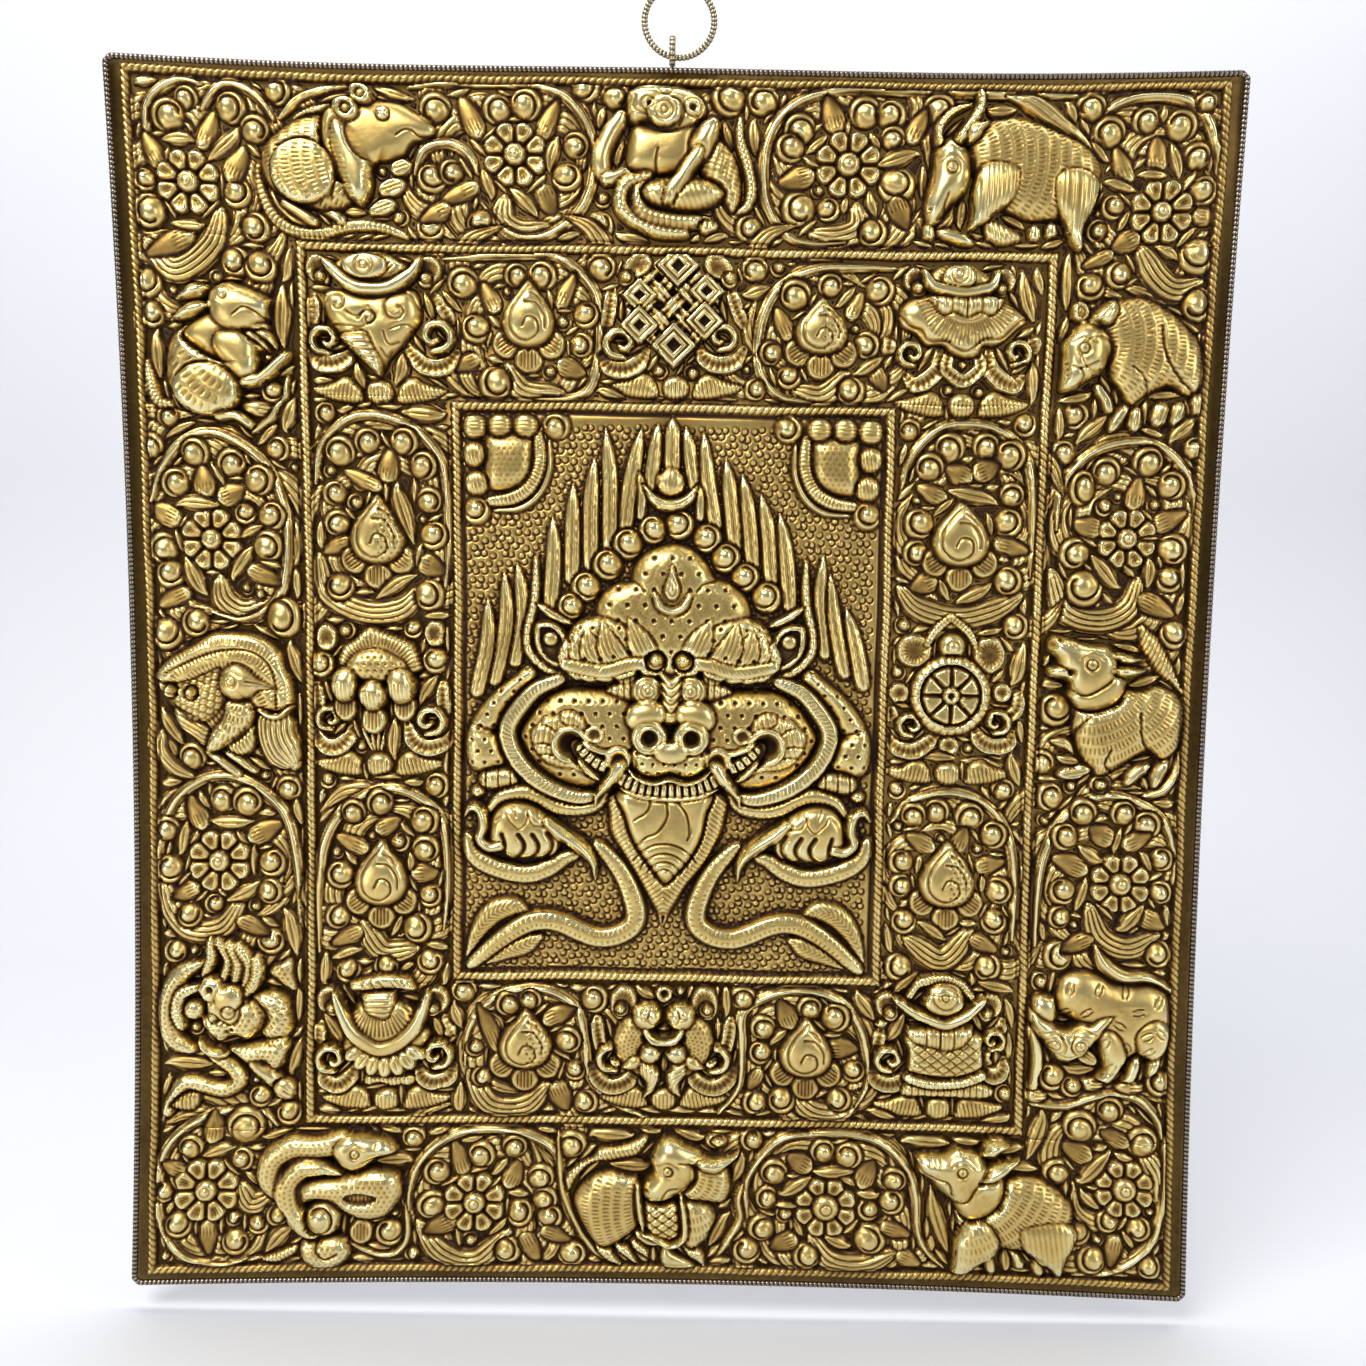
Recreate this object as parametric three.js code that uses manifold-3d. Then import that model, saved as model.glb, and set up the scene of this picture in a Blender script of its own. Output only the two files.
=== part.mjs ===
// Brass wall plaque: one embossed sheet, its milled edge wire, and the eye and ring that it hangs by.
// Millimetres, +Z up, the pictured side faces -Y. The origin is the nail's place, inside the top of the ring.
// Figures are set out from the middle of the sheet, [x, z], before its sides are drawn in.
import * as THREE from 'three';
import { mergeVertices } from 'three/addons/utils/BufferGeometryUtils.js';
import Module from 'manifold-3d';

const wasm = await Module();
wasm.setup();

// Driving dimensions
const WIDTH = 460;
const HEIGHT = 518;
const HALF_W = WIDTH / 2;
const HALF_H = HEIGHT / 2;
const SLAB = 3;
const CORNER = 2.2;
const GAP = 0.3;
const EDGE_WIRE = 3;
const EDGE_INSET = 1.4;
const BEAD_WIRE = 2.3;
const EYE_WIRE = 2;
const EYE_HEIGHT = 12.2;
const EYE_DEPTH = 9;
const EYE_X = -1.6;
const RING_RADIUS = 13.9;
const RING_X = 1;
const ROPE_WIDTH = 4.4;
const ROPE_HEIGHT = 2.6;
const CURL_HEIGHT = 4;
const WIDE = 15;

// How far the middle of each side is drawn in by the hand raising, and the swell left at the top
const DRAW_LEFT = 6.1;
const DRAW_RIGHT = 4.3;
const DRAW_TOP = 5.0;
const DRAW_BOTTOM = 4.5;
const TOP_SWELL = 2.3;

function drawn(x, z) {
  const s = THREE.MathUtils.clamp(x / HALF_W, -1, 1);
  const t = THREE.MathUtils.clamp(z / HALF_H, -1, 1);
  const overHeight = 1 - t * t;
  const overWidth = 1 - s * s;
  const right = (s + 1) / 2;
  const upper = (t + 1) / 2;
  const dx = overHeight * (DRAW_LEFT * (1 - right) - DRAW_RIGHT * right);
  const top = TOP_SWELL * overWidth ** 4 - DRAW_TOP * overWidth;
  return [x + dx, z + DRAW_BOTTOM * overWidth * (1 - upper) + top * upper];
}

// Solids
function bare(geometry) {
  geometry.deleteAttribute('normal');
  geometry.deleteAttribute('uv');
  return geometry;
}

function solidOf(geometry) {
  const merged = mergeVertices(bare(geometry), 1e-4);
  const index = merged.index.array;
  const triangles = [];
  for (let i = 0; i < index.length; i += 3) {
    const [a, b, c] = index.slice(i, i + 3);
    if (a !== b && b !== c && c !== a) {
      triangles.push(a, b, c);
    }
  }
  const build = (triVerts) => new wasm.Manifold(new wasm.Mesh({
    numProp: 3,
    vertProperties: new Float32Array(merged.attributes.position.array),
    triVerts: new Uint32Array(triVerts),
  }));
  const solid = build(triangles);
  return solid.volume() > 0 ? solid : build(triangles.reverse());
}

function geometryOf(solid) {
  const { vertProperties, triVerts } = solid.getMesh();
  const geometry = new THREE.BufferGeometry();
  geometry.setAttribute('position', new THREE.BufferAttribute(vertProperties, 3));
  geometry.setIndex(new THREE.BufferAttribute(triVerts, 1));
  return geometry;
}

function movePoints(geometry, move) {
  const place = geometry.attributes.position;
  for (let i = 0; i < place.count; i += 1) {
    const [x, y, z] = move(place.getX(i), place.getY(i), place.getZ(i), i);
    place.setXYZ(i, x, y, z);
  }
  return geometry;
}

// Raised shapes, each standing on the sheet's ground, which is SLAB in front of its flat back
const raised = [];

function drawnSolid(geometry) {
  return solidOf(movePoints(bare(geometry), (x, y, z) => {
    const [realX, realZ] = drawn(x, z);
    return [realX, y, realZ];
  }));
}

function turnedBump(x, z, rx, rz, turn, profile, sides, rim = () => 1) {
  const points = [...profile, [1, 0], [0, 0]].map(([r, up]) => new THREE.Vector2(r, up));
  const lathe = bare(new THREE.LatheGeometry(points, sides));
  const angle = THREE.MathUtils.degToRad(turn);
  movePoints(lathe, (px, py, pz) => {
    const scale = rim(Math.atan2(pz, px));
    const u = px * rx * scale;
    const v = -pz * rz * scale;
    return [x + u * Math.cos(angle) - v * Math.sin(angle), -SLAB - py,
      z + u * Math.sin(angle) + v * Math.cos(angle)];
  });
  raised.push(drawnSolid(lathe));
}

function dome(x, z, rx, rz, up, turn = 0) {
  turnedBump(x, z, rx, rz, turn, [[0, up], [0.66, up * 0.72]], Math.max(rx, rz) > WIDE ? 8 : 6);
}

function stud(x, z, rx, rz = rx, up = CURL_HEIGHT, turn = 0, sides = 5) {
  turnedBump(x, z, rx, rz, turn, [[0, up]], sides);
}

// A ridge of three-cornered section along a smooth line, narrowed to its two ends
function ridge(line, width, up, steps = line.length, tip = 0) {
  const curve = new THREE.CatmullRomCurve3(line.map(([x, z]) => new THREE.Vector3(x, 0, z)));
  const bar = bare(new THREE.CylinderGeometry(1, 1, 1, 3, steps));
  movePoints(bar, (px, py, pz) => {
    const t = py + 0.5;
    const here = curve.getPoint(t);
    const along = curve.getTangent(t);
    const swell = tip + (1 - tip) * Math.min(1, 3 * Math.min(t, 1 - t));
    const inCap = Math.hypot(px, pz) < 0.5;
    const corner = Math.round((Math.atan2(px, pz) / (2 * Math.PI)) * 3 + 3) % 3;
    const out = inCap ? 0 : [0, 1, -1][corner] * (width / 2) * swell;
    const lift = corner === 0 && !inCap ? up * swell : 0;
    return [here.x + along.z * out, -SLAB - lift, here.z - along.x * out];
  });
  raised.push(drawnSolid(bar));
}

function pad(outline, up) {
  const shape = new THREE.Shape(outline.map(([x, z]) => new THREE.Vector2(x, z)));
  const block = new THREE.ExtrudeGeometry(shape, { depth: up, bevelEnabled: false });
  block.rotateX(Math.PI / 2);
  block.translate(0, -SLAB, 0);
  raised.push(drawnSolid(block));
}

function each(shape, places, ...rest) {
  for (const place of places) {
    shape(...place, ...rest);
  }
}

// Repeated ornament
function rosette(x, z, r, turn = 0) {
  const petals = 8;
  const notched = (angle) => 0.9 + 0.1 * Math.cos(petals * angle);
  turnedBump(x, z, r, r, turn, [[0, 5.4], [0.36, 2.4]], 2 * petals, notched);
}

function jewel(x, z, rx = 10, rz = 13) {
  dome(x, z, rx, rz, 6.5);
  for (const way of [-140, -90, -40]) {
    const angle = THREE.MathUtils.degToRad(way);
    stud(x + 14 * Math.cos(angle), z - 4 + 13 * Math.sin(angle), 5.8, 5.8, 3.4, 0, 4);
  }
}

function lotusSeat(x, z, spread = 15) {
  for (const side of [-1, 1]) {
    stud(x + side * spread, z, 11, 4.5, 3.4, side * 8, 4);
  }
  stud(x, z, 5.6, 5.6, 4.2);
}

// The scarf's two ends, hanging at either side of an emblem and turned up in a dished fold
function ribbons(x, z) {
  for (const side of [-1, 1]) {
    ridge([[x + side * 26, z + 24], [x + side * 28, z + 14], [x + side * 24, z + 5]], 6, 3, 2);
    stud(x + side * 20, z, 9.5, 5.2, 3.6, side * 15, 4);
  }
}

// A closed loop: path(t) gives its middle, outward(t) the way to its outer side, and section the
// [out, front] corners of its section
function loop(path, outward, front, section, steps) {
  const torus = bare(new THREE.TorusGeometry(1, 0.3, section.length, steps));
  return movePoints(torus, (px, py, pz, i) => {
    const t = (i % (steps + 1)) % steps / steps;
    const [out, up] = section[Math.floor(i / (steps + 1)) % section.length];
    return path(t).map((value, axis) => value + outward(t)[axis] * out + front[axis] * up);
  });
}

function roundSection(wire, sides) {
  return Array.from({ length: sides }, (_, i) => {
    const angle = 2 * Math.PI * i / sides;
    return [(wire / 2) * Math.cos(angle), (wire / 2) * Math.sin(angle)];
  });
}

// A station of a box outline, whose sides stop short of the corners where near is under 1
function onBox(t, reachX, reachZ, perSide, last = perSide, near = 1) {
  const station = Math.round(t * 4 * perSide) % (4 * perSide);
  const along = near * (2 * (station % perSide) / last - 1);
  return [[reachX, reachZ * along], [-reachX * along, reachZ], [-reachX, -reachZ * along],
    [reachX * along, -reachZ]][Math.floor(station / perSide)];
}

function boxOutward([x, z], reachX, reachZ) {
  return [Math.abs(x) === reachX ? Math.sign(x) : 0, 0, Math.abs(z) === reachZ ? Math.sign(z) : 0];
}

// The three rope borders: half width, half height and middle
const ropes = [[221.5, 253, 0, 0.5], [154.5, 185.5, 1, 1], [91, 121.5, 0.5, 1.5]];

function ropeBorder(reachX, reachZ, centreX, centreZ) {
  const perSide = 5;
  const half = ROPE_WIDTH / 2;
  const corner = (t) => onBox(t, reachX, reachZ, perSide);
  const place = (t) => [corner(t)[0] + centreX, -SLAB, corner(t)[1] + centreZ];
  const outward = (t) => boxOutward(corner(t), reachX, reachZ);
  const section = [[-half, 0], [0, ROPE_HEIGHT], [half, 0]];
  raised.push(drawnSolid(loop(place, outward, [0, -1, 0], section, 4 * perSide)));
}

each(ropeBorder, ropes);

// How far a place is from the nearest rope's side
function room(x, z) {
  return Math.min(...ropes.map(([reachX, reachZ, centreX, centreZ]) => {
    const beyondX = Math.abs(x - centreX) - reachX;
    const beyondZ = Math.abs(z - centreZ) - reachZ;
    const inside = Math.max(beyondX, beyondZ);
    return Math.abs(inside) - ROPE_WIDTH / 2;
  }));
}

// A round curl, drawn in where it would meet a rope
function curl(x, z, r) {
  stud(x, z, Math.min(r, room(x, z) - GAP));
}

// Outer band, rosette roundels: the corners first, then the middle pairs
rosette(-198.5, 209.5, 13.5);
each(curl, [[-205, 236, 7], [-180, 239, 6.5], [-170, 231, 6.5], [-178, 206, 6.5], [-171, 193, 6.5],
  [-160, 246, 6], [-180, 179, 6.5], [-170, 177, 6.5]]);

rosette(198, 204.5, 13.5);
each(curl, [[175, 236, 7], [189, 239, 6], [203, 238, 7.5], [211, 226, 6], [214, 186, 8], [171, 175, 6.5],
  [182, 179, 6], [167, 246, 6.5]]);

rosette(-198.5, -216.5, 15);
each(curl, [[-205, -195, 6.5], [-181, -187, 8.5], [-210, -232, 6.5], [-185, -240, 6.5]]);

rosette(201.5, -209, 13.5);
each(curl, [[182, -181, 8], [209, -187, 7.5], [172, -202, 6.5], [182, -229, 6], [209, -227, 6],
  [188, -241, 7], [214, -244, 6], [196, -172, 6]]);

rosette(-65, 224.5, 13.5);
each(curl, [[-97, 242, 7], [-71, 242, 6.5], [-59, 244, 7], [-40, 227, 6], [-44, 215, 6.5], [-99, 214, 6.5],
  [-79, 196, 6.5], [-31, 197, 6.5]]);

rosette(70, 222.5, 14);
each(curl, [[50, 236, 7], [76, 243, 7], [87, 241, 6.5], [46, 228, 6.5], [50, 204, 7.5], [90, 214, 8],
  [81, 195, 6.5], [30, 196, 6], [106, 245, 7]]);

rosette(-193.5, 66, 13.5);
each(curl, [[-200, 102, 6.5], [-185, 98, 6.5], [-173, 91, 7], [-209, 89, 6.5], [-168, 76, 6.5],
  [-170, 64, 7], [-212, 51, 6.5], [-214, 26, 7.5], [-202, 31, 6.5], [-164, 33, 7]]);

rosette(-193, -69.5, 14);
each(curl, [[-191, -43, 6.5], [-180, -44, 7], [-170, -71, 6.5], [-171, -83, 6], [-171, -105, 6.5],
  [-205, -25, 6.5], [-163, -38, 6]]);

rosette(191.5, 72, 13);
each(curl, [[182, 100, 6.5], [199, 104, 7], [209, 94, 6.5], [171, 92, 7], [169, 66, 7], [212, 68, 7],
  [211, 55, 6], [175, 51, 8], [163, 107, 6], [213, 32, 6.5]]);

rosette(196, -74, 13.5);
each(curl, [[179, -43, 6.5], [207, -48, 6.5], [171, -54, 6.5], [171, -78, 6.5], [169, -106, 7],
  [214, -104, 6.5], [164, -37, 6]]);

rosette(-81, -222.5, 14);
each(curl, [[-98, -207, 6.5], [-78, -200, 6.5], [-64, -196, 6], [-100, -223, 7], [-52, -209, 6.5],
  [-61, -227, 6.5], [-49, -224, 6.5], [-66, -244, 6.5], [-39, -195, 7]]);

rosette(72.5, -222, 14);
each(curl, [[49, -206, 6.5], [70, -196, 6], [82, -197, 6.5], [102, -208, 6], [44, -232, 6.5],
  [38, -243, 6.5], [64, -245, 6.5], [92, -236, 7.5], [101, -219, 6]]);

// Inner band, jewel roundels
jewel(-59.5, 160.5);
each(curl, [[-87, 173, 7], [-53, 177, 6.5], [-81, 154, 6.5], [-36, 160, 6], [-74, 132, 7]]);

jewel(61, 157, 10, 12);
each(curl, [[49, 170, 7], [85, 172, 6.5], [80, 151, 6], [74, 131, 6.5]]);

jewel(-123.5, 71);
each(curl, [[-139, 103, 7], [-127, 108, 6], [-112, 108, 6], [-141, 74, 6], [-139, 48, 6], [-103, 98, 6.5],
  [-102, 84, 6], [-100, 69, 6], [-102, 44, 7]]);

jewel(-123, -75);
each(curl, [[-135, -48, 6], [-123, -45, 6], [-104, -52, 6.5], [-141, -76, 6.5], [-141, -94, 6],
  [-103, -64, 6], [-102, -113, 6]]);

jewel(122.5, 73);
each(curl, [[115, 109, 6.5], [131, 110, 6], [142, 105, 7], [141, 78, 6.5], [143, 54, 6.5], [103, 98, 6.5],
  [103, 80, 6], [101, 63, 6]]);

jewel(121, -72.5);
each(curl, [[116, -45, 6], [130, -46, 7], [141, -54, 6.5], [143, -78, 6], [142, -91, 6], [140, -111, 6.5],
  [104, -46, 6], [103, -93, 6], [101, -113, 6]]);

jewel(-59.5, -148, 10, 12);
each(curl, [[-68, -132, 6], [-41, -148, 6.5], [-33, -175, 6], [-30, -129, 6]]);

jewel(61.5, -150, 10, 12);
each(curl, [[43, -141, 6], [63, -132, 6], [75, -136, 6.5], [77, -173, 6], [40, -175, 6], [52, -175, 6],
  [34, -128, 6]]);

// Inner band, the eight emblems: shell, knot, parasol, lotus, wheel, vase, fishes, banner
function shell() {
  dome(-121, 157, 20, 14, 6);
  ridge([[-121, 156], [-122, 137]], 20, 5, 2);
  ridge([[-148, 172], [-138, 174], [-120, 168], [-104, 173], [-97, 176]], 8, 6.5);
  dome(-126, 178, 15, 7, 7.5);
  ribbons(-121.5, 140);
  lotusSeat(-122, 130);
}

function endlessKnot() {
  const spacing = 6.5;
  const reach = 13;
  for (const k of [-1, 0, 1]) {
    for (const way of [-1, 1]) {
      const x = 0.5 + k * spacing;
      const z = 163 - way * k * spacing;
      ridge([[x - reach, z - way * reach], [x + reach, z + way * reach]], 5, 3.6, 1, 1);
    }
  }
  stud(-17, 180, 6, 6, 3);
  stud(19, 180, 6, 6, 3);
  ribbons(0, 142);
  lotusSeat(0, 131, 14);
}

function parasol() {
  dome(120, 162, 27, 12, 6);
  dome(119, 179, 15, 7, 7);
  ridge([[97, 176], [108, 171], [122, 170], [134, 176]], 8, 7);
  stud(99, 176, 6, 5, 5);
  stud(135, 176, 5, 6, 5);
  stud(119, 143, 8, 6, 4);
  ribbons(119, 137);
  lotusSeat(120, 128);
}

function lotus() {
  dome(-125, 17, 17, 13, 6);
  each(stud, [[-139, 7, 6, 8, 6], [-126, 3, 7, 7, 7], [-112, 6, 7, 8, 6], [-138, -4, 6, 5, 5],
    [-126, -8, 7, 6, 5.5], [-113, -5, 6, 6, 5]]);
  each(stud, [[-145, 27, 5.5, 6.5], [-147, 16, 5, 5], [-104, 29, 6, 6], [-101, 15, 6, 6]]);
  ribbons(-123.5, -17);
  lotusSeat(-123, -27);
}

function wheel() {
  turnedBump(118.5, 4.5, 19, 18, 0, [[0, 5.5], [0.35, 2.6], [0.78, 5]], 12);
  stud(119, 29, 10, 8, 4.5);
  each(stud, [[136, 24, 7, 9], [103, 24, 8, 8], [142, 8, 5, 5], [97, 6, 5, 5], [119, -16, 5, 5]]);
  ribbons(121.5, -14.5);
  lotusSeat(120, -27);
}

function vase() {
  dome(-121, -143, 17, 11, 6.5);
  ridge([[-137, -122], [-121, -122], [-105, -122]], 8, 6, 2, 0.8);
  ridge([[-121, -126], [-121, -138]], 18, 6, 1, 0.9);
  ridge([[-147, -131], [-137, -138], [-121, -149], [-106, -139], [-96, -131]], 6, 8, 6);
  dome(-121, -156, 18, 8, 6);
  ribbons(-120, -164);
  lotusSeat(-120, -174);
}

function fishes() {
  for (const side of [-1, 1]) {
    dome(side * 6 + 1, -137, 7, 7.5, 6.5);
    ridge([[side * 8, -142], [side * 12, -152], [side * 2, -166]], 9, 5, 3);
    stud(side * 18 + 1, -131, 6, 9);
  }
  ridge([[-8, -146], [0, -149], [8, -146]], 6, 6, 3);
  stud(0, -127, 4, 4, 3);
  ribbons(0, -164);
  lotusSeat(0, -175, 14);
}

function banner() {
  stud(119, -117, 16, 6, 4.5);
  dome(120, -126, 12, 6, 7);
  ridge([[99, -128], [106, -133], [120, -136], [133, -133], [143, -127]], 8, 7);
  pad([[104, -138], [135, -138], [135, -147], [136, -164], [104, -164], [104, -147]], 4.6);
  ridge([[101, -168], [120, -168], [141, -168]], 7, 4.6, 2, 0.8);
  stud(99, -131, 5.5, 6, 6);
  stud(143, -129, 5.5, 7, 6);
  ribbons(122, -159);
  lotusSeat(121, -174, 17);
}

for (const emblem of [shell, endlessKnot, parasol, lotus, wheel, vase, fishes, banner]) {
  emblem();
}

// Outer band, the twelve animals
function rat() {
  dome(-148, 216, 22, 21, 8);
  dome(-149, 214, 13, 13, 9.5);
  dome(-116, 234, 19, 12, 8.5, -8);
  stud(-131, 240, 6, 5, 8.5);
  ridge([[-132, 228], [-128, 216], [-129, 203]], 12, 8);
  ridge([[-166, 206], [-158, 192], [-140, 190], [-118, 195], [-106, 192]], 6, 4);
  ridge([[-150, 202], [-137, 200]], 6, 5);
}

function monkey() {
  dome(-5, 224, 17, 12, 8);
  dome(-6, 242, 13, 10, 9);
  dome(20, 215, 11, 15, 6, 20);
  ridge([[12, 238], [10, 228], [4, 218], [-2, 207]], 7, 9);
  ridge([[27, 238], [29, 222], [32, 208], [25, 201]], 6, 4);
  ridge([[-28, 236], [-28, 222], [-26, 212]], 9, 4);
  dome(-2, 207, 22, 8, 6);
  ridge([[-18, 197], [10, 197]], 8, 4, 2);
}

function ox() {
  dome(144, 226, 29, 17, 8, -8);
  dome(111, 221, 11, 14, 9);
  ridge([[112, 214], [103, 202]], 14, 9, 2, 0.7);
  ridge([[118, 232], [120, 244], [122, 252]], 5, 5);
  ridge([[134, 250], [150, 240], [164, 231], [171, 218]], 10, 9);
  each(ridge, [[[[128, 218], [126, 206], [119, 195]], 14, 7], [[[158, 218], [161, 205], [162, 193]], 16, 7.5],
    [[[142, 206], [136, 194]], 9, 4], [[[150, 206], [148, 193]], 8, 4]]);
}

function rabbit() {
  dome(-193, 144, 21, 14, 7);
  dome(-178, 161, 15, 11, 9);
  dome(-192, 127, 13, 10, 8.5);
  ridge([[-186, 164], [-198, 163], [-206, 162]], 6, 7);
  ridge([[-186, 158], [-200, 158], [-208, 155]], 6, 5);
  ridge([[-180, 146], [-173, 134], [-161, 141]], 8, 6);
  ridge([[-216, 142], [-219, 132], [-211, 123]], 8, 4);
}

function rooster() {
  dome(-187, 14, 27, 14, 7);
  dome(-187, 6, 16, 8, 9.5);
  ridge([[-178, 6], [-167, 4]], 7, 8);
  dome(-201, -1, 14, 10, 8, -20);
  ridge([[-168, 4], [-163, -8], [-158, -27]], 15, 6);
  ridge([[-180, -2], [-186, -12], [-194, -22]], 12, 5);
  ridge([[-188, -22], [-182, -31]], 7, 4);
}

function dragon() {
  dome(-189, -113, 15, 12, 6);
  dome(-190, -135, 18, 14, 8);
  dome(-185, -140, 11, 8, 11);
  stud(-195, -124, 5.5, 5.5, 11);
  ridge([[-205, -118], [-214, -132], [-211, -150], [-198, -156]], 10, 5);
  ridge([[-170, -130], [-165, -145], [-175, -156]], 15, 7.5);
  ridge([[-170, -156], [-163, -170]], 9, 6, 2);
  ridge([[-195, -157], [-184, -160], [-185, -171], [-210, -172]], 7, 4);
  stud(-207, -177, 9, 4, 3, 20);
  stud(-175, -173, 6, 4.5);
}

function snake() {
  ridge([[-138, -195], [-158, -196], [-170, -207], [-166, -218]], 11, 6);
  dome(-131, -197, 12, 8, 8.5);
  ridge([[-124, -197], [-115, -196]], 9, 7, 1, 0.7);
  ridge([[-143, -205], [-160, -208], [-161, -224], [-150, -235], [-142, -226]], 11, 7);
  ridge([[-155, -216], [-135, -212], [-117, -212], [-116, -224], [-135, -222]], 10, 6, 6);
  dome(-144, -243, 11, 9, 6);
}

function horse() {
  dome(4, -203, 15, 12, 9);
  ridge([[0, -208], [-3, -218]], 14, 8, 1, 0.8);
  ridge([[12, -200], [24, -202], [32, -199]], 8, 8);
  dome(-22, -222, 16, 17, 8);
  dome(17, -226, 12, 14, 7);
  dome(-1, -229, 9, 10, 4.5);
  ridge([[-8, -192], [-18, -197], [-32, -203], [-38, -216]], 8, 4);
  ridge([[0, -243], [18, -247]], 9, 4, 2);
  ridge([[-22, -240], [-16, -250]], 7, 3.5);
}

function sheep() {
  dome(158, -215, 22, 13, 8, -5);
  dome(130, -202, 14, 11, 9);
  ridge([[122, -198], [112, -196]], 10, 8, 1, 0.7);
  ridge([[141, -206], [150, -199], [156, -196]], 7, 9);
  stud(146, -191, 6, 4.5, 6);
  dome(137, -233, 10, 13, 7.5);
  dome(168, -232, 11, 16, 7.5);
  ridge([[148, -240], [153, -247]], 7, 4);
}

function pig() {
  dome(198, 149, 24, 20, 8.5, -15);
  dome(170, 147, 12, 13, 9.5);
  ridge([[168, 140], [163, 134]], 12, 8, 1, 0.8);
  ridge([[172, 158], [177, 164]], 8, 10);
  stud(166, 163, 4, 4, 6);
  dome(210, 144, 10, 14, 9.5);
  ridge([[182, 132], [192, 124], [186, 118]], 9, 5);
  ridge([[205, 128], [202, 118]], 8, 4);
}

function dog() {
  dome(196, -2, 23, 18, 8);
  dome(179, 19, 13, 10, 9.5);
  ridge([[170, 23], [161, 29]], 9, 8, 1, 0.7);
  ridge([[170, 16], [161, 15]], 7, 7, 1, 0.7);
  ridge([[188, 20], [200, 17]], 7, 8);
  dome(209, -8, 11, 14, 9.5);
  dome(180, -12, 9, 13, 8.5);
  ridge([[182, -22], [176, -28], [168, -27]], 7, 5);
  ridge([[210, -22], [207, -30]], 8, 4);
  ridge([[220, -18], [216, -32], [205, -36]], 6, 3.5);
}

function tiger() {
  dome(194, -122, 26, 14, 8);
  dome(174, -142, 13, 9, 9.5);
  stud(161, -131, 7, 8, 7, 20);
  stud(189, -134, 7, 5, 8, 30);
  stud(174, -150, 6, 4, 7);
  dome(211, -139, 9, 12, 9);
  ridge([[190, -132], [194, -147], [186, -158]], 12, 7);
  ridge([[159, -136], [162, -150], [161, -163]], 7, 5);
  ridge([[188, -104], [200, -112], [216, -116]], 9, 6);
  ridge([[204, -152], [200, -160]], 7, 4);
}

for (const animal of [rat, monkey, ox, rabbit, rooster, dragon, snake, horse, sheep, pig, dog, tiger]) {
  animal();
}

// The middle panel: a guardian mask among flames, two suns in the upper corners, two snakes in its paws
function cornerSun(x, z, side) {
  dome(x + side * 1, z - 5, 13, 14, 4.5);
  ridge([[x - side * 17, z + 6], [x - side * 16, z - 12], [x - side * 4, z - 23], [x + side * 12, z - 24]],
    8, 3.4, 4);
  each(curl, [[x - side * 22, 115, 6.5], [x + side * 14, 80, 6]]);
}

function flames(places) {
  for (const [footX, footZ, tipX, tipZ] of places) {
    ridge([[footX, footZ], [(footX + tipX) / 2 + 1, footZ + (tipZ - footZ) * 0.35], [tipX, tipZ]], 7.5, 3, 2);
  }
}

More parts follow.
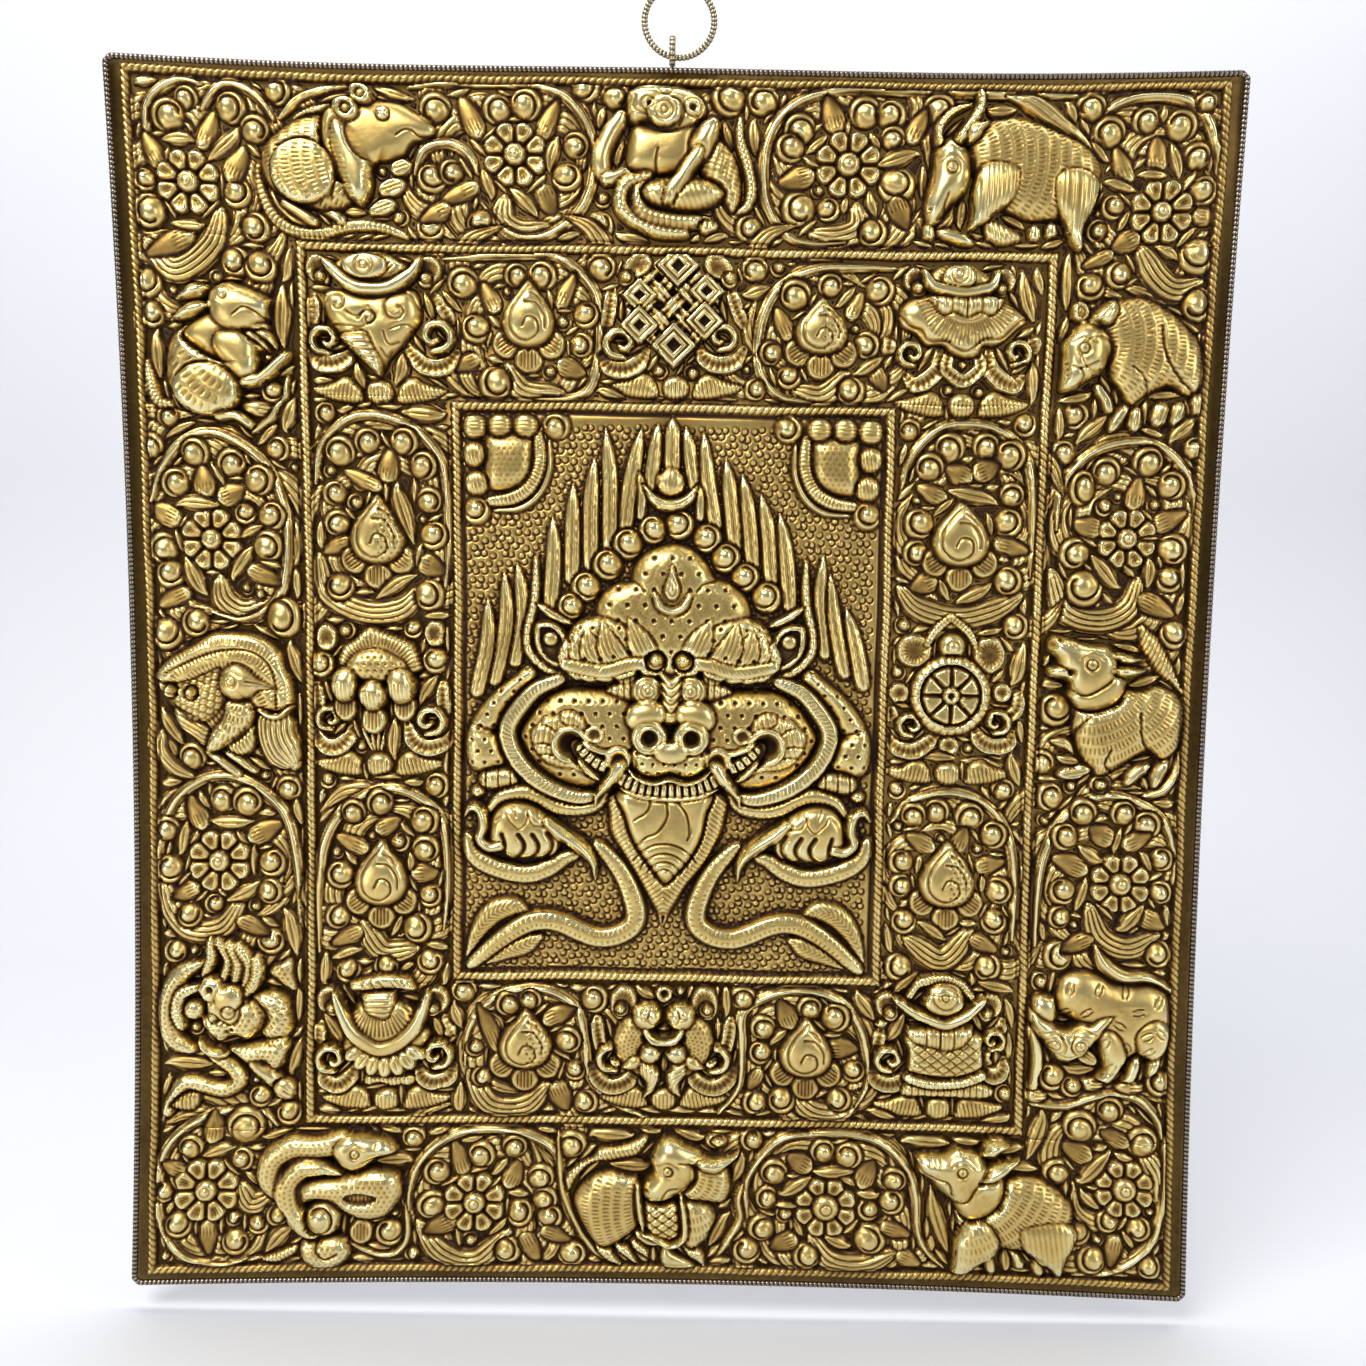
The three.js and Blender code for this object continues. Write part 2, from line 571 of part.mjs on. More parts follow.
function mask() {
  flames([[0, 98, 0, 119], [8, 92, 5, 116], [18, 77, 13, 113], [26, 66, 23, 102], [34, 61, 30, 96],
    [42, 53, 38, 88], [50, 43, 46, 80], [66, 22, 64, 62], [74, 14, 69, 55], [82, 10, 76, 40],
    [-8, 92, -6, 116], [-21, 74, -14, 113], [-28, 68, -28, 112], [-35, 60, -32, 101], [-43, 52, -42, 93],
    [-51, 42, -51, 76], [-65, 17, -63, 57], [-71, 11, -69, 56], [-79, 5, -77, 52]]);
  dome(0, 92, 6, 6, 5, 0, 6);
  ridge([[-11, 91], [-7, 84], [0, 82], [7, 84], [11, 91]], 6, 4, 4);
  each(stud, [[3, 74, 6.5], [-8, 73, 6], [-19, 66, 6.5], [-27, 57, 6.5], [-36, 48, 6.5], [-42, 40, 6.5],
    [15, 69, 6.5], [23, 61, 6.5], [32, 53, 6.5], [41, 44, 7]]);
  dome(0, 40, 24, 26, 8);
  dome(0, 44, 5, 9, 10.5, 0, 6);
  for (const side of [-1, 1]) {
    dome(side * 30, 25, 17, 13, 7.5);
    ridge([[side * 8, 17], [side * 26, 17], [side * 44, 20]], 13, 10, 3, 0.4);
    ridge([[side * 18, 22], [side * 17, 35]], 7, 9);
    dome(side * 50, 24, 7, 11, 6, side * 30);
    dome(side * 10, 5, 6.5, 6, 11);
    dome(side * 13, -9, 9.5, 10, 11.5);
    dome(side * 45, -14, 22, 21, 7.5);
    ridge([[side * 50, 9], [side * 66, -3], [side * 69, -19], [side * 57, -33], [side * 36, -41]], 10, 5, 5);
    ridge([[side * 58, 14], [side * 74, 0], [side * 81, -13], [side * 75, -26]], 11, 4, 3);
    ridge([[side * 24, -27], [side * 32, -42]], 6, 8, 2);
    ridge([[side * 86, -37], [side * 66, -30]], 9, 6, 1, 0.8);
    dome(side * 62, -53, 17, 12, 8.5);
    for (const finger of [54, 62, 70]) {
      ridge([[side * finger, -56], [side * (finger + 1), -68]], 7, 9, 1, 0.8);
    }
    ridge([[side * 74, -62], [side * 80, -58], [side * 81, -46]], 6, 7, 3);
    ridge([[side * 46, -52], [side * 38, -62], [side * 30, -74]], 6, 6, 3);
    ridge([[side * 80, -48], [side * 62, -39], [side * 42, -45], [side * 24, -38]], 7, 5, 4);
    ridge([[side * 84, -56], [side * 76, -70], [side * 58, -74], [side * 40, -66]], 7, 4.5, 4);
    ridge([[side * 30, -62], [side * 17, -76], [side * 14, -92], [side * 26, -101], [side * 44, -97],
      [side * 60, -94], [side * 80, -109]], 9, 5, 7);
    stud(side * 72, -97, 13, 6, 3.6, side * 40);
  }
  ridge([[0, 13], [0, 2], [0, -14]], 12, 10, 2);
  ridge([[-30, -27], [-10, -29], [10, -29], [30, -27]], 12, 8, 4, 0.6);
  ridge([[-22, -36], [22, -36]], 7, 6, 1, 0.9);
  dome(0, -62, 21, 25, 6.5);
  ridge([[0, -80], [0, -98]], 14, 4, 2);
}

cornerSun(-72, 109, -1);
cornerSun(70, 109, 1);
mask();

// The sheet: a slab standing for its hollow back, with all that is raised on it
function sheet() {
  const perSide = 11;
  const outline = Array.from({ length: 4 * perSide }, (_, i) => new THREE.Vector2(
    ...onBox(i / (4 * perSide), HALF_W, HALF_H, perSide, perSide - 1, 1 - CORNER / HALF_W),
  ));
  const slab = new THREE.ExtrudeGeometry(new THREE.Shape(outline), { depth: SLAB, bevelEnabled: false });
  slab.rotateX(Math.PI / 2);
  return geometryOf(wasm.Manifold.union([drawnSolid(slab), ...raised]));
}

function edgeWire() {
  const reachX = HALF_W - EDGE_INSET;
  const reachZ = HALF_H - EDGE_INSET;
  const perSide = 11;
  const corner = (t) => onBox(t, reachX, reachZ, perSide, perSide - 1, 1 - CORNER / HALF_W);
  const place = (t) => {
    const [x, z] = drawn(...corner(t));
    return [x, -SLAB - GAP - EDGE_WIRE / 2, z];
  };
  const outward = (t) => boxOutward(corner(t), reachX, reachZ);
  return loop(place, outward, [0, 1, 0], roundSection(EDGE_WIRE, 5), 4 * perSide);
}

const edgeTop = drawn(EYE_X, HALF_H)[1];
const hangY = 0.2 - SLAB - GAP - EDGE_WIRE / 2;
const eyeLow = edgeTop + GAP + EYE_WIRE / 2;
const eyeHigh = edgeTop + EYE_HEIGHT - EYE_WIRE / 2;
const ringZ = eyeLow + EYE_WIRE / 2 + GAP + BEAD_WIRE / 2 + RING_RADIUS;
const nail = [RING_X, hangY, ringZ + RING_RADIUS - BEAD_WIRE / 2];

function hangingEye() {
  const halfDepth = (EYE_DEPTH - EYE_WIRE) / 2;
  const middle = (eyeLow + eyeHigh) / 2;
  const halfHeight = (eyeHigh - eyeLow) / 2;
  const outward = (t) => [0, Math.cos(2 * Math.PI * t), Math.sin(2 * Math.PI * t)];
  const place = (t) => {
    const [, y, z] = outward(t);
    return [EYE_X, hangY + halfDepth * y, middle + halfHeight * z];
  };
  return loop(place, outward, [1, 0, 0], roundSection(EYE_WIRE, 5), 14);
}

function hangingRing() {
  const outward = (t) => [Math.cos(2 * Math.PI * t), 0, Math.sin(2 * Math.PI * t)];
  const place = (t) => {
    const [x, , z] = outward(t);
    return [RING_X + RING_RADIUS * x, hangY, ringZ + RING_RADIUS * z];
  };
  return loop(place, outward, [0, 1, 0], roundSection(BEAD_WIRE, 5), 28);
}

// Pieces, moved so that the nail's place is the origin
const brass = { color: 0xb08a3c, roughness: 0.35, metalness: 1 };
const darkWire = { color: 0x6f675c, roughness: 0.45, metalness: 1 };
const plaque = new THREE.Group();

function piece(name, geometry, look) {
  const solid = geometryOf(solidOf(geometry));
  solid.computeVertexNormals();
  const mesh = new THREE.Mesh(solid, new THREE.MeshStandardMaterial(look));
  mesh.name = name;
  mesh.position.set(-nail[0], -nail[1], -nail[2]);
  plaque.add(mesh);
}

piece('embossed_panel', sheet(), brass);
piece('edge_wire', edgeWire(), darkWire);
piece('hanging_eye', hangingEye(), darkWire);
piece('hanging_ring', hangingRing(), darkWire);

export default plaque;
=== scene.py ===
import copy
import functools
import math

import bmesh
import bpy
import numpy as np
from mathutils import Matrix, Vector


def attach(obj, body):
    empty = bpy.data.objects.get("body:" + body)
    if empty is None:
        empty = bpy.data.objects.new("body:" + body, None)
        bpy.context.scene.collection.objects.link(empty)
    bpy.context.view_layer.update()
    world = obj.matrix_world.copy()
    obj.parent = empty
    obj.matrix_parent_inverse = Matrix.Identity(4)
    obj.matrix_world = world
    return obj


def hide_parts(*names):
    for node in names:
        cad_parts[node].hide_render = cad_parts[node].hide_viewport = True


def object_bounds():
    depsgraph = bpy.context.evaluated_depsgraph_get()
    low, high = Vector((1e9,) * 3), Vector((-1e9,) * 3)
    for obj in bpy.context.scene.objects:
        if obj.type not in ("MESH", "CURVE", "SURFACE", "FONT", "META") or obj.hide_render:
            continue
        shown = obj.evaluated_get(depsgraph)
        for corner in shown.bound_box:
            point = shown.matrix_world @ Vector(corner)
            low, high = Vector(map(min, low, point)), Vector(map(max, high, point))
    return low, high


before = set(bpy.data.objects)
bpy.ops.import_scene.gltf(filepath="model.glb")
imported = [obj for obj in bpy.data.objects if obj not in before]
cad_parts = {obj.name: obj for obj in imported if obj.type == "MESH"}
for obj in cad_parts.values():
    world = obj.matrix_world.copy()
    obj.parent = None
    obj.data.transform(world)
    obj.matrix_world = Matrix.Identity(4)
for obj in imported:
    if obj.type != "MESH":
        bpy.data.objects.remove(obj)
CAD_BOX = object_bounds()

bl_info = {
    "name": "Brass Wall Plaque",
    "version": (1, 0, 0),
    "blender": (4, 5, 0),
    "location": "View3D > Sidebar > Plaque",
    "description": "Builds an embossed brass wall plaque with its ropes, wire, eye and ring",
    "category": "Object",
}

# Sizes in plate millimetres: x to the right and z up from the middle of the sheet, y into the wall
SHEET_WIDTH = 460.0
SHEET_HEIGHT = 518.0
HALF_WIDTH = SHEET_WIDTH / 2
HALF_HEIGHT = SHEET_HEIGHT / 2
CORNER_CUT = 2.2
SHEET_FACE = -3.0
PLATE_PLACE = (-1.0, 4.6, -286.7)
MM = 0.001

DRAW_LEFT = 6.1
DRAW_RIGHT = 4.3
DRAW_TOP = 5.0
DRAW_BOTTOM = 4.5
TOP_SWELL = 2.3

WIRE_INSET = 1.4
WIRE_RADIUS = 1.42
WIRE_Y = -4.8
WIRE_LENGTH = 1945
RIB_PITCH = 1.9
RIB_DEPTH = 0.2

RING_RADIUS = 13.9
RING_WIRE = 1.4
RING_CENTRE = (1.0, -4.6, 273.95)
EYE_WIRE = 1.3
EYE_CENTRE = (-1.6, -4.6, 262.55)
EYE_HALF_DEPTH = 3.5
EYE_HALF_HEIGHT = 4.95
BEAD_PITCH = 1.6
BEAD_DEPTH = 0.3

# The three rope borders: half width, half height and middle
ROPES = ((221.5, 253.0, 0.0, 0.5), (154.5, 185.5, 1.0, 1.0), (91.0, 121.5, 0.5, 1.5))
ROPE_WIDTH = 4.2
ROPE_HEIGHT = 2.6
ROPE_PITCH = 2.9


def drawn(x, z):
    """Where a point of the true rectangle lies on the sheet, whose sides were pulled in by the hammering."""
    s = np.clip(x / HALF_WIDTH, -1, 1)
    t = np.clip(z / HALF_HEIGHT, -1, 1)
    over_height = 1 - t * t
    over_width = 1 - s * s
    right = (s + 1) / 2
    upper = (t + 1) / 2
    top = TOP_SWELL * over_width ** 4 - DRAW_TOP * over_width
    new_x = x + over_height * (DRAW_LEFT * (1 - right) - DRAW_RIGHT * right)
    new_z = z + DRAW_BOTTOM * over_width * (1 - upper) + top * upper
    return new_x, new_z


def placed(x, y, z):
    """Plate millimetres to metres in the part's frame."""
    return np.stack([x + PLATE_PLACE[0], y + PLATE_PLACE[1], z + PLATE_PLACE[2]], -1) * MM


# Relief: a field of heights in plate millimetres over the sheet, indexed [z, x]

# Steps of a curve between two of its places
CURVE_STEPS = 8


def smooth_line(points, closed=False):
    """Points of a Catmull-Rom curve through the given places."""
    p = np.array(points, float)
    if closed:
        p = np.vstack([p[-1], p, p[:2]])
    else:
        p = np.vstack([2 * p[0] - p[1], p, 2 * p[-1] - p[-2]])
    t = np.linspace(0, 1, CURVE_STEPS, endpoint=False)[:, None]
    spans = []
    for a, b, c, d in zip(p, p[1:], p[2:], p[3:]):
        spans.append(0.5 * (2 * b + (c - a) * t + (2 * a - 5 * b + 4 * c - d) * t ** 2
            + (3 * b - a - 3 * c + d) * t ** 3))
    line = np.vstack(spans)
    return line if closed else np.vstack([line, p[-2]])


def rounded(q, power=2.0):
    """Pillow section: 1 in the middle, 0 at q = 1."""
    return np.clip(1 - np.abs(q) ** power, 0, 1) ** 0.5


def grooves(u, pitch, width=0.4):
    """Parallel cuts: 1 in the middle of a cut, 0 between cuts."""
    away = np.abs((u / pitch) % 1 - 0.5) * 2
    return np.clip(1 - (1 - away) / width, 0, 1)


def blurred(heights, spacing, radius):
    """A Gaussian mean of a height field."""
    fz = np.fft.fftfreq(heights.shape[0], spacing)[:, None]
    fx = np.fft.rfftfreq(heights.shape[1], spacing)[None, :]
    pull = np.exp(-2 * (math.pi * radius) ** 2 * (fx ** 2 + fz ** 2))
    return np.fft.irfft2(np.fft.rfft2(heights) * pull, s=heights.shape)


def distance_to(path, gx, gz):
    """How far each place is from a path."""
    best = np.full(gx.shape, 1e9)
    for (ax, az), (bx, bz) in zip(path, path[1:]):
        dx, dz = bx - ax, bz - az
        t = np.clip(((gx - ax) * dx + (gz - az) * dz) / max(dx * dx + dz * dz, 1e-9), 0, 1)
        best = np.minimum(best, np.hypot(gx - ax - t * dx, gz - az - t * dz))
    return best


class Form:
    """What one raised shape covers: its window, its strength there, and its own u, v in millimetres."""

    def __init__(self, window, cover, u, v):
        self.window = window
        self.cover = cover
        self.u = u
        self.v = v


class Sheet:
    """The relief's heights, and what can be raised, cut and punched on it."""

    def __init__(self, spacing):
        self.spacing = spacing
        self.x = np.arange(-SHEET_WIDTH / 2 - 1, SHEET_WIDTH / 2 + 1 + spacing, spacing)
        self.z = np.arange(-SHEET_HEIGHT / 2 - 1, SHEET_HEIGHT / 2 + 1 + spacing, spacing)
        self.h = np.zeros((len(self.z), len(self.x)))

    def around(self, x, z):
        """The same heights, measured from (x, z)."""
        part = copy.copy(self)
        part.x = self.x - x
        part.z = self.z - z
        return part

    def window(self, low_x, high_x, low_z, high_z):
        """The part of the sheet between four sides, and the places of its points."""
        i = np.clip(np.searchsorted(self.x, [low_x, high_x]), 0, len(self.x))
        j = np.clip(np.searchsorted(self.z, [low_z, high_z]), 0, len(self.z))
        place = (slice(j[0], j[1]), slice(i[0], i[1]))
        gx, gz = np.meshgrid(self.x[place[1]], self.z[place[0]])
        return place, gx, gz

    def near(self, path, reach=2.0):
        """The window round a path."""
        low, high = path.min(axis=0) - reach, path.max(axis=0) + reach
        return self.window(low[0], high[0], low[1], high[1])

    def lay(self, place, inside, height, over=False):
        """Puts a form's height on the sheet and cuts the dark line round it. inside is in millimetres.

        A form laid over others starts a little below their tops, so its edge shows as a step.
        """
        old = self.h[place]
        if over:
            base = 0.72 * np.clip(old, 0, None)
            height = np.maximum(height + base * (1 - height / height.max()), 0.8 * height)
        moat = 0.45 * np.exp(-((inside + 0.35) / 0.5) ** 2)
        self.h[place] = np.where(inside > 0, height, np.maximum(old - moat, -0.6))

    def oval(self, x, z, rx, rz, up, turn=0, floor=0.0, over=False, power=2.2):
        """A rounded oval boss, or a flatter one where power is high."""
        reach = max(rx, rz) + 2
        place, gx, gz = self.window(x - reach, x + reach, z - reach, z + reach)
        a = np.radians(turn)
        u = (gx - x) * np.cos(a) + (gz - z) * np.sin(a)
        v = (gz - z) * np.cos(a) - (gx - x) * np.sin(a)
        q = np.hypot(u / rx, v / rz)
        inside = (1 - q) * min(rx, rz)
        self.lay(place, inside, floor + (up - floor) * rounded(q, power), over)
        return Form(place, np.clip(inside / 1.2, 0, 1), u, v)

    def stroke(self, line, width, up, tip=0.25, floor=0.0, over=False, ribs=0, swell=None, power=2.0,
            rib_cut=0.8):
        """A ridge along a smooth line, with ribs cuts along it; swell gives its width from 0 to 1."""
        path = smooth_line(line)
        half = width / 2
        place, gx, gz = self.near(path, half * 1.6 + 2)
        lengths = np.r_[0, np.cumsum(np.hypot(*np.diff(path, axis=0).T))]
        best = np.full(gx.shape, 1e9)
        along = np.zeros(gx.shape)
        side = np.zeros(gx.shape)
        for k in range(len(path) - 1):
            (ax, az), (bx, bz) = path[k], path[k + 1]
            dx, dz = bx - ax, bz - az
            span = max(dx * dx + dz * dz, 1e-9)
            t = np.clip(((gx - ax) * dx + (gz - az) * dz) / span, 0, 1)
            away = np.hypot(gx - ax - t * dx, gz - az - t * dz)
            near = away < best
            best[near] = away[near]
            along[near] = lengths[k] + t[near] * span ** 0.5
            cross = (dx * (gz - az) - dz * (gx - ax)) / span ** 0.5
            side[near] = cross[near]
        t = along / lengths[-1]
        if swell is None:
            grow = tip + (1 - tip) * np.sqrt(np.clip(4 * np.minimum(t, 1 - t), 0, 1))
        else:
            grow = np.interp(t, np.linspace(0, 1, len(swell)), swell)
        reach_here = np.maximum(half * grow, 0.05)
        q = best / reach_here
        inside = reach_here - best
        height = floor + (up - floor) * rounded(q, power) * (0.55 + 0.45 * grow)
        if ribs:
            signed = np.copysign(q, side)
            height -= rib_cut * grooves((signed + 1) / 2 * (ribs + 1) + 0.5, 1, 0.45) * (q < 0.95)
        self.lay(place, inside, height, over)
        return Form(place, np.clip(inside / 0.8, 0, 1), along, side)

    def blob(self, outline, up, edge=6.0, floor=0.0, over=False, crown=0.25):
        """A smooth closed outline with rounded edges."""
        path = smooth_line(outline, closed=True)
        path = np.vstack([path, path[0]])
        place, gx, gz = self.near(path)
        best = distance_to(path, gx, gz)
        inner = np.zeros(gx.shape, bool)
        for (ax, az), (bx, bz) in zip(path, path[1:]):
            if bz != az:
                crosses = (az > gz) != (bz > gz)
                inner ^= crosses & (gx < ax + (gz - az) * (bx - ax) / (bz - az))
        inside = np.where(inner, best, -best)
        soft = blurred(inside, self.spacing, 0.14 * inside.max())
        deep = np.clip(soft / max(soft.max(), 1e-6), 0, 1)
        firm = np.clip(1 - inside / (0.6 * edge), 0, 1)
        q = np.clip((inside * firm + soft * (1 - firm)) / edge, 0, 1)
        height = floor + (up - floor) * ((1 - crown) * np.sqrt(1 - (1 - q) ** 2) + crown * np.sqrt(deep))
        self.lay(place, inside, height, over)
        cx, cz = np.mean(path[:, 0]), np.mean(path[:, 1])
        return Form(place, np.clip(inside / 1.2, 0, 1), gx - cx, gz - cz)

    def cut(self, line, width=0.9, depth=0.9):
        """A chased line."""
        path = smooth_line(line)
        place, gx, gz = self.near(path)
        self.h[place] -= depth * np.exp(-(distance_to(path, gx, gz) / width * 1.6) ** 2)

    def ring(self, x, z, r, width=0.9, depth=0.8):
        """A chased circle."""
        place, gx, gz = self.window(x - r - 2, x + r + 2, z - r - 2, z + r + 2)
        away = np.abs(np.hypot(gx - x, gz - z) - r)
        self.h[place] -= depth * np.exp(-(away / width * 1.6) ** 2)

    def pit(self, x, z, r, depth):
        """A round hole."""
        place, gx, gz = self.window(x - r - 2, x + r + 2, z - r - 2, z + r + 2)
        self.h[place] -= depth * np.exp(-(np.hypot(gx - x, gz - z) / r) ** 4)

    def hatch(self, form, pitch, turn=0, depth=0.5, width=0.5, where=None):
        """Fine parallel cuts over a form, at an angle to its own u."""
        a = np.radians(turn)
        cuts = grooves(form.u * np.cos(a) + form.v * np.sin(a), pitch, width)
        cover = form.cover if where is None else form.cover * where
        self.h[form.window] -= 1.35 * depth * cuts * cover

    def ruff(self, form, around, row=4.6, pitch=1.75, depth=0.6):
        """Rings of short dashes that radiate from a place: fur or feathers."""
        gx, gz = np.meshgrid(self.x[form.window[1]], self.z[form.window[0]])
        dx, dz = gx - around[0], gz - around[1]
        away = np.hypot(dx, dz)
        ring = np.floor(away / row)
        part = away / row - ring
        count = np.round(2 * np.pi * (ring + 0.5) * row / pitch)
        turn = np.arctan2(dz, dx) * count / (2 * np.pi) + 0.37 * ring
        dash = np.clip(np.minimum(part - 0.06, 0.80 - part) * 8, 0, 1)
        self.h[form.window] -= 1.3 * depth * grooves(turn, 1, 0.55) * dash * form.cover

    def dots(self, form, pitch=3.0, r=0.75, depth=0.7, where=None):
        """Small round punch marks in staggered rows."""
        row = np.round(form.v / (pitch * 0.87))
        du = (form.u / pitch + 0.5 * (row % 2)) % 1 - 0.5
        away = np.hypot(du * pitch, form.v - row * pitch * 0.87)
        cover = np.clip((form.cover - 0.7) * 4, 0, 1)
        if where is not None:
            cover = cover * where
        self.h[form.window] -= depth * np.exp(-(away / r) ** 2) * cover

    def scales(self, form, pitch=4.0, turn=0, depth=0.8):
        """Overlapping round scales."""
        a = np.radians(turn)
        u = form.u * np.cos(a) + form.v * np.sin(a)
        v = form.v * np.cos(a) - form.u * np.sin(a)
        rise = pitch * 0.6
        cut = np.zeros_like(u)
        for shift in (0, 1):
            row = np.floor(v / rise)
            row = row + ((row + shift) % 2 != 0)
            du = ((u / pitch + 0.5 * shift) % 1 - 0.5) * pitch
            away = np.abs(np.hypot(du, v - row * rise) - pitch * 0.5)
            cut = np.maximum(cut, np.exp(-(away / 0.45) ** 2) * (v < row * rise + 0.3))
        self.h[form.window] -= depth * cut * form.cover


# Ornament

def curl(s, x, z, r, turn, hand, up=None, r2=None):
    """A round boss with a comma cut spiralling round its off-centre knob."""
    rz = r2 or r
    up = up or 2.4 + 0.3 * r
    s.oval(x, z, r, rz, up, power=2.4)
    a = np.radians(turn)
    kx, kz = x + 0.24 * r * np.cos(a), z + 0.24 * rz * np.sin(a)
    place, gx, gz = s.window(x - r, x + r, z - rz, z + rz)
    away = np.hypot((gx - kx) / r, (gz - kz) / rz)
    phi = (hand * (np.arctan2(gz - kz, gx - kx) - a)) % (2 * np.pi)
    spiral = 0.40 + 0.105 * phi
    fade = np.clip(phi / 0.6, 0, 1) * np.clip((4.9 - phi) / 1.2, 0, 1)
    s.h[place] -= 2.1 * np.exp(-((away - spiral) * r / 0.62) ** 2) * fade
    s.h[place] += 0.9 * np.sqrt(np.clip(1 - (away / 0.42) ** 2, 0, 1))


def stalk(s, x, z, r, hand):
    """The fluted stalk behind a curl or bud at (x, z), bent round the roundel's middle."""
    away = max(math.hypot(x, z), 1.0)
    start = math.atan2(z, x)
    line = [(x, z)]
    for out, turn in ((0.8, 0.9), (1.15, 2.1), (1.0, 3.7)):
        a = start + hand * turn * r / away
        line.append(((away + out * r) * math.cos(a), (away + out * r) * math.sin(a)))
    s.stroke(line, 1.75 * r, 3.4, ribs=3, rib_cut=1.0, swell=(0.9, 1, 0.95, 0.8, 0.6, 0.35, 0.08), power=2.5)


def bud(s, x, z, rx, rz):
    """A leaf bud that swells towards the roundel's middle, with a few lines at its full end."""
    if rz > rx:
        way = math.copysign(90, -z)
    else:
        way = 0 if x < 0 else 180
    lean = math.degrees(math.atan2(-z, -x)) - way
    lean = (lean + 180) % 360 - 180
    way += max(-25, min(25, lean))
    long, short = max(rx, rz), min(rx, rz)
    reach = long + 3
    place, gx, gz = s.window(x - reach, x + reach, z - reach, z + reach)
    a = math.radians(way)
    u = (gx - x) * math.cos(a) + (gz - z) * math.sin(a)
    v = (gz - z) * math.cos(a) - (gx - x) * math.sin(a)
    t = np.clip(u / (long * 1.05), -1, 1)
    half = short * 1.05 * np.sqrt(1 - t ** 2) * (0.82 + 0.22 * t)
    inside = half - np.abs(v)
    inside = np.where(np.abs(u) < long * 1.05, inside, -0.5 - np.abs(np.abs(u) - long))
    height = 3.6 * np.sqrt(np.clip(1 - (v / np.maximum(half, 0.05)) ** 2, 0, 1)) * (0.72 + 0.28 * t)
    height *= np.clip(half / 2.2, 0, 1) ** 0.5
    s.lay(place, inside, height)
    form = Form(place, np.clip(inside / 1.2, 0, 1), u, v)
    s.hatch(form, 1.5, 90, 0.55, 0.55, np.clip((t - 0.05) * 4, 0, 1) * np.clip((0.8 - t) * 6, 0, 1))


def rosette(s, x, z, r, boss):
    """Eight cupped petals round a ringed boss."""
    petals = 8
    place, gx, gz = s.window(x - r - 2, x + r + 2, z - r - 2, z + r + 2)
    away = np.hypot(gx - x, gz - z)
    angle = np.arctan2(gz - z, gx - x)
    part = (angle * petals / (2 * np.pi)) % 1 - 0.5
    gap = (0.5 - np.abs(part)) * 2 * np.pi * away / petals - 0.12
    edge = r * (1 - 1.25 * np.abs(part) ** 2.6)
    inside = np.minimum(gap, edge - away)
    run = np.clip(inside / 2.1, 0, 1)
    height = 4.0 * np.sqrt(1 - (1 - run) ** 2) * (0.62 + 0.38 * away / r)
    hollow = np.exp(-((away / r - 0.68) / 0.17) ** 4) * np.exp(-(part / 0.24) ** 4)
    veins = grooves(part * 7, 1, 0.5)
    height = np.where(inside > 0, height - 0.6 * hollow - 0.6 * hollow * veins, height)
    inside = np.where(away < r + 0.8, np.maximum(inside, 0.01 * (away < edge)), inside)
    s.lay(place, inside, np.maximum(height, 0))
    s.oval(x, z, boss, boss, 5.6, floor=1.2)
    s.ring(x, z, 0.42 * boss, 0.7, 0.9)
    s.ring(x, z, boss + 0.3, 0.8, 0.8)


def petal(s, x, z, rx, rz, turn, up):
    """A cupped petal, hatched along its length."""
    form = s.oval(x, z, rx, rz, up, turn, power=4.5)
    q = np.hypot(form.u / rx, form.v / rz)
    hollow = np.clip((0.72 - q) * 6, 0, 1)
    s.h[form.window] -= 0.5 * hollow
    s.hatch(form, 1.5, 90, 0.55, 0.55, hollow)


def jewel(s, x, z, rx, rz, dotted):
    """An upright drop, chased with a scroll, and three petals below it."""
    rx, rz = 1.2 * rx, 1.08 * rz
    for way in (-146, -90, -34):
        a = np.radians(way)
        petal(s, x + rx * np.cos(a), z - 4 + 1.02 * rz * np.sin(a), 6, 6.4, way, 3.6)
    drop = s.blob([(x + u * rx, z + v * rz) for u, v in (
        (0, 1.05), (0.4, 0.68), (0.82, 0.24), (1, -0.28), (0.72, -0.8), (0, -1), (-0.72, -0.8), (-1, -0.28),
        (-0.82, 0.24), (-0.4, 0.68))], 7.4, 5, crown=0.35)
    if dotted:
        s.dots(drop, 2.6, 0.6, 0.9, drop.u > 0.5)
    for line in (((0.05, 0.82), (-0.38, 0.42), (-0.66, -0.05), (-0.56, -0.52), (-0.08, -0.76),
            (0.36, -0.55), (0.32, -0.18), (-0.02, -0.1), (-0.2, -0.36)), ((-0.1, 0.35), (0.3, 0.3),
            (0.6, -0.05), (0.62, -0.4)), ((0.1, 0.62), (0.35, 0.5), (0.5, 0.3))):
        s.cut([(x + u * rx, z + v * rz) for u, v in line], 0.8, 1.1)


def swoosh(s, line, width=12, up=4.2, ribs=4):
    """A fluted leaf that sweeps round."""
    s.stroke(line, width, up, tip=0.35, ribs=ribs, rib_cut=1.3)


# The twelve rosette roundels and the eight jewel roundels: stems, curls, leaf buds and fluted leaves

def sprays(s, stems, curls, buds, fans):
    """A roundel round its middle: curls and buds on stalks, fluted leaves, and flat stems over them."""
    for k, (x, z, r, *high) in enumerate(curls):
        stalk(s, x, z, r, 1 if k % 2 else -1)
    for k, (x, z, rx, rz) in enumerate(buds):
        stalk(s, x, z, 0.75 * max(rx, rz), -1 if k % 2 else 1)
    for line in fans:
        swoosh(s, line)
    for line in stems:
        s.stroke(line, 5.2, 4.4, ribs=1, rib_cut=1.3)
    for k, (x, z, r, *high) in enumerate(curls):
        turn = math.degrees(math.atan2(-z, -x)) + (70 if k % 2 else -70)
        curl(s, x, z, r, turn, 1 if k % 2 else -1, r2=high[0] if high else None)
    for x, z, rx, rz in buds:
        bud(s, x, z, rx, rz)


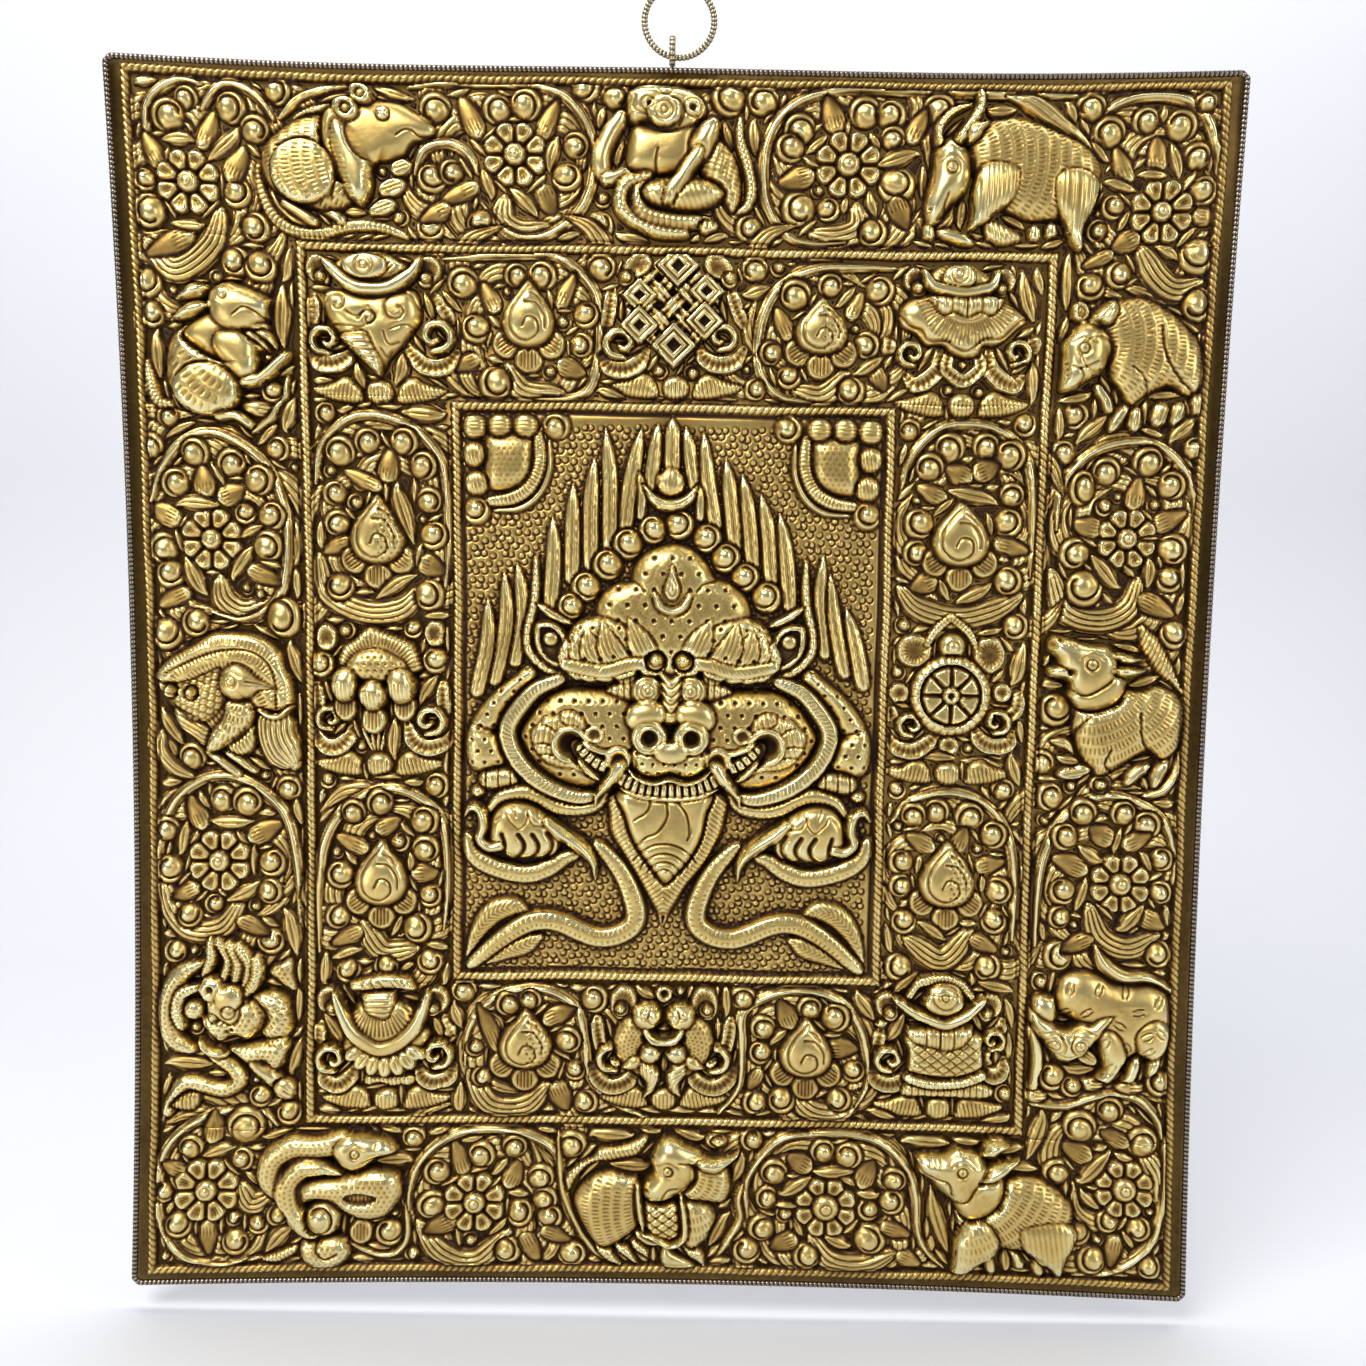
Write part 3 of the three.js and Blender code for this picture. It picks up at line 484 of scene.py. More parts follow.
# Each roundel's middle and sizes, and round that its stems, curls, buds and fluted leaves
ROSETTES = (
    ((-198, 210, 13.5, 4.6),
     [[(-16, 15), (-15, 28), (-9, 36), (0, 40), (8, 38)],
      [(7, 28), (10, 33), (17, 39), (26, 37), (33, 31), (36, 25)]],
     [(1, 33, 5.5), (-7, 26, 7.5), (19, 30, 7), (28, 22, 6.5), (20, -4, 6.5), (27, -17, 6.5),
      (-17, -12, 7.5), (-18, 0, 5), (38, 37, 6), (18, -31, 6.5), (28, -33, 7), (-19, -41, 6.5),
      (-18, -53, 6)],
     [(9, 21, 5, 8.5), (20, 8, 6.5, 8), (-14, 12, 5, 8), (-9, -25, 11, 6)],
     [[(13, -11), (8, -25), (-7, -35), (-19, -24)]]),
    ((-65, 224, 13.5, 4.7),
     [[(-43, 26), (-20, 28), (3, 28), (20, 23), (30, 10), (32, -6), (27, -21), (15, -31), (3, -33),
       (-7, -28), (-14, -19)],
      [(-41, -9), (-37, 1), (-27, 4), (-19, 0), (-15, -8)]],
     [(-32, 18, 7), (-7, 18, 6.5), (5, 20, 7), (25, 4, 6), (21, -9, 6.5), (-34, -10, 6.5),
      (-26, -7, 5.5), (-14, -28, 6.5), (34, -28, 6.5), (-35, -30, 6), (29, 27, 6.5), (41, 24, 6.5)],
     [(-18, 15, 5.5, 9.5), (14, 14, 5, 9), (-23, -16, 9, 5), (-33, -24, 7, 5), (13, -18, 6, 6.5)],
     [[(-4, -17), (-5, -26), (3, -31), (14, -29)]]),
    ((70, 222, 14, 5),
     [[(95, 28), (40, 29), (10, 30), (-10, 28), (-25, 21), (-33, 8), (-34, -10), (-30, -22),
       (-22, -30), (-12, -32), (0, -31)]],
     [(-20, 14, 7), (6, 21, 7), (17, 20, 6.5), (-24, 6, 6.5), (-20, -18, 7.5), (18, 11, 5.5), (20, -8, 8),
      (11, -27, 6.5), (-40, -26, 6), (-49, 25, 7.5), (-35, 25, 7), (36, 23, 7)],
     [(-7, 20, 6, 8), (-21, -6, 7.5, 6), (28, 16, 5, 8), (22, -19, 6, 7), (32, -26, 3.5, 6)],
     [[(4, -16), (5, -25), (-4, -29), (-14, -28)]]),
    ((198, 204, 13.5, 4.3),
     [[(-30, 29), (-26, 39), (-13, 45), (2, 45), (14, 39), (21, 24), (24, 8), (24, -4)]],
     [(-23, 32, 7), (-9, 36, 6), (6, 34, 7), (13, 22, 6), (17, 8, 6.5), (-20, 2, 5.5),
      (-26, -7, 5), (15, 43, 5), (16, -18, 8), (-27, -30, 6.5), (-16, -25, 6), (18, -37, 7.5),
      (-31, 42, 6.5)],
     [(-3, 23, 6, 7), (-17, 19, 5, 8), (19, -2, 6, 5), (-14, -12, 6, 6), (-25, -19, 7, 4)],
     [[(-8, -14), (0, -26), (8, -31), (18, -28)]]),
    ((-194, 66, 13.5, 4.5),
     [[(-28, 4), (-22, 24), (-13, 38), (-1, 44), (11, 41), (24, 31), (31, 14), (32, -6), (29, -21),
       (22, -29), (11, -33), (-1, -30)]],
     [(-6, 36, 6.5), (9, 32, 6.5), (21, 25, 7), (-15, 23, 6.5), (26, 10, 6.5), (24, -2, 7),
      (-21, -4, 7), (-18, -15, 6.5), (-25, 38, 6), (-17, 50, 5), (29, 38, 5.5), (-20, -40, 7.5),
      (-8, -35, 6.5), (30, -32, 8, 9), (20, -23, 3)],
     [(-3, 24, 6, 6.5), (9, 19, 6, 6), (-20, 10, 7.5, 6), (22, -15, 8, 5), (-17, -25, 8, 5)],
     [[(3, -16), (5, -25), (14, -30), (25, -25)]]),
    ((-193, -70, 14, 4.7),
     [[(-27, -10), (-25, 10), (-19, 25), (-9, 34), (3, 37), (15, 33), (28, 22), (33, 5),
       (35, -15), (35, -35)]],
     [(2, 27, 6.5), (12, 26, 7), (-23, 14, 6), (-22, -4, 6.5), (23, -1, 6.5), (22, -13, 6),
      (22, -35, 6.5), (-13, -24, 6), (-11, 45, 6.5), (30, 32, 6)],
     [(-10, 21, 5.5, 8), (20, 13, 8, 6), (-15, -14, 6.5, 5), (15, -29, 8, 5), (-24, 51, 6, 9)],
     [[(-25, -8), (-20, -22), (-12, -30), (1, -29), (9, -18)]]),
    ((-198, -216, 15, 5),
     [[(31, 29), (23, 36), (8, 36), (-7, 30), (-17, 20), (-21, 6), (-21, -9), (-16, -22),
       (-7, -31), (8, -34), (20, -31)]],
     [(-7, 20, 6), (17, 30, 9), (16, 14, 5.5), (-12, -16, 6.5), (13, -24, 6.5), (-19, -1, 5),
      (23, -16, 5), (30, -11, 5.5)],
     [(3, 29, 6, 7.5), (-15, 10, 6, 5), (1, -22, 5.5, 8)],
     [[(15, 2), (20, -6), (28, -3)]]),
    ((-81, -222, 14, 5),
     [[(-29, -13), (-28, 7), (-23, 20), (-12, 30), (3, 34), (21, 32), (35, 24), (38, 10),
       (41, -3), (48, -16), (58, -26)]],
     [(-27, 30, 5.5), (-17, 14, 6.5), (3, 22, 6.5), (17, 26, 6), (-19, -1, 7), (29, 12, 6.5),
      (20, -5, 6, 7), (31, 2, 6), (33, -7, 6), (15, -22, 6.5), (43, -24, 6.5), (42, 27, 7)],
     [(-7, 20, 5, 8.5), (17, 13, 6, 6.5), (-15, -11, 8, 6), (25, -21, 5.5, 8), (36, -15, 7, 5)],
     [[(-24, -10), (-14, -23), (1, -27), (15, -14)]]),
    ((72, -222, 14, 6),
     [[(-34, -6), (-35, 10), (-29, 22), (-20, 31), (-7, 34), (13, 34), (26, 29), (35, 19), (39, 7),
       (40, -8), (44, -18), (52, -26)]],
     [(-23, 16, 6.5), (-2, 26, 6), (10, 24, 6.5), (30, 14, 6), (-26, 4, 5, 6), (-18, -4, 4),
      (-28, -10, 6.5), (-34, -21, 6.5), (-8, -23, 6.5), (20, -14, 7.5), (29, 3, 6), (-33, 30, 5.5)],
     [(-12, 20, 6, 6), (18, 16, 6, 7), (-18, -17, 6.5, 6), (31, -10, 7, 5), (37, -23, 6, 5)],
     [[(-6, -14), (2, -24), (16, -26), (30, -20)]]),
    ((202, -209, 13.5, 5.5),
     [[(17, 24), (18, 4), (15, -16), (8, -29), (-7, -38), (-22, -40)],
      [(-42, 37), (-27, 37), (-12, 42), (3, 42), (13, 33), (16, 23)]],
     [(-20, 28, 8), (7, 22, 7.5), (-30, 7, 6.5), (-20, -21, 6), (-7, -15, 5.5), (7, -18, 6),
      (-14, -33, 7), (12, -35, 6), (-7, 36, 6.5)],
     [(-5, 23, 7, 5), (-21, 16, 7, 6), (-4, -29, 5, 8)],
     [[(8, 17), (14, 7), (15, -5)]]),
    ((192, 72, 13, 4.5),
     [[(-30, 3), (-29, 20), (-20, 33), (-7, 39), (8, 39), (20, 31), (27, 18), (29, 3)]],
     [(-10, 28, 6.5), (7, 32, 7), (18, 22, 6.5), (-20, 21, 6, 8), (-22, -6, 7), (20, -4, 7), (19, -17, 6),
      (-17, -21, 8.5), (27, 37, 5.5), (-29, 35, 6), (22, -40, 6.5)],
     [(3, 19, 5.5, 7), (-17, 5, 6, 6), (18, 8, 8, 5.5), (14, -28, 9, 6)],
     [[(6, -17), (2, -29), (-10, -34), (-24, -30), (-31, -14)]]),
    ((196, -74, 13.5, 5),
     [[(-36, -36), (-36, -6), (-33, 14), (-24, 30), (-10, 38), (4, 36), (17, 28), (23, 12), (22, -6)]],
     [(-17, 31, 6.5), (0, 31, 6), (11, 26, 6.5), (-25, 20, 6.5), (18, 11, 5.5), (-25, -4, 6.5),
      (-26, -15, 5.5), (18, -3, 5.5), (-26, -32, 7), (18, -30, 6.5), (-10, 43, 5), (-32, 37, 6.5),
      (-36, 52, 6)],
     [(-9, 21, 6, 6), (7, 19, 7, 5), (-22, 8, 8, 6), (15, -16, 6, 6), (-18, -27, 8, 5)],
     [[(-13, -10), (-8, -23), (4, -28), (17, -22)]]),
)

JEWELS = (
    ((-60, 160, 9.5, 13, False),
     [[(-35, 22), (-10, 24), (10, 24), (20, 18), (28, 8), (30, -10), (28, -22), (24, -31),
       (15, -34), (2, -34)]],
     [(-27, 13, 7), (-5, 16, 5.5), (6, 16, 6.5), (-22, -6, 6.5), (24, 0, 6), (22, -12, 5.5),
      (-14, -28, 7.5), (30, 20, 6.5)],
     [(-16, 7, 5, 7), (16, 10, 4.5, 8.5), (-26, -20, 6, 5), (18, -22, 6.5, 5.5)],
     [[(-9, -21), (-2, -31), (15, -33)]]),
    ((61, 157, 9.5, 11, True),
     [[(31, 24), (9, 24), (-6, 22), (-19, 14), (-25, 1), (-26, -12), (-24, -21), (-16, -29), (-3, -31)]],
     [(-11, 13, 7), (3, 17, 5.5), (24, 15, 6.5), (19, -7, 6), (-21, -11, 5.5), (-13, -21, 5.5),
      (-27, -26, 5), (13, -26, 6.5), (-28, 23, 6)],
     [(-16, 1, 5, 7.5), (14, 9, 4.5, 6.5), (25, -21, 5, 5.5)],
     [[(-11, -26), (1, -28), (11, -19)]]),
    ((-124, 71, 10, 13.5, True),
     [[(-26, 19), (-23, 34), (-11, 46), (4, 47), (19, 40), (28, 27), (30, 9), (30, -11),
       (28, -26)]],
     [(-15, 33, 7), (-4, 37, 6), (12, 37, 6.5), (-18, 15, 5.5), (-17, 3, 6),
      (-16, -24, 6.5), (20, 27, 6.5), (22, 13, 6), (24, -2, 6.5), (22, -27, 7)],
     [(5, 27, 6, 7), (-6, 21, 9, 4.5), (-17, -7, 7, 5), (23, -15, 6, 6)],
     [[(-25, -11), (-21, -26), (-6, -34), (9, -33), (19, -24)]]),
    ((-123, -75, 10, 13.5, False),
     [[(-27, -35), (-27, -5), (-24, 15), (-14, 30), (3, 37), (18, 32), (27, 20), (29, -5),
       (27, -25)]],
     [(-12, 27, 6), (-1, 31, 6.5), (19, 23, 7), (-18, -1, 6.5), (-19, -19, 6),
      (19, 11, 6.5), (21, -10, 5.5), (16, -24, 7), (21, -39, 6), (-14, -43, 6), (2, -41, 6)],
     [(3, 21, 6, 5), (-13, 13, 8, 5), (19, 0, 6, 5.5), (-15, -28, 8, 5)],
     [[(-8, -22), (1, -34), (15, -33)]]),
    ((122, 73, 10.5, 13, False),
     [[(-26, 17), (-22, 32), (-10, 44), (8, 45), (23, 37), (29, 22), (30, 2), (30, -18)]],
     [(-6, 36, 7), (9, 37, 6), (20, 33, 7), (21, 17, 5.5), (20, 5, 6.5), (21, -19, 6.5),
      (-14, 28, 6.5), (-18, 4, 7), (-19, -8, 6), (25, -38, 6), (-23, 43, 5)],
     [(-2, 25, 6, 6), (10, 27, 6, 6), (22, -5, 8, 5), (-13, 17, 7, 5), (-15, -21, 6, 6)],
     [[(-25, -23), (-17, -31), (0, -35), (16, -31), (26, -25)]]),
    ((121, -72, 10.5, 13.5, True),
     [[(-25, 22), (-16, 32), (1, 36), (17, 30), (26, 17), (29, -3), (29, -28)]],
     [(-5, 28, 6), (9, 26, 7), (20, 18, 6.5), (23, -6, 6.5), (21, -20, 6), (19, -40, 6.5),
      (-15, 26, 6), (-20, 5, 6), (-20, -5, 5.5), (-18, -21, 6), (-20, -41, 6.5), (23, 38, 5.5)],
     [(6, 16, 5, 6), (19, 5, 7, 5), (-12, 14, 7, 5), (17, -30, 7, 5)],
     [[(-17, -28), (-1, -37), (11, -24)]]),
    ((-60, -148, 10, 12.5, True),
     [[(-26, -12), (-25, 3), (-18, 15), (-5, 22), (10, 22), (22, 14), (26, -2), (28, -15),
       (36, -26), (55, -36)]],
     [(-27, 22, 6), (-8, 16, 6), (2, 18, 5.5), (19, 0, 6.5), (22, -14, 5), (-22, -4, 4.5),
      (-19, -17, 5), (27, -28, 6), (30, 18, 6.5)],
     [(-16, 5, 5, 12), (15, 11, 8, 5.5), (16, -26, 6.5, 7)],
     [[(-24, -15), (-15, -29), (0, -30), (10, -21)]]),
    ((62, -150, 10, 12.5, False),
     [[(-38, -31), (-29, -18), (-28, 0), (-28, 15), (-17, 23), (-2, 26), (13, 22), (22, 12),
       (26, 0), (27, -15), (22, -26)]],
     [(-19, 9, 6), (1, 18, 6), (13, 14, 7), (-20, -3, 5.5), (21, -10, 5.5), (15, -23, 6),
      (-22, -25, 6), (-10, -24, 6.5), (-28, 22, 6)],
     [(-9, 15, 6, 7), (16, 0, 7, 6), (-22, -15, 4.5, 5.5)],
     [[(-6, -20), (3, -28), (14, -29), (22, -22)]]),
)


def roundels(s):
    for (x, z, r, boss), *ornament in ROSETTES:
        sprays(s.around(x, z), *ornament)
        rosette(s, x, z, r, boss)
    for (x, z, rx, rz, dotted), *ornament in JEWELS:
        sprays(s.around(x, z), *ornament)
        jewel(s, x, z, rx, rz, dotted)


# The eight emblems of the inner band

def leaf(s, line, width, up, ribs, over=False, rib_cut=0.7):
    """A leaf that is full near its base and ends in a point."""
    return s.stroke(line, width, up, ribs=ribs, over=over, swell=(0.45, 0.95, 1, 0.8, 0.45, 0.06),
        rib_cut=rib_cut)


def band(s, line, width, up, pitch=1.6, over=False, tip=0.6):
    """A flat band with cuts across it."""
    form = s.stroke(line, width, up, tip=tip, over=over, power=5)
    s.hatch(form, pitch, 0, 0.7, 0.5)


def dish(s, x, z, rx, rz, up, turn=0):
    """A shallow oval dish with a raised rim."""
    form = s.oval(x, z, rx, rz, up, turn, power=4)
    q = np.hypot(form.u / rx, form.v / rz)
    bowl = np.clip(1 - (q / 0.72) ** 2, 0, 1) ** 0.7
    s.h[form.window] -= 0.5 * up * bowl
    rays = grooves(np.arctan2(form.v, form.u) * 9 / math.pi, 1, 0.5)
    s.h[form.window] -= 0.5 * rays * (q > 0.35) * (q < 0.78)


def seat(s, x, z):
    """The hatched bead and two broad petals that an emblem stands on."""
    for side in (-1, 1):
        wing = s.blob([(x + u * side, z + v) for u, v in ((7.5, -4.5), (7.5, 1.5), (10.5, 5.5), (15, 6.6),
            (19, 4.2), (28, 1.5), (26, -1.5), (17, -4.5))], 4.2, 3.4)
        s.hatch(wing, 1.7, 12 * side, 0.6, 0.5, np.clip((2.2 - wing.v) * 2, 0, 1))
    bead = s.oval(x, z, 6, 5.6, 4.8, power=3)
    s.hatch(bead, 1.7, 0, 0.6, 0.5, np.clip((2.4 - bead.v) * 2, 0, 1))


def gutter(s, line, width, up, swell=None):
    """A broad ribbon, hollow along its middle."""
    form = s.stroke(line, width, up, tip=0.6, power=5, swell=swell)
    across = form.v / (width / 2)
    s.h[form.window] -= 1.9 * np.clip(1 - (across / 0.75) ** 2, 0, 1) * form.cover
    s.h[form.window] -= 0.45 * grooves(form.u, 2.2, 0.5) * (np.abs(across) < 0.7) * form.cover


def falls(s, x, z, side, upper, boat, r=5.6):
    """One end of the scarf: hollow folds, a loop at (x, z) and a hollow boat, from there."""
    for line in upper:
        gutter(s, [(x + u * side, z + v) for u, v in line], 6.2, 4.8)
    gutter(s, [(x + u * side, z + v) for u, v in boat], 8, 5.0, swell=(0.45, 0.9, 1, 1, 0.9, 0.4))
    hook = ((-0.3, -0.85), (0.65, -0.6), (0.95, 0.15), (0.45, 0.85), (-0.4, 0.8), (-0.7, 0.1),
        (-0.3, -0.3), (0.1, -0.05))
    s.stroke([(x + u * r * side, z + v * r) for u, v in hook], 0.62 * r, 6.4, tip=0.6, power=2.5)


def scarf(s, line, width=5.6, r=5.6):
    """A smooth sagging band with a hollow loop at each end."""
    for (x, z), side in ((line[0], -1), (line[-1], 1)):
        dish(s, x + 3.4 * side, z - 3.4, r, 1.08 * r, 5.4)
        curl(s, x + 1.6 * side, z - 7.4, 3.6, 90, side, up=5.6)
    s.stroke(line, width, 9.4, over=True, tip=0.5, power=3.5)


def fringe(s, x, z, r, low, high, reach, step=7):
    """Short cuts that radiate from a circle round (x, z), between two angles."""
    for way in range(low, high + 1, step):
        a = math.radians(way)
        c, d = math.cos(a), math.sin(a)
        s.cut([(x + r * c, z + r * d), (x + (r + reach) * c, z + (r + reach) * d)], 0.75, 0.9)


def conch(s):
    seat(s, -2, -22)
    falls(s, -24, -2, -1, (((5, 18), (4.5, 12), (5.5, 7)),), ((6, -4), (3, -8.5), (-3, -9), (-8, -7),
        (-11, -3)))
    falls(s, 22, 0, 1, (((-1, 17), (3, 12), (6, 7)),), ((8, -6), (4, -11), (-3, -12), (-9, -8),
        (-13, -2)), 6.4)
    s.blob([(-24, 18), (-24, 10), (-21, 4), (-17, -1), (-12, -7), (-7, -12), (-2, -16), (1, -13), (3, -9),
        (8, -4), (12, 1), (16, 7), (16, 14), (13, 20), (5, 20), (-5, 18), (-16, 20)], 8.2, 7)
    cone = s.blob([(-18, 0), (-11, 2), (-6, 2), (-3, -4), (0, -10), (-1, -16), (-6, -12), (-11, -7)], 9.2,
        3, over=True)
    s.hatch(cone, 2.9, 90, 1.1, 0.35)
    for x, z, r, hand in ((-18, 13, 5, -1), (7, 11, 8.5, 1), (-5, 7, 4, -1)):
        spiral = [((1 - 0.11 * k) * r, 0.95 * k) for k in range(9)]
        s.cut([(x + away * hand * math.cos(a), z + away * math.sin(a)) for away, a in spiral], 0.8, 1.0)
    for line in ([(-20, 5), (-13, 4), (-7, 4), (-2, 8), (-5, 12)], [(-14, 10), (-10, 8), (-7, 10)],
            [(1, 2), (3, -3), (7, -2)], [(0, -5), (2, -8), (4, -6)], [(4, 3), (10, 5), (14, 3)]):
        s.cut(line, 0.8, 0.9)
    s.blob([(-22, 27), (-16, 32), (-7, 35), (3, 34), (11, 29), (8, 23), (-7, 20), (-17, 22)], 8.0, 4,
        over=True)
    fringe(s, -6, 18, 12.4, 35, 150, 3)
    s.oval(-6, 28, 9, 5, 10, floor=7, over=True)
    for r in (1.6, 3.6):
        s.ring(-6, 28, r, 0.7, 0.9)
    scarf(s, [(-23, 31), (-19, 26), (-13, 21), (-6, 19), (4, 20), (12, 25), (16, 31)])


def knot(s):
    """Double bands on the diagonal, woven over and under, with six square loops."""
    seat(s, 1, -29)
    falls(s, -22, -12, -1, (((3.5, 22), (4.5, 14), (6, 7)),), ((8, -4), (4.5, -9), (-2, -10), (-8, -7),
        (-11, -2)), 6.2)
    falls(s, 20, -9, 1, (((3.5, 19), (6, 12), (8.5, 6)),), ((9, -4), (5.5, -9), (-1, -10.5), (-7, -8),
        (-10, -2)), 5.4)
    mid_x, mid_z = -0.5, 4
    place, gx, gz = s.window(-30, 30, -26, 30)
    u = (gx - mid_x + gz - mid_z) / math.sqrt(2)
    v = (gz - mid_z - gx + mid_x) / math.sqrt(2)
    size, pitch, wide = 17.5, 8.0, 2.9
    over_u = np.abs((u / pitch + 0.5) % 1 - 0.5) * pitch
    over_v = np.abs((v / pitch + 0.5) % 1 - 0.5) * pitch
    in_box = (np.abs(u) < size) & (np.abs(v) < size) & (np.abs(u) + np.abs(v) < 2 * size - 8)
    cell = np.sign(np.cos(np.pi * np.round(u / pitch)) * np.cos(np.pi * np.round(v / pitch)))
    band_u = np.clip((wide - over_v) * 1.5, 0, 1)
    band_v = np.clip((wide - over_u) * 1.5, 0, 1)
    cross = band_u * band_v
    up_u = band_u * (5.2 + 1.1 * cell * cross - 1.2 * np.exp(-(over_v / 0.6) ** 2))
    up_v = band_v * (5.2 - 1.1 * cell * cross - 1.2 * np.exp(-(over_u / 0.6) ** 2))
    moat_u = np.exp(-((over_v - wide - 0.3) / 0.35) ** 2) * (cell > 0)
    moat_v = np.exp(-((over_u - wide - 0.3) / 0.35) ** 2) * (cell < 0)
    height = np.maximum(up_u, up_v) - 1.6 * np.maximum(moat_u * band_v, moat_v * band_u)
    s.h[place] = np.where(in_box, np.maximum(height, 0), s.h[place])
    for x, z, half in ((1.5, 20, 6.6), (-14.2, 8, 5.6), (13.4, 10, 5.6), (-14.2, -4, 6), (12.6, -2, 6),
            (0, -12, 7)):
        reach = 1.5 * half
        place, gx, gz = s.window(x - reach, x + reach, z - reach, z + reach)
        away = np.maximum(np.abs(gx - x + gz - z), np.abs(gz - z - gx + x)) / math.sqrt(2)
        frame_height = 6.6 - 1.4 * np.exp(-((away - 0.62 * half) / 0.5) ** 2)
        frame_height -= 3.0 * np.clip((0.34 * half - away) * 1.6, 0, 1)
        s.lay(place, half - away, frame_height * np.clip((half - away) * 1.6, 0, 1))
    for x, side in ((-15, -1), (18, 1)):
        dish(s, x, 20, 7, 5.2, 6, -28 * side)
        curl(s, x + 4.5 * side, 15, 3.8, 90, side, up=5.6)


def parasol(s):
    seat(s, 0, -24)
    falls(s, -22, -4, -1, (((8.5, 7), (9.5, 0)),), ((-12, 2), (-11.5, -5), (-7, -10), (-2, -11.5),
        (1.5, -8)), 5)
    falls(s, 22, -3, 1, (((6, 7), (8, 2)),), ((-11.5, 1), (-10.5, -6), (-5.5, -11), (0, -12.5), (3, -9)), 5)
    gutter(s, [(-6, -3), (-7, -9), (-4, -12), (0, -14), (4, -12), (7, -8), (6, -3)], 6, 5)
    s.blob([(-28, 12), (-26, 17), (-21, 20), (-13, 22), (0, 21), (12, 22), (19, 17), (26, 11), (22, 7),
        (18, 3), (13, 0), (8, 0), (6, -4), (0, -5), (-6, -3), (-9, 0), (-16, 0), (-20, 4), (-26, 7)], 8.0,
        7)
    fringe(s, 0, 21, 12.5, 192, 348, 8, 5)
    s.cut([(-27, 12), (-23, 8), (-18, 6), (-15, 2), (-8, 2), (-5, 0), (0, -2), (4, 0), (8, 3), (14, 3),
        (18, 6), (22, 10), (25, 11)], 0.9, 1.2)
    pleats = s.blob([(-14, 20), (-14, 16), (-10, 12), (-5, 13), (0, 11), (5, 13), (10, 12), (14, 16),
        (13, 20)], 9.6, 2.4, over=True)
    s.hatch(pleats, 1.8, 0, 0.45)
    s.hatch(pleats, 6.2, 0, 1.1, 0.2)
    s.blob([(-17, 26), (-12, 32), (-2, 34), (6, 31), (11, 26), (4, 20), (-10, 20)], 8.0, 4, over=True)
    fringe(s, -2, 20, 11, 40, 145, 3)
    s.oval(-4, 27, 6.5, 5, 10, floor=7, over=True)
    for r in (1.5, 3.4):
        s.ring(-4, 28, r, 0.7, 0.9)
    scarf(s, [(-18, 30), (-15, 24), (-9, 22), (-2, 21), (5, 22), (10, 24), (12, 30)], 4.6, 5)


def lotus(s):
    seat(s, -4, -28)
    falls(s, -25, -8.5, -1, (((6, 14), (4.5, 8), (6.5, 2)),), ((6, -6), (2.5, -11), (-3, -12), (-8, -8),
        (-9, -4)), 5)
    falls(s, 18, -9.5, 1, (((5.5, 16), (5.5, 9), (6.5, 3)),), ((9, -5), (6, -9), (-1, -11), (-7, -8),
        (-10, -1)), 6)
    for x, z, side in ((-26, 26, -1), (20, 28, 1)):
        dish(s, x, z, 4.8, 6.2, 5)
        curl(s, x + (2.5 if side < 0 else 0) * side, z - 11.5, 6, 90, side, up=5.6)
    for u in (-4.5, -1.5, 1.5, 4.5):
        s.stroke([(-6 + 1.3 * u, -10), (-5 + 0.4 * u, -22)], 2.2, 3.4)
    for x in (-18, 7):
        petal(s, x, -3, 6.8, 5.4, 90, 5)
    petal(s, -6, -8.5, 6.6, 5.8, 90, 6)
    s.blob([(-20, 13), (-20, 22), (-14, 26), (-10, 30), (-6, 31), (0, 29), (5, 27), (11, 24), (14, 18),
        (14, 12), (-4, 8)], 6.4, 3)
    fringe(s, -4, 10, 13.5, 15, 165, 6, 6)
    dome = s.blob([(-17, 11), (-16, 17), (-10, 21), (-4, 22), (2, 20), (8, 16), (8, 11), (-4, 6)], 8.8, 6,
        over=True)
    s.dots(dome, 3.0, 0.65, 0.9)
    for x, z, rx, rz in ((-18, 6.5, 6.2, 7.6), (6, 6, 6.6, 7.8), (-6, 2.2, 6.8, 6.8)):
        form = s.oval(x, z, rx, rz, 10.4, power=3, over=True)
        s.hatch(form, 1.7, 0, 0.55, 0.5, np.clip((1.5 - form.v) * 2, 0, 1))


def wheel(s):
    seat(s, 0, -28)
    falls(s, -17, -8, -1, (((9.5, 8), (6.5, 2)),), ((9, -5), (5, -9.5), (-2, -10.5), (-8, -7), (-12, -3)), 5)
    falls(s, 20, -6, 1, (((9.5, 12), (8.5, 6), (4, 2)),), ((-9.5, -2), (-6, -8), (0, -10), (6, -8),
        (7, -4)), 5)
    for x, z, rx, rz in ((-16, 24, 8.2, 7.6), (16, 23, 7.4, 8.6), (-22, 6, 4.6, 4.8), (22, 7, 4.2, 4.4),
            (0, -16, 4.6, 4.2)):
        dish(s, x, z, rx, rz, 5)
    band(s, [(-11, 26), (-8, 32), (-3, 37), (-1, 38), (1, 37), (7, 32), (10, 26)], 4, 4.5)
    s.oval(0, 26, 6.2, 6.4, 6.5)
    s.ring(0, 26, 2.4, 0.7, 0.9)
    disc = s.oval(0, 5.4, 17.6, 17.6, 5.6, power=10)
    away = np.hypot(disc.u, disc.v)
    angle = np.arctan2(disc.v, disc.u)
    notches = grooves(angle * 30 / (2 * np.pi) + away * 0.05, 1, 0.45)
    s.h[disc.window] -= 0.8 * notches * (away > 14.2) * disc.cover
    part = np.abs((angle * 8 / (2 * np.pi)) % 1 - 0.5)
    gap = (0.5 - part) * 2 * np.pi * np.maximum(away, 0.1) / 8
    petalled = np.clip(gap / 1.4, 0, 1) * np.clip((12.6 - away) / 1.6, 0, 1)
    petalled *= np.clip((away - 3.6) / 0.8, 0, 1)
    veins = 0.5 * grooves(part * 8, 1, 0.5) * petalled
    s.h[disc.window] = np.where(away < 13.3, 1.2 + 4.2 * np.sqrt(petalled) - veins, s.h[disc.window])
    s.oval(0, 5.4, 3.9, 3.9, 7.2, floor=3)
    s.pit(0, 5.4, 1.6, 3.0)


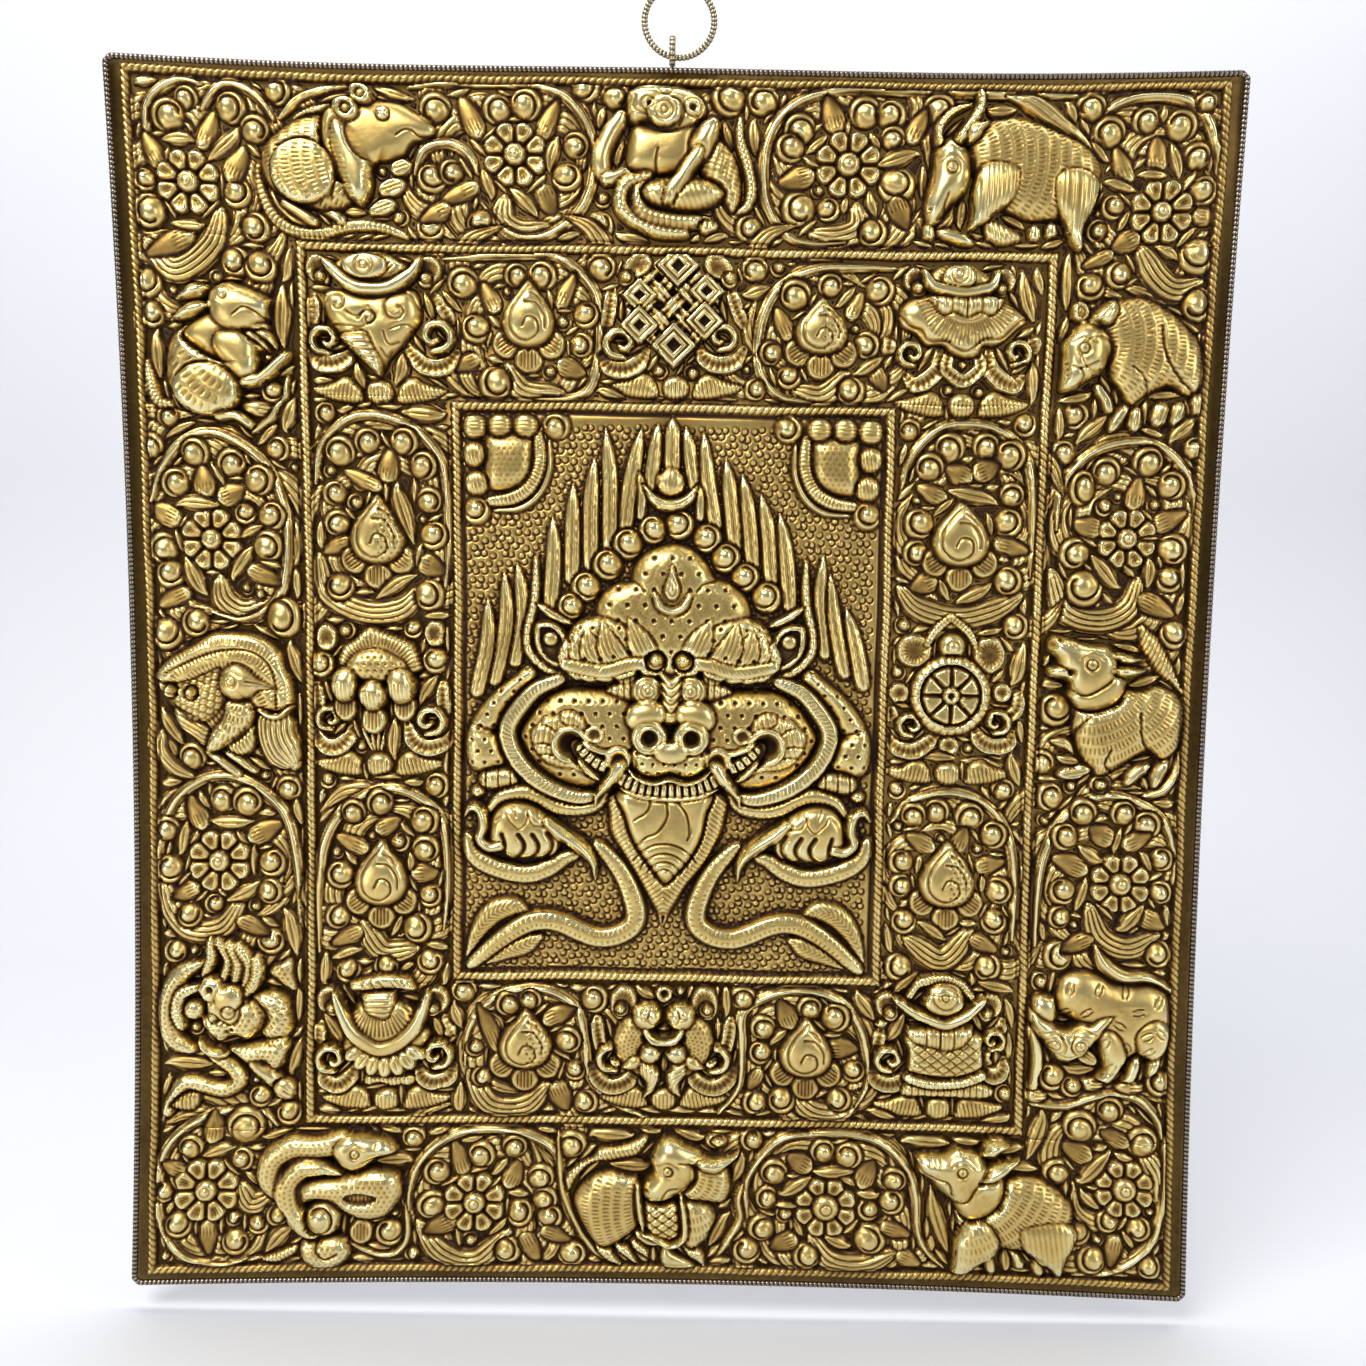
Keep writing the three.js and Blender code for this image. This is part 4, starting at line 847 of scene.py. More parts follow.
def vase(s):
    seat(s, 0, -25)
    falls(s, -24, -7, -1, (((5, 15), (5.5, 8)),), ((5, -4), (2.5, -9.5), (-3, -11.5), (-8, -8),
        (-10.5, -3)), 6)
    falls(s, 22, -5, 1, (((3, 16), (6, 9)),), ((7, -5), (5, -10), (-1, -12), (-6, -10), (-8.5, -5)), 6)
    foot = s.stroke([(-8, -16), (10, -16)], 5.6, 4.5, tip=0.9, power=5)
    s.hatch(foot, 1.8, 0, 0.6)
    s.blob([(-18, 3), (-18, -5), (-12, -10), (-6, -14), (0, -14), (8, -13), (14, -8), (17, -1), (18, 7),
        (0, 10)], 8.0, 5)
    for k in range(7):
        a = math.radians(-148 + 19.4 * k)
        c, d = math.cos(a), math.sin(a)
        x, z = 0 + 15.4 * c, 4 + 12.6 * d
        s.oval(x, z, 4.6, 2.7, 9.6, math.degrees(a), floor=6.4, over=True)
        s.cut([(x - 2 * c, z - 2 * d), (x + 1.5 * c, z + 1.5 * d)], 0.7, 1.0)
    s.blob([(-15, 16), (-10, 20), (3, 21), (10, 18), (14, 10), (8, 2), (-2, -1), (-13, 3), (-17, 10)],
        8.0, 5, over=True)
    fringe(s, -3, 24, 12, 212, 332, 7, 6)
    neck = s.blob([(-10, 24), (-10, 18), (-7, 14), (0, 12), (3, 16), (4, 24)], 9.2, 3, over=True)
    s.hatch(neck, 2.4, 90, 0.8, 0.35)
    s.cut([(4, 23), (8, 17), (12, 11)], 0.8, 1.0)
    s.blob([(-16, 28), (-10, 30), (-1, 32), (8, 31), (12, 28), (12, 24), (3, 25), (-8, 24), (-15, 24)],
        7.4, 2.4, over=True)
    for x in (-10, -6, -2, 3, 6, 8):
        s.cut([(x - 1, 29), (x + 1, 26)], 0.75, 0.9)
    scarf(s, [(-22, 23), (-19, 15), (-15, 7), (-9, 2), (-2, -1), (6, 2), (13, 9), (16, 17), (18, 23)],
        6.4, 5.8)


def two_fish(s):
    seat(s, 0.5, -24)
    for side in (-1, 1):
        dish(s, 17.5 * side, 19, 6.4, 8.6, 5.4)
        curl(s, 18.5 * side, 16, 3.6, 90, side, up=5.6)
        falls(s, 22 * side, -6, side, (((7, 17), (6, 9), (4, 2)),), ((9, -3), (6, -9.5), (0, -12.5),
            (-7, -10), (-11, -4)), 6)
        body = s.stroke([(8 * side, 12), (14 * side, 5), (15 * side, -3), (10 * side, -10),
            (5 * side, -13)], 15, 6.4, swell=(0.7, 1, 1, 0.75, 0.5, 0.4))
        s.dots(body, 2.0, 0.5, 0.7)
        tail_leaf = leaf(s, [(9 * side, -7), (5 * side, -13), (5 * side, -18), (8 * side, -23)], 8.4, 7,
            0, over=True)
        s.hatch(tail_leaf, 1.8, 60, 0.6)
        leaf(s, [(10 * side, -5), (14 * side, -8), (18.5 * side, -10)], 6, 6.4, 1, over=True)
        s.oval(5.4 * side, -3, 4.6, 4.2, 8, floor=3, over=True)
        s.pit(8 * side, 4, 1.6, 2.6)
        s.oval(7 * side, 14, 6.8, 6.4, 9.4, 25 * side, over=True)
        s.cut([(3.5 * side, 18), (6.5 * side, 16), (6 * side, 12), (2.5 * side, 10)], 0.9, 1.0)
        s.ring(8.3 * side, 16, 2.2, 0.7, 0.8)
    s.stroke([(-8, 8), (-5, 4), (0, 3), (5, 4), (8, 8)], 5, 9.6, over=True, tip=0.35)
    dish(s, 0, 23, 3.9, 3.9, 5)
    s.pit(0, 23, 1.5, 2)


def banner(s):
    seat(s, 0, -25)
    falls(s, -22, -4, -1, (((3.5, 12), (5.5, 6)),), ((6.5, -4), (5.5, -9), (0, -11), (-6, -9), (-8, -4)), 5.6)
    falls(s, 23, 6, 1, (((4, 8), (2, 3)), ((-2, -3), (-4.5, -8), (-1, -12)),),
        ((5, -9), (4, -14), (0, -16), (-4, -13)), 4.6)
    skirt = s.blob([(-17, -18), (-13, -13), (1, -15), (16, -12), (24, -16), (20, -20), (1, -20),
        (-14, -20)], 6.0, 2.4)
    s.hatch(skirt, 2.8, 0, 0.9, 0.35)
    hem = s.stroke([(-14, -11), (-6, -13), (2, -13), (10, -12), (18, -9)], 4.6, 8.0, tip=0.9, power=5)
    s.hatch(hem, 1.9, 0, 0.7)
    s.blob([(-14, 9), (-14, 0), (-14, -8), (-7, -10), (2, -11), (10, -10), (18, -6), (18, 1), (16, 10)],
        8.0, 3, over=True)
    place, gx, gz = s.window(-16, 19, -11, 6)
    lattice = np.maximum(grooves(0.8 * gx + gz + 3.2, 4.4, 0.3), grooves(0.8 * gx - gz + 4, 4.4, 0.3))
    s.h[place] -= 1.0 * lattice * (s.h[place] > 6.5)
    pleats = s.blob([(-14, 12), (-13, 6), (-8, 4), (-3, 3), (2, 2), (7, 3), (11, 6), (13, 13)], 9.4, 3,
        over=True)
    s.hatch(pleats, 6.0, 0, 1.2, 0.2)
    s.hatch(pleats, 1.8, 0, 0.4)
    band(s, [(-14, 24), (-11, 30), (-6, 32), (0, 33), (6, 32), (11, 28), (14, 24)], 4.4, 5.4)
    s.blob([(-9, 21), (-6, 27), (-2, 31), (4, 28), (10, 22), (0, 18)], 7.4, 3, over=True)
    s.oval(1, 24, 8.6, 7.6, 9.2, floor=4, over=True)
    for r in (1.6, 5.2):
        s.ring(1, 26, r, 0.7, 0.9)
    scarf(s, [(-20, 24), (-13, 19), (-6, 16), (1, 14), (7, 16), (12, 19), (18, 25)], 5.2, 5.6)


def emblems(s):
    for emblem, x, z in ((conch, -120, 150), (knot, 0, 160), (parasol, 120, 150), (lotus, -120, 0),
            (wheel, 120, 0), (vase, -120, -150), (two_fish, 0, -150), (banner, 120, -150)):
        emblem(s.around(x, z))


# The twelve animals of the outer band

def coat(s, outline, around, up, edge, row=4.6):
    """A body with its coat chased in rows of dashes, which radiate from around."""
    s.ruff(s.blob(outline, up, edge), around, row, 1.75, 0.65)


def limb(s, line, width, up, tip=0.7):
    """A leg or an arm, over the body."""
    return s.stroke(line, width, up, tip=tip, over=True)


def paw(s, x, z, rx, rz, turn, toes, up=4.5):
    """A foot with cuts between its toes."""
    s.oval(x, z, rx, rz, up, turn, power=3)
    a = math.radians(turn)
    for k in range(toes - 1):
        v = ((k + 1) / toes * 2 - 1) * rz
        s.cut([(x + rx * math.cos(a) - v * math.sin(a), z + rx * math.sin(a) + v * math.cos(a)),
            (x - v * math.sin(a), z + v * math.cos(a))], 0.7, 1.0)


def round_eye(s, x, z, r, lash=True):
    """A ringed eye with a brow line over it."""
    s.oval(x, z, r + 0.6, r + 0.6, 10.2, floor=8.8, over=True)
    s.ring(x, z, r, 0.6, 1.2)
    s.pit(x, z, 0.55, 0.9)
    if lash:
        s.cut([(x - 2.2 * r, z + 1.0 * r), (x, z + 2.1 * r), (x + 2.2 * r, z + 1.0 * r)], 0.7, 0.8)


def hatched(s, outline, pitch, turn, up, edge=3.0):
    """A rounded form under parallel cuts: wings, manes and leaves."""
    s.hatch(s.blob(outline, up, edge), pitch, turn, 0.7)


def rat(s):
    band(s, [(-29, -2), (-28, -13), (-23, -23), (-15, -28), (-5, -29), (5, -26), (16, -25), (25, -27),
        (32, -30)], 5, 3.8, 2.0, tip=0.4)
    s.stroke([(-25, -8), (-22, -17), (-16, -23), (-9, -26)], 3, 3.2)
    s.stroke([(-20, 16), (-12, 24), (-2, 28), (8, 30)], 4.5, 3.6, ribs=2)
    hatched(s, [(-15, 16), (-8, 21), (0, 23), (6, 22), (4, 17), (-6, 15)], 1.7, 10, 6)
    for line in ([(-18, -17), (-12, -21), (-7, -24)], [(-6, -17), (0, -20), (4, -23)]):
        limb(s, line, 5.4, 5, tip=0.9)
    coat(s, [(-28, -4), (-27, 5), (-20, 12), (-12, 17), (-3, 19), (5, 18), (12, 14), (15, 6), (15, -6),
        (9, -17), (0, -20), (-10, -19), (-20, -15), (-26, -10)], (22, 12), 8.0, 9)
    s.blob([(-2, 19), (6, 23), (16, 21), (23, 12), (21, 2), (13, -8), (3, -8), (-3, 6)], 8.6, 5)
    hip = s.oval(-10, -5, 13, 12.5, 9.4, floor=5.5, power=3, over=True)
    s.ruff(hip, (22, 2), 4.6, 1.75, 0.6)
    s.cut([(-20, 5), (-10, 8), (-1, 4), (3, -5), (1, -15)], 0.9, 1.3)
    for x, z, rx, rz in ((25, -10, 6.5, 4), (21, -18, 6.5, 3.4), (29, -2, 5, 3.6)):
        petal(s, x, z, rx, rz, 20, 5)
    fore = s.blob([(4, 16), (1, 8), (4, -4), (7, -13), (12, -18), (16, -15), (18, -8), (17, 0), (14, 8)],
        9.6, 5, over=True)
    s.hatch(fore, 1.8, 80, 0.6, 0.5, np.clip(np.abs(fore.u + 0.30 * fore.v) - 2.2, 0, 1))
    s.blob([(8, 17), (15, 24), (28, 24), (36, 20), (42, 16), (43, 12), (40, 9), (35, 7), (30, 2), (23, 0),
        (14, 0), (8, 7)], 7.6, 7, over=True)
    for x, z, rx, rz in ((14, 26, 5.2, 4), (8, 20, 6, 4.8)):
        s.oval(x, z, rx, rz, 9.6, -35, floor=5)
        s.oval(x, z, rx * 0.45, rz * 0.5, 7.2, -35, floor=5.5, over=False)
    round_eye(s, 23, 18, 1.8, lash=False)
    s.cut([(28, 10), (31, 12), (34, 12), (37, 10), (42, 10)], 0.8, 1.2)


def monkey(s):
    tail_band = s.stroke([(26, 20), (26, 11), (29, 1), (31, -9), (29, -16), (23, -18)], 5.6, 5)
    s.hatch(tail_band, 2.2, 0, 0.4)
    back = s.blob([(13, 9), (18, 11), (24, 5), (27, -4), (27, -14), (23, -19), (19, -14), (12, -7),
        (9, 0)], 7.5, 7)
    s.hatch(back, 2.0, 70, 0.35)
    s.hatch(back, 3.4, -20, 0.35)
    limb(s, [(-22, 19), (-27, 11), (-30, 2), (-28, -6)], 8.5, 6.5)
    limb(s, [(-28, -6), (-22, -4), (-16, -1)], 7, 6)
    s.blob([(-20, 6), (-20, -1), (-14, -4), (-4, -4), (3, -4), (9, 1), (9, 10), (9, 19), (0, 18),
        (-8, 16), (-17, 16)], 8.0, 7)
    s.cut([(-7, 6), (-8, 1), (-7.5, -4)], 0.9, 1.2)
    for line in ([(-11, -5), (-20, -8), (-22, -16), (-16, -22), (-6, -26), (4, -27)],
            [(-9, -8), (-15, -12), (-12, -19), (0, -22), (13, -22)]):
        leg = limb(s, line, 7.4, 7)
        s.hatch(leg, 2.4, 0, 0.35)
    paw(s, 13.5, -24, 3.6, 4.6, 90, 4)
    thigh = s.blob([(-14.5, -11), (-11, -6), (-2, -4), (8, -4), (16, -6), (21, -11), (16, -16), (6, -19),
        (-4, -18), (-11, -16)], 8.8, 6)
    s.hatch(thigh, 2.2, 20, 0.35)
    limb(s, [(15, 16), (11.5, 10), (9, 3)], 10, 9.2)
    limb(s, [(9.5, 5), (5, -2), (0, -9), (-3, -14)], 7, 9.8)
    for k in range(3):
        s.cut([(-4 + 2.3 * k, -12), (-5 + 2.3 * k, -16)], 0.7, 1.0)
    s.blob([(-20, 23), (-18, 30), (-10, 33), (0, 32), (8, 29), (12.5, 22), (8, 16), (0, 13), (-6, 13),
        (-12, 16), (-18, 16)], 9.6, 7, over=True)
    s.oval(-4.5, 20, 6.6, 5.8, 11.0, floor=8, over=True)
    for x, z, r in ((-4.5, 20, 3.6), (-4.5, 20, 1.4), (-11, 23, 2.6), (-4, 29, 2.6), (7, 22, 3.6)):
        s.ring(x, z, r, 0.7, 1.1)
    s.cut([(-16, 26), (-17, 22), (-14, 20), (-10, 19)], 0.8, 1.0)
    s.cut([(-2, 25), (2, 24), (3.5, 19), (1.5, 15)], 0.8, 1.0)
    s.pit(7, 22, 1.6, 2.4)
    s.pit(-10.6, 23, 1.2, 1.8)


def ox(s):
    s.stroke([(-7, 30), (3, 27), (13, 20), (23, 13), (30, 4), (32, -6)], 9.5, 5, ribs=3,
        swell=(0.2, 0.9, 1, 0.75, 0.5, 0.4, 0.4))
    for x, z in ((-37, -25), (6, -25), (13, -24)):
        s.stroke([(x, z + 4), (x + 1, z - 3)], 6, 5)
    s.stroke([(-33, -24), (-26, -26), (-18, -29)], 6, 5)
    hatched(s, [(-15, -19), (-10, -19), (-3, -22), (2, -27), (-7, -30), (-13, -28)], 2.0, 10, 5.5)
    coat(s, [(-23, 12), (-16, 19), (-6, 22), (5, 20), (15, 16), (25, 11), (32, 3), (32, -7), (29, -16),
        (20, -19), (10, -20), (0, -19), (-8, -15), (-16, -8), (-21, 2)], (-32, 4), 8.8, 9)
    s.cut([(-6, -16), (3, -20), (13, -19)], 0.8, 1.0)
    for outline in ([(-17, 1), (-20, -8), (-20, -17), (-20, -24), (-12, -19), (-5, -13), (-2, -7),
            (-2, 0), (-10, 3)], [(13, -4), (14, -13), (18, -21), (22, -30), (26, -31), (26, -22),
            (30, -14), (31, -5), (24, 0), (17, 0)]):
        leg = s.blob(outline, 10.2, 6, floor=3, over=True)
        s.hatch(leg, 1.8, 0, 0.5, 0.45)
    s.blob([(-34, 11), (-28, 14), (-22, 8), (-20, -1), (-22, -9), (-28, -14), (-32, -20), (-36, -22),
        (-39, -18), (-39, -11), (-37, -2), (-36, 6)], 10.4, 7, over=True)
    round_eye(s, -29, 0, 2.2)
    s.cut([(-30, -10), (-31, -14), (-31, -18), (-34, -20)], 0.9, 1.4)
    s.pit(-37, -16, 0.9, 1.4)
    horn = s.stroke([(-26, 12), (-21, 19), (-18, 25), (-18, 33)], 6, 9.4, swell=(1, 1, 0.9, 0.75, 0.5))
    s.hatch(horn, 3.0, 0, 0.8, 0.35)
    other = s.stroke([(-34, 11), (-34, 17), (-29, 23), (-22, 26)], 4.6, 7.6, swell=(1, 1, 0.9, 0.75, 0.4))
    s.hatch(other, 2.6, 0, 0.8, 0.35)
    leaf(s, [(-22, 11), (-19, 16), (-14, 19)], 6, 10.2, 1, over=True)


def rabbit(s):
    comb = s.stroke([(-26, 2), (-28, -9), (-24, -18), (-19, -19)], 7.4, 4.6, swell=(0.3, 0.9, 1, 0.9, 0.5))
    s.hatch(comb, 1.8, 0, 0.7)
    for line in ([(-2, 28), (-8, 26), (-15, 23)], [(-1, 21), (-10, 18), (-18, 14)]):
        leaf(s, line, 7.6, 8, 1, rib_cut=1.2)
    body = s.blob([(-20, 1), (-17, 9), (-10, 14), (-2, 14), (6, 12), (13, 10), (18, 4), (18, -4),
        (15, -10), (9, -12), (0, -19), (-13, -20), (-20, -11)], 8.2, 8)
    s.ruff(body, (14, 25), 5.5, 3.4, 0.5)
    s.blob([(-13, 8), (-4, 18), (8, 20), (20, 18), (24, 11), (19, 2), (4, -2)], 7.4, 6)
    s.blob([(2, 10), (10, 12), (16, 8), (19, 0), (18, -8), (15, -11), (9, -7), (3, -1), (0, 5)], 9.2, 6,
        over=True)
    for line in ([(13, 11), (19, 8), (23, 3)], [(18, 11), (23, 9), (26, 4)]):
        leaf(s, line, 5, 6.5, 1)
    limb(s, [(12, -10), (19, -8), (25, -3), (30, 2)], 5.8, 7.5)
    hip = s.oval(-3, -13, 13.6, 10.6, 10, floor=5, power=3, over=True)
    s.ruff(hip, (14, 10), 5.5, 3.0, 0.5)
    s.cut([(-15, -8), (-9, -3), (0, -2), (8, -7), (11, -14)], 0.9, 1.3)
    paw(s, 18, -20, 8, 3.6, -8, 4)
    limb(s, [(0, -24), (8, -23), (16, -28)], 5, 5.5)
    s.stroke([(30, -6), (28, -14), (22, -24), (14, -30)], 4.6, 3.8, ribs=1)
    curl(s, 23, -13, 5, 90, 1)
    s.blob([(-2, 23), (0, 28), (6, 31), (12, 30), (17, 28), (24, 25), (27, 22), (25, 17), (19, 14),
        (12, 11), (6, 11), (0, 16)], 10.2, 7, over=True)
    round_eye(s, 6, 25, 2.0)
    s.cut([(10, 17), (14, 20), (18, 19), (22, 16)], 0.8, 1.2)


def rooster(s):
    s.stroke([(-26, -13), (-28, -22), (-22, -30), (-14, -34)], 7.5, 4, ribs=2)
    for line in ([(-7, -23), (0, -28), (6, -32)], [(0, -22), (6, -26), (13, -31)]):
        limb(s, line, 4.6, 5)
    hatched(s, [(-29, 8), (-17, 20), (-3, 27), (12, 28), (25, 20), (30, 4), (29, -9), (22, -14),
        (13, -13), (6, -21), (-7, -23), (-13, -14), (-21, -6), (-27, 1)], 2.0, 35, 5.4, 5)
    hatched(s, [(-21, -4), (-20, -12), (-13, -18), (-8, -21), (-5, -14), (-10, -9)], 1.8, 60, 5.5)
    hatched(s, [(0, -20), (6, -25), (12, -23), (15, -16), (13, -9), (7, -15)], 1.8, 20, 6)
    swoosh(s, [(23, -3), (22, -12), (24, -20), (30, -28)], 18, 8, 7)
    coat(s, [(-30, 8), (-23, 16.5), (-17, 20), (-10, 24), (-3, 28), (7, 28), (16, 27), (23, 22), (28, 14),
        (30, 5), (30, -4), (22, -6.5), (11, -4), (8, 3), (0, 7), (-7, 6), (-14, 3), (-22, 4)], (2, -8),
        8.0, 4, 5.0)
    s.cut([(-24, 10), (-13, 15.5), (0, 20), (12, 20), (20, 15), (23, 6), (23, -4)], 0.9, 1.2)
    s.stroke([(15, -4.5), (23, -7.5), (30, -3)], 2.6, 9.0, over=True)
    breast = s.blob([(-29, 6.5), (-22, 6), (-13, 8), (-6, 11), (0, 13), (3, 5), (2, 0), (-2, -6.5),
        (-8, -10.5), (-14, -9.5), (-21, -3), (-26, 2)], 7.4, 7, over=True)
    s.scales(breast, 3.8, 30, 0.8)
    wing = s.blob([(2, -1), (12, -1), (14, -7), (11, -13), (3, -19.5), (-6, -24), (-8, -22), (-5, -14),
        (0, -8)], 8.8, 5, over=True)
    s.ruff(wing, (10, 6), 4.4, 1.9, 0.9)
    s.blob([(-1, 5), (0, 11), (6, 15), (12, 12.8), (16, 9), (24, 4.3), (17, 3.4), (12, 0), (6, -1.3),
        (1, 1)], 10.2, 6, over=True)
    round_eye(s, 5, 7.5, 1.9)
    s.cut([(11, 7.5), (16, 6.5), (22, 4.6)], 0.8, 1.1)
    for x, z in ((-13, 2), (-22, 2.8)):
        curl(s, x, z, 3.4, 90, 1, up=9.6)


def dragon(s):
    for line in ([(-6, 36), (-6, 28), (-9, 21)], [(-3, 36), (2, 28), (-1, 18)],
            [(2, 35), (6, 27), (4, 16)], [(6, 34), (11, 25), (8, 13)], [(14, 29), (14, 20), (9, 11)]):
        flute = s.stroke(line, 6, 7.5, tip=0.6, over=True)
        s.hatch(flute, 1.8, 0, 0.5)
    outer = s.stroke([(-10, 26), (-19, 21), (-24, 12), (-25, 2), (-22, -8), (-13, -13)], 10, 7.5)
    s.dots(outer, 2.4, 0.6, 0.9)
    band(s, [(-11, 16), (-18, 13), (-20, 6), (-18, -2)], 5.5, 8.6, 1.8, over=True)
    ear = s.oval(-13, 6, 5.2, 5, 8.4, power=3)
    s.dots(ear, 2.2, 0.5, 0.8)
    rump = s.blob([(10, 11), (15, 14), (23, 14), (28, 9), (30, 1), (28, -7), (20, -9), (15, -4), (17, 3),
        (13, 8)], 8.6, 7)
    s.ruff(rump, (0, 18), 3.0, 2.2, 0.8)
    belly = s.blob([(1, -11), (6, -16), (12, -20), (17, -18), (21, -22), (27, -18), (29, -11), (27, -6),
        (18, -7), (9, -9)], 9.2, 6, over=True)
    s.dots(belly, 2.4, 0.65, 1.0)
    limb(s, [(13, -19), (20, -24), (25, -30)], 8, 7)
    paw(s, 26, -30, 6, 5, -40, 4, 6)
    coil = s.stroke([(-5, -15), (3, -20), (6, -26), (0, -30), (-9, -28), (-17, -27), (-22, -33),
        (-25, -40)], 8, 6.5, tip=0.7)
    s.dots(coil, 2.4, 0.6, 0.9)
    s.stroke([(-11, -7), (-7, -12), (2, -14)], 5, 8, over=True, ribs=1)
    hatched(s, [(-24, -38), (-20, -32), (-13, -30), (-10, -34), (-14, -40)], 1.8, 0, 5)
    block = s.blob([(18, 22), (22, 26), (28, 28), (30, 22), (30, 13), (22, 18)], 5, 3)
    s.dots(block, 2.4, 0.6, 0.8)
    curl(s, 15, -34, 5.4, 90, 1)
    jaw = s.blob([(-10, 3), (-8, -4), (-1, -9), (4, -6), (10, -8), (16, -3), (18, 4), (13, 10), (5, 10),
        (-2, 6)], 10, 5, over=True)
    s.dots(jaw, 2.6, 0.6, 0.9)
    s.cut([(-8, 2), (-6, -4), (0, -6), (4, -4), (10, -6), (14, -1)], 0.8, 1.1)
    s.blob([(-7, 13), (0, 16), (6, 12), (8, 4), (4, 0), (-1, 2), (-6, 1), (-8, 7)], 11, 5, over=True)
    for x, z, r in ((-5, 16, 5.2), (3, 12, 5.6)):
        s.oval(x, z, r, r, 11.5, floor=7, over=True)
    s.pit(-5, 16, 1.7, 2.6)
    for x, z, r in ((-4, 3, 2.3), (3, 6, 3.0)):
        s.ring(x, z, r, 0.8, 1.3)
    for x, z in ((2, -3), (4, -2)):
        s.pit(x, z, 1.1, 2.0)


def snake(s):
    neck = s.stroke([(2, 26), (-10, 24), (-20, 24), (-28, 19), (-30, 10), (-24, 2)], 12.5, 8.4,
        swell=(1, 0.9, 0.9, 1, 1, 0.95, 0.7))
    s.dots(neck, 2.5, 0.5, 0.8)
    coil = s.stroke([(1, 12), (-8, 15), (-17, 14), (-22, 6), (-20, -4), (-13, -12), (-6, -12)], 11, 9,
        swell=(0.2, 0.8, 1, 1, 1, 1, 1), over=True)
    s.dots(coil, 2.5, 0.5, 0.8)
    curl(s, -6, -8, 8.6, 160, -1, up=9.4)
    low = s.blob([(-16, -18), (-16, -27), (-9, -33), (0, -32), (6, -25), (4, -18), (-3, -16), (-10, -18)],
        7.4, 5)
    s.dots(low, 2.5, 0.5, 0.8)
    s.cut([(-8, -17), (-9, -22), (-5, -26), (0, -24)], 1.0, 1.6)
    loop = s.blob([(-17, 7), (-8, 10), (0, 11), (10, 14), (19, 15), (26, 12), (28, 5), (26, -2), (20, -8),
        (10, -9), (2, -5), (-3, -1), (-10, 0), (-16, -2)], 9.4, 5, over=True)
    s.dots(loop, 2.5, 0.5, 0.8)
    slit = s.oval(10, 2, 7.4, 2.6, 6.6, 0, floor=5.5)
    s.hatch(slit, 1.7, 0, 0.5)
    s.blob([(-1, 27), (6, 31), (15, 30), (22, 28), (26, 23), (24, 20), (17, 19), (12, 15), (6, 13),
        (0, 16), (-2, 22)], 10.4, 6, over=True)
    round_eye(s, 8, 23, 1.9)
    s.pit(17, 26, 1.4, 1.0)
    s.cut([(11, 19), (16, 20), (21, 20), (26, 21)], 0.8, 1.2)
    hatched(s, [(-34, -28), (-27, -24), (-18, -21), (-18, -25), (-26, -30)], 1.8, 20, 4)
    petal(s, 10, -15, 6.4, 5.6, 90, 4)
    curl(s, 22, -16, 6.6, 90, 1)
    curl(s, -27, -8, 5.4, 0, -1)
    s.stroke([(4, -20), (14, -25), (24, -26), (30, -18), (29, -2)], 3.4, 3, ribs=1)


def horse(s):
    s.stroke([(-45, 30), (-44, 15), (-42, 2), (-36, -12), (-29, -23), (-24, -28)], 4.2, 3.4, ribs=1)
    s.stroke([(36, 8), (34, 0), (35, -8), (30, -18), (24, -27)], 4.2, 3.4, ribs=1)
    hatched(s, [(-40, 3), (-42, 10), (-37, 16), (-30, 20), (-26, 24), (-15, 26), (-5.5, 30), (-9, 21),
        (-20, 18), (-30, 16), (-36, 10)], 1.9, 20, 5)
    for line, width in (([(-27, -20), (-22, -25), (-16, -31)], 6.4), ([(-19, -20), (-13, -25), (-9, -30)],
            5.4), ([(-12, -18), (-7, -23), (-3.5, -28)], 5.6), ([(11, -21), (17, -25), (20, -31)], 6.6)):
        leg = leaf(s, line, width, 5.4, 0)
        s.hatch(leg, 1.9, 0, 0.5)
    s.blob([(2, -19), (6, -23), (12, -26), (16, -31), (4, -32), (0, -27)], 5.4, 3)
    leaf(s, [(-11, -14), (-4, -19), (2.5, -20)], 5.4, 5, 1)
    coat(s, [(-38, 0), (-35, 7), (-29, 12), (-22, 14), (-13, 14), (-8.5, 8), (-8.5, -2), (-9.5, -12),
        (-16, -18), (-24, -22), (-30, -18), (-35, -9)], (20, -1), 8.6, 8)
    coat(s, [(10, 2), (18, 2), (24, -4), (24, -12), (20, -18), (14, -22), (9.5, -18), (9, -10)], (8, 15),
        8.2, 6, 4.2)
    coat(s, [(14, 18), (27, 18), (31, 9), (28, 0), (20, 0), (12, 1), (8, 5), (13, 10)], (6, 14), 8.0, 5,
        3.6)
    chest = s.blob([(-7, 0), (0, -1), (7, 0), (9.5, -9), (8.5, -16), (3, -18), (-3, -16), (-7, -10)], 7.4,
        3)
    s.hatch(chest, 3.4, 55, 0.8, 0.35)
    s.hatch(chest, 3.4, -55, 0.8, 0.35)
    s.stroke([(8.5, 5), (10.5, -6), (10.5, -15), (5, -19), (-2, -16), (-8, -14)], 3.4, 8.8, over=True)
    s.stroke([(-10, 9), (-9, -2), (-7, -13)], 3.2, 8.8, over=True)
    curl(s, 24, 27, 5.4, 20, 1, r2=3.6)
    leaf(s, [(14, 20), (23, 18), (31, 21), (34, 24)], 7, 10, 1, over=True)
    s.blob([(-1, 28), (5, 30), (12, 27), (19.5, 22), (15.5, 19), (15.5, 12), (12, 7), (6, 2), (1, 0),
        (-5, 0), (-8.5, 4), (-7, 10), (-4, 14), (-5, 21)], 10.6, 7, over=True)
    s.cut([(8, 20), (13.5, 18), (14.8, 12), (11.5, 6), (6, 3)], 0.9, 1.1)
    round_eye(s, 3, 16, 2.0)
    s.cut([(0.8, 2), (1.5, 5), (3.8, 8), (7, 8)], 0.9, 1.3)
    s.pit(-6, 6, 1.1, 1.2)


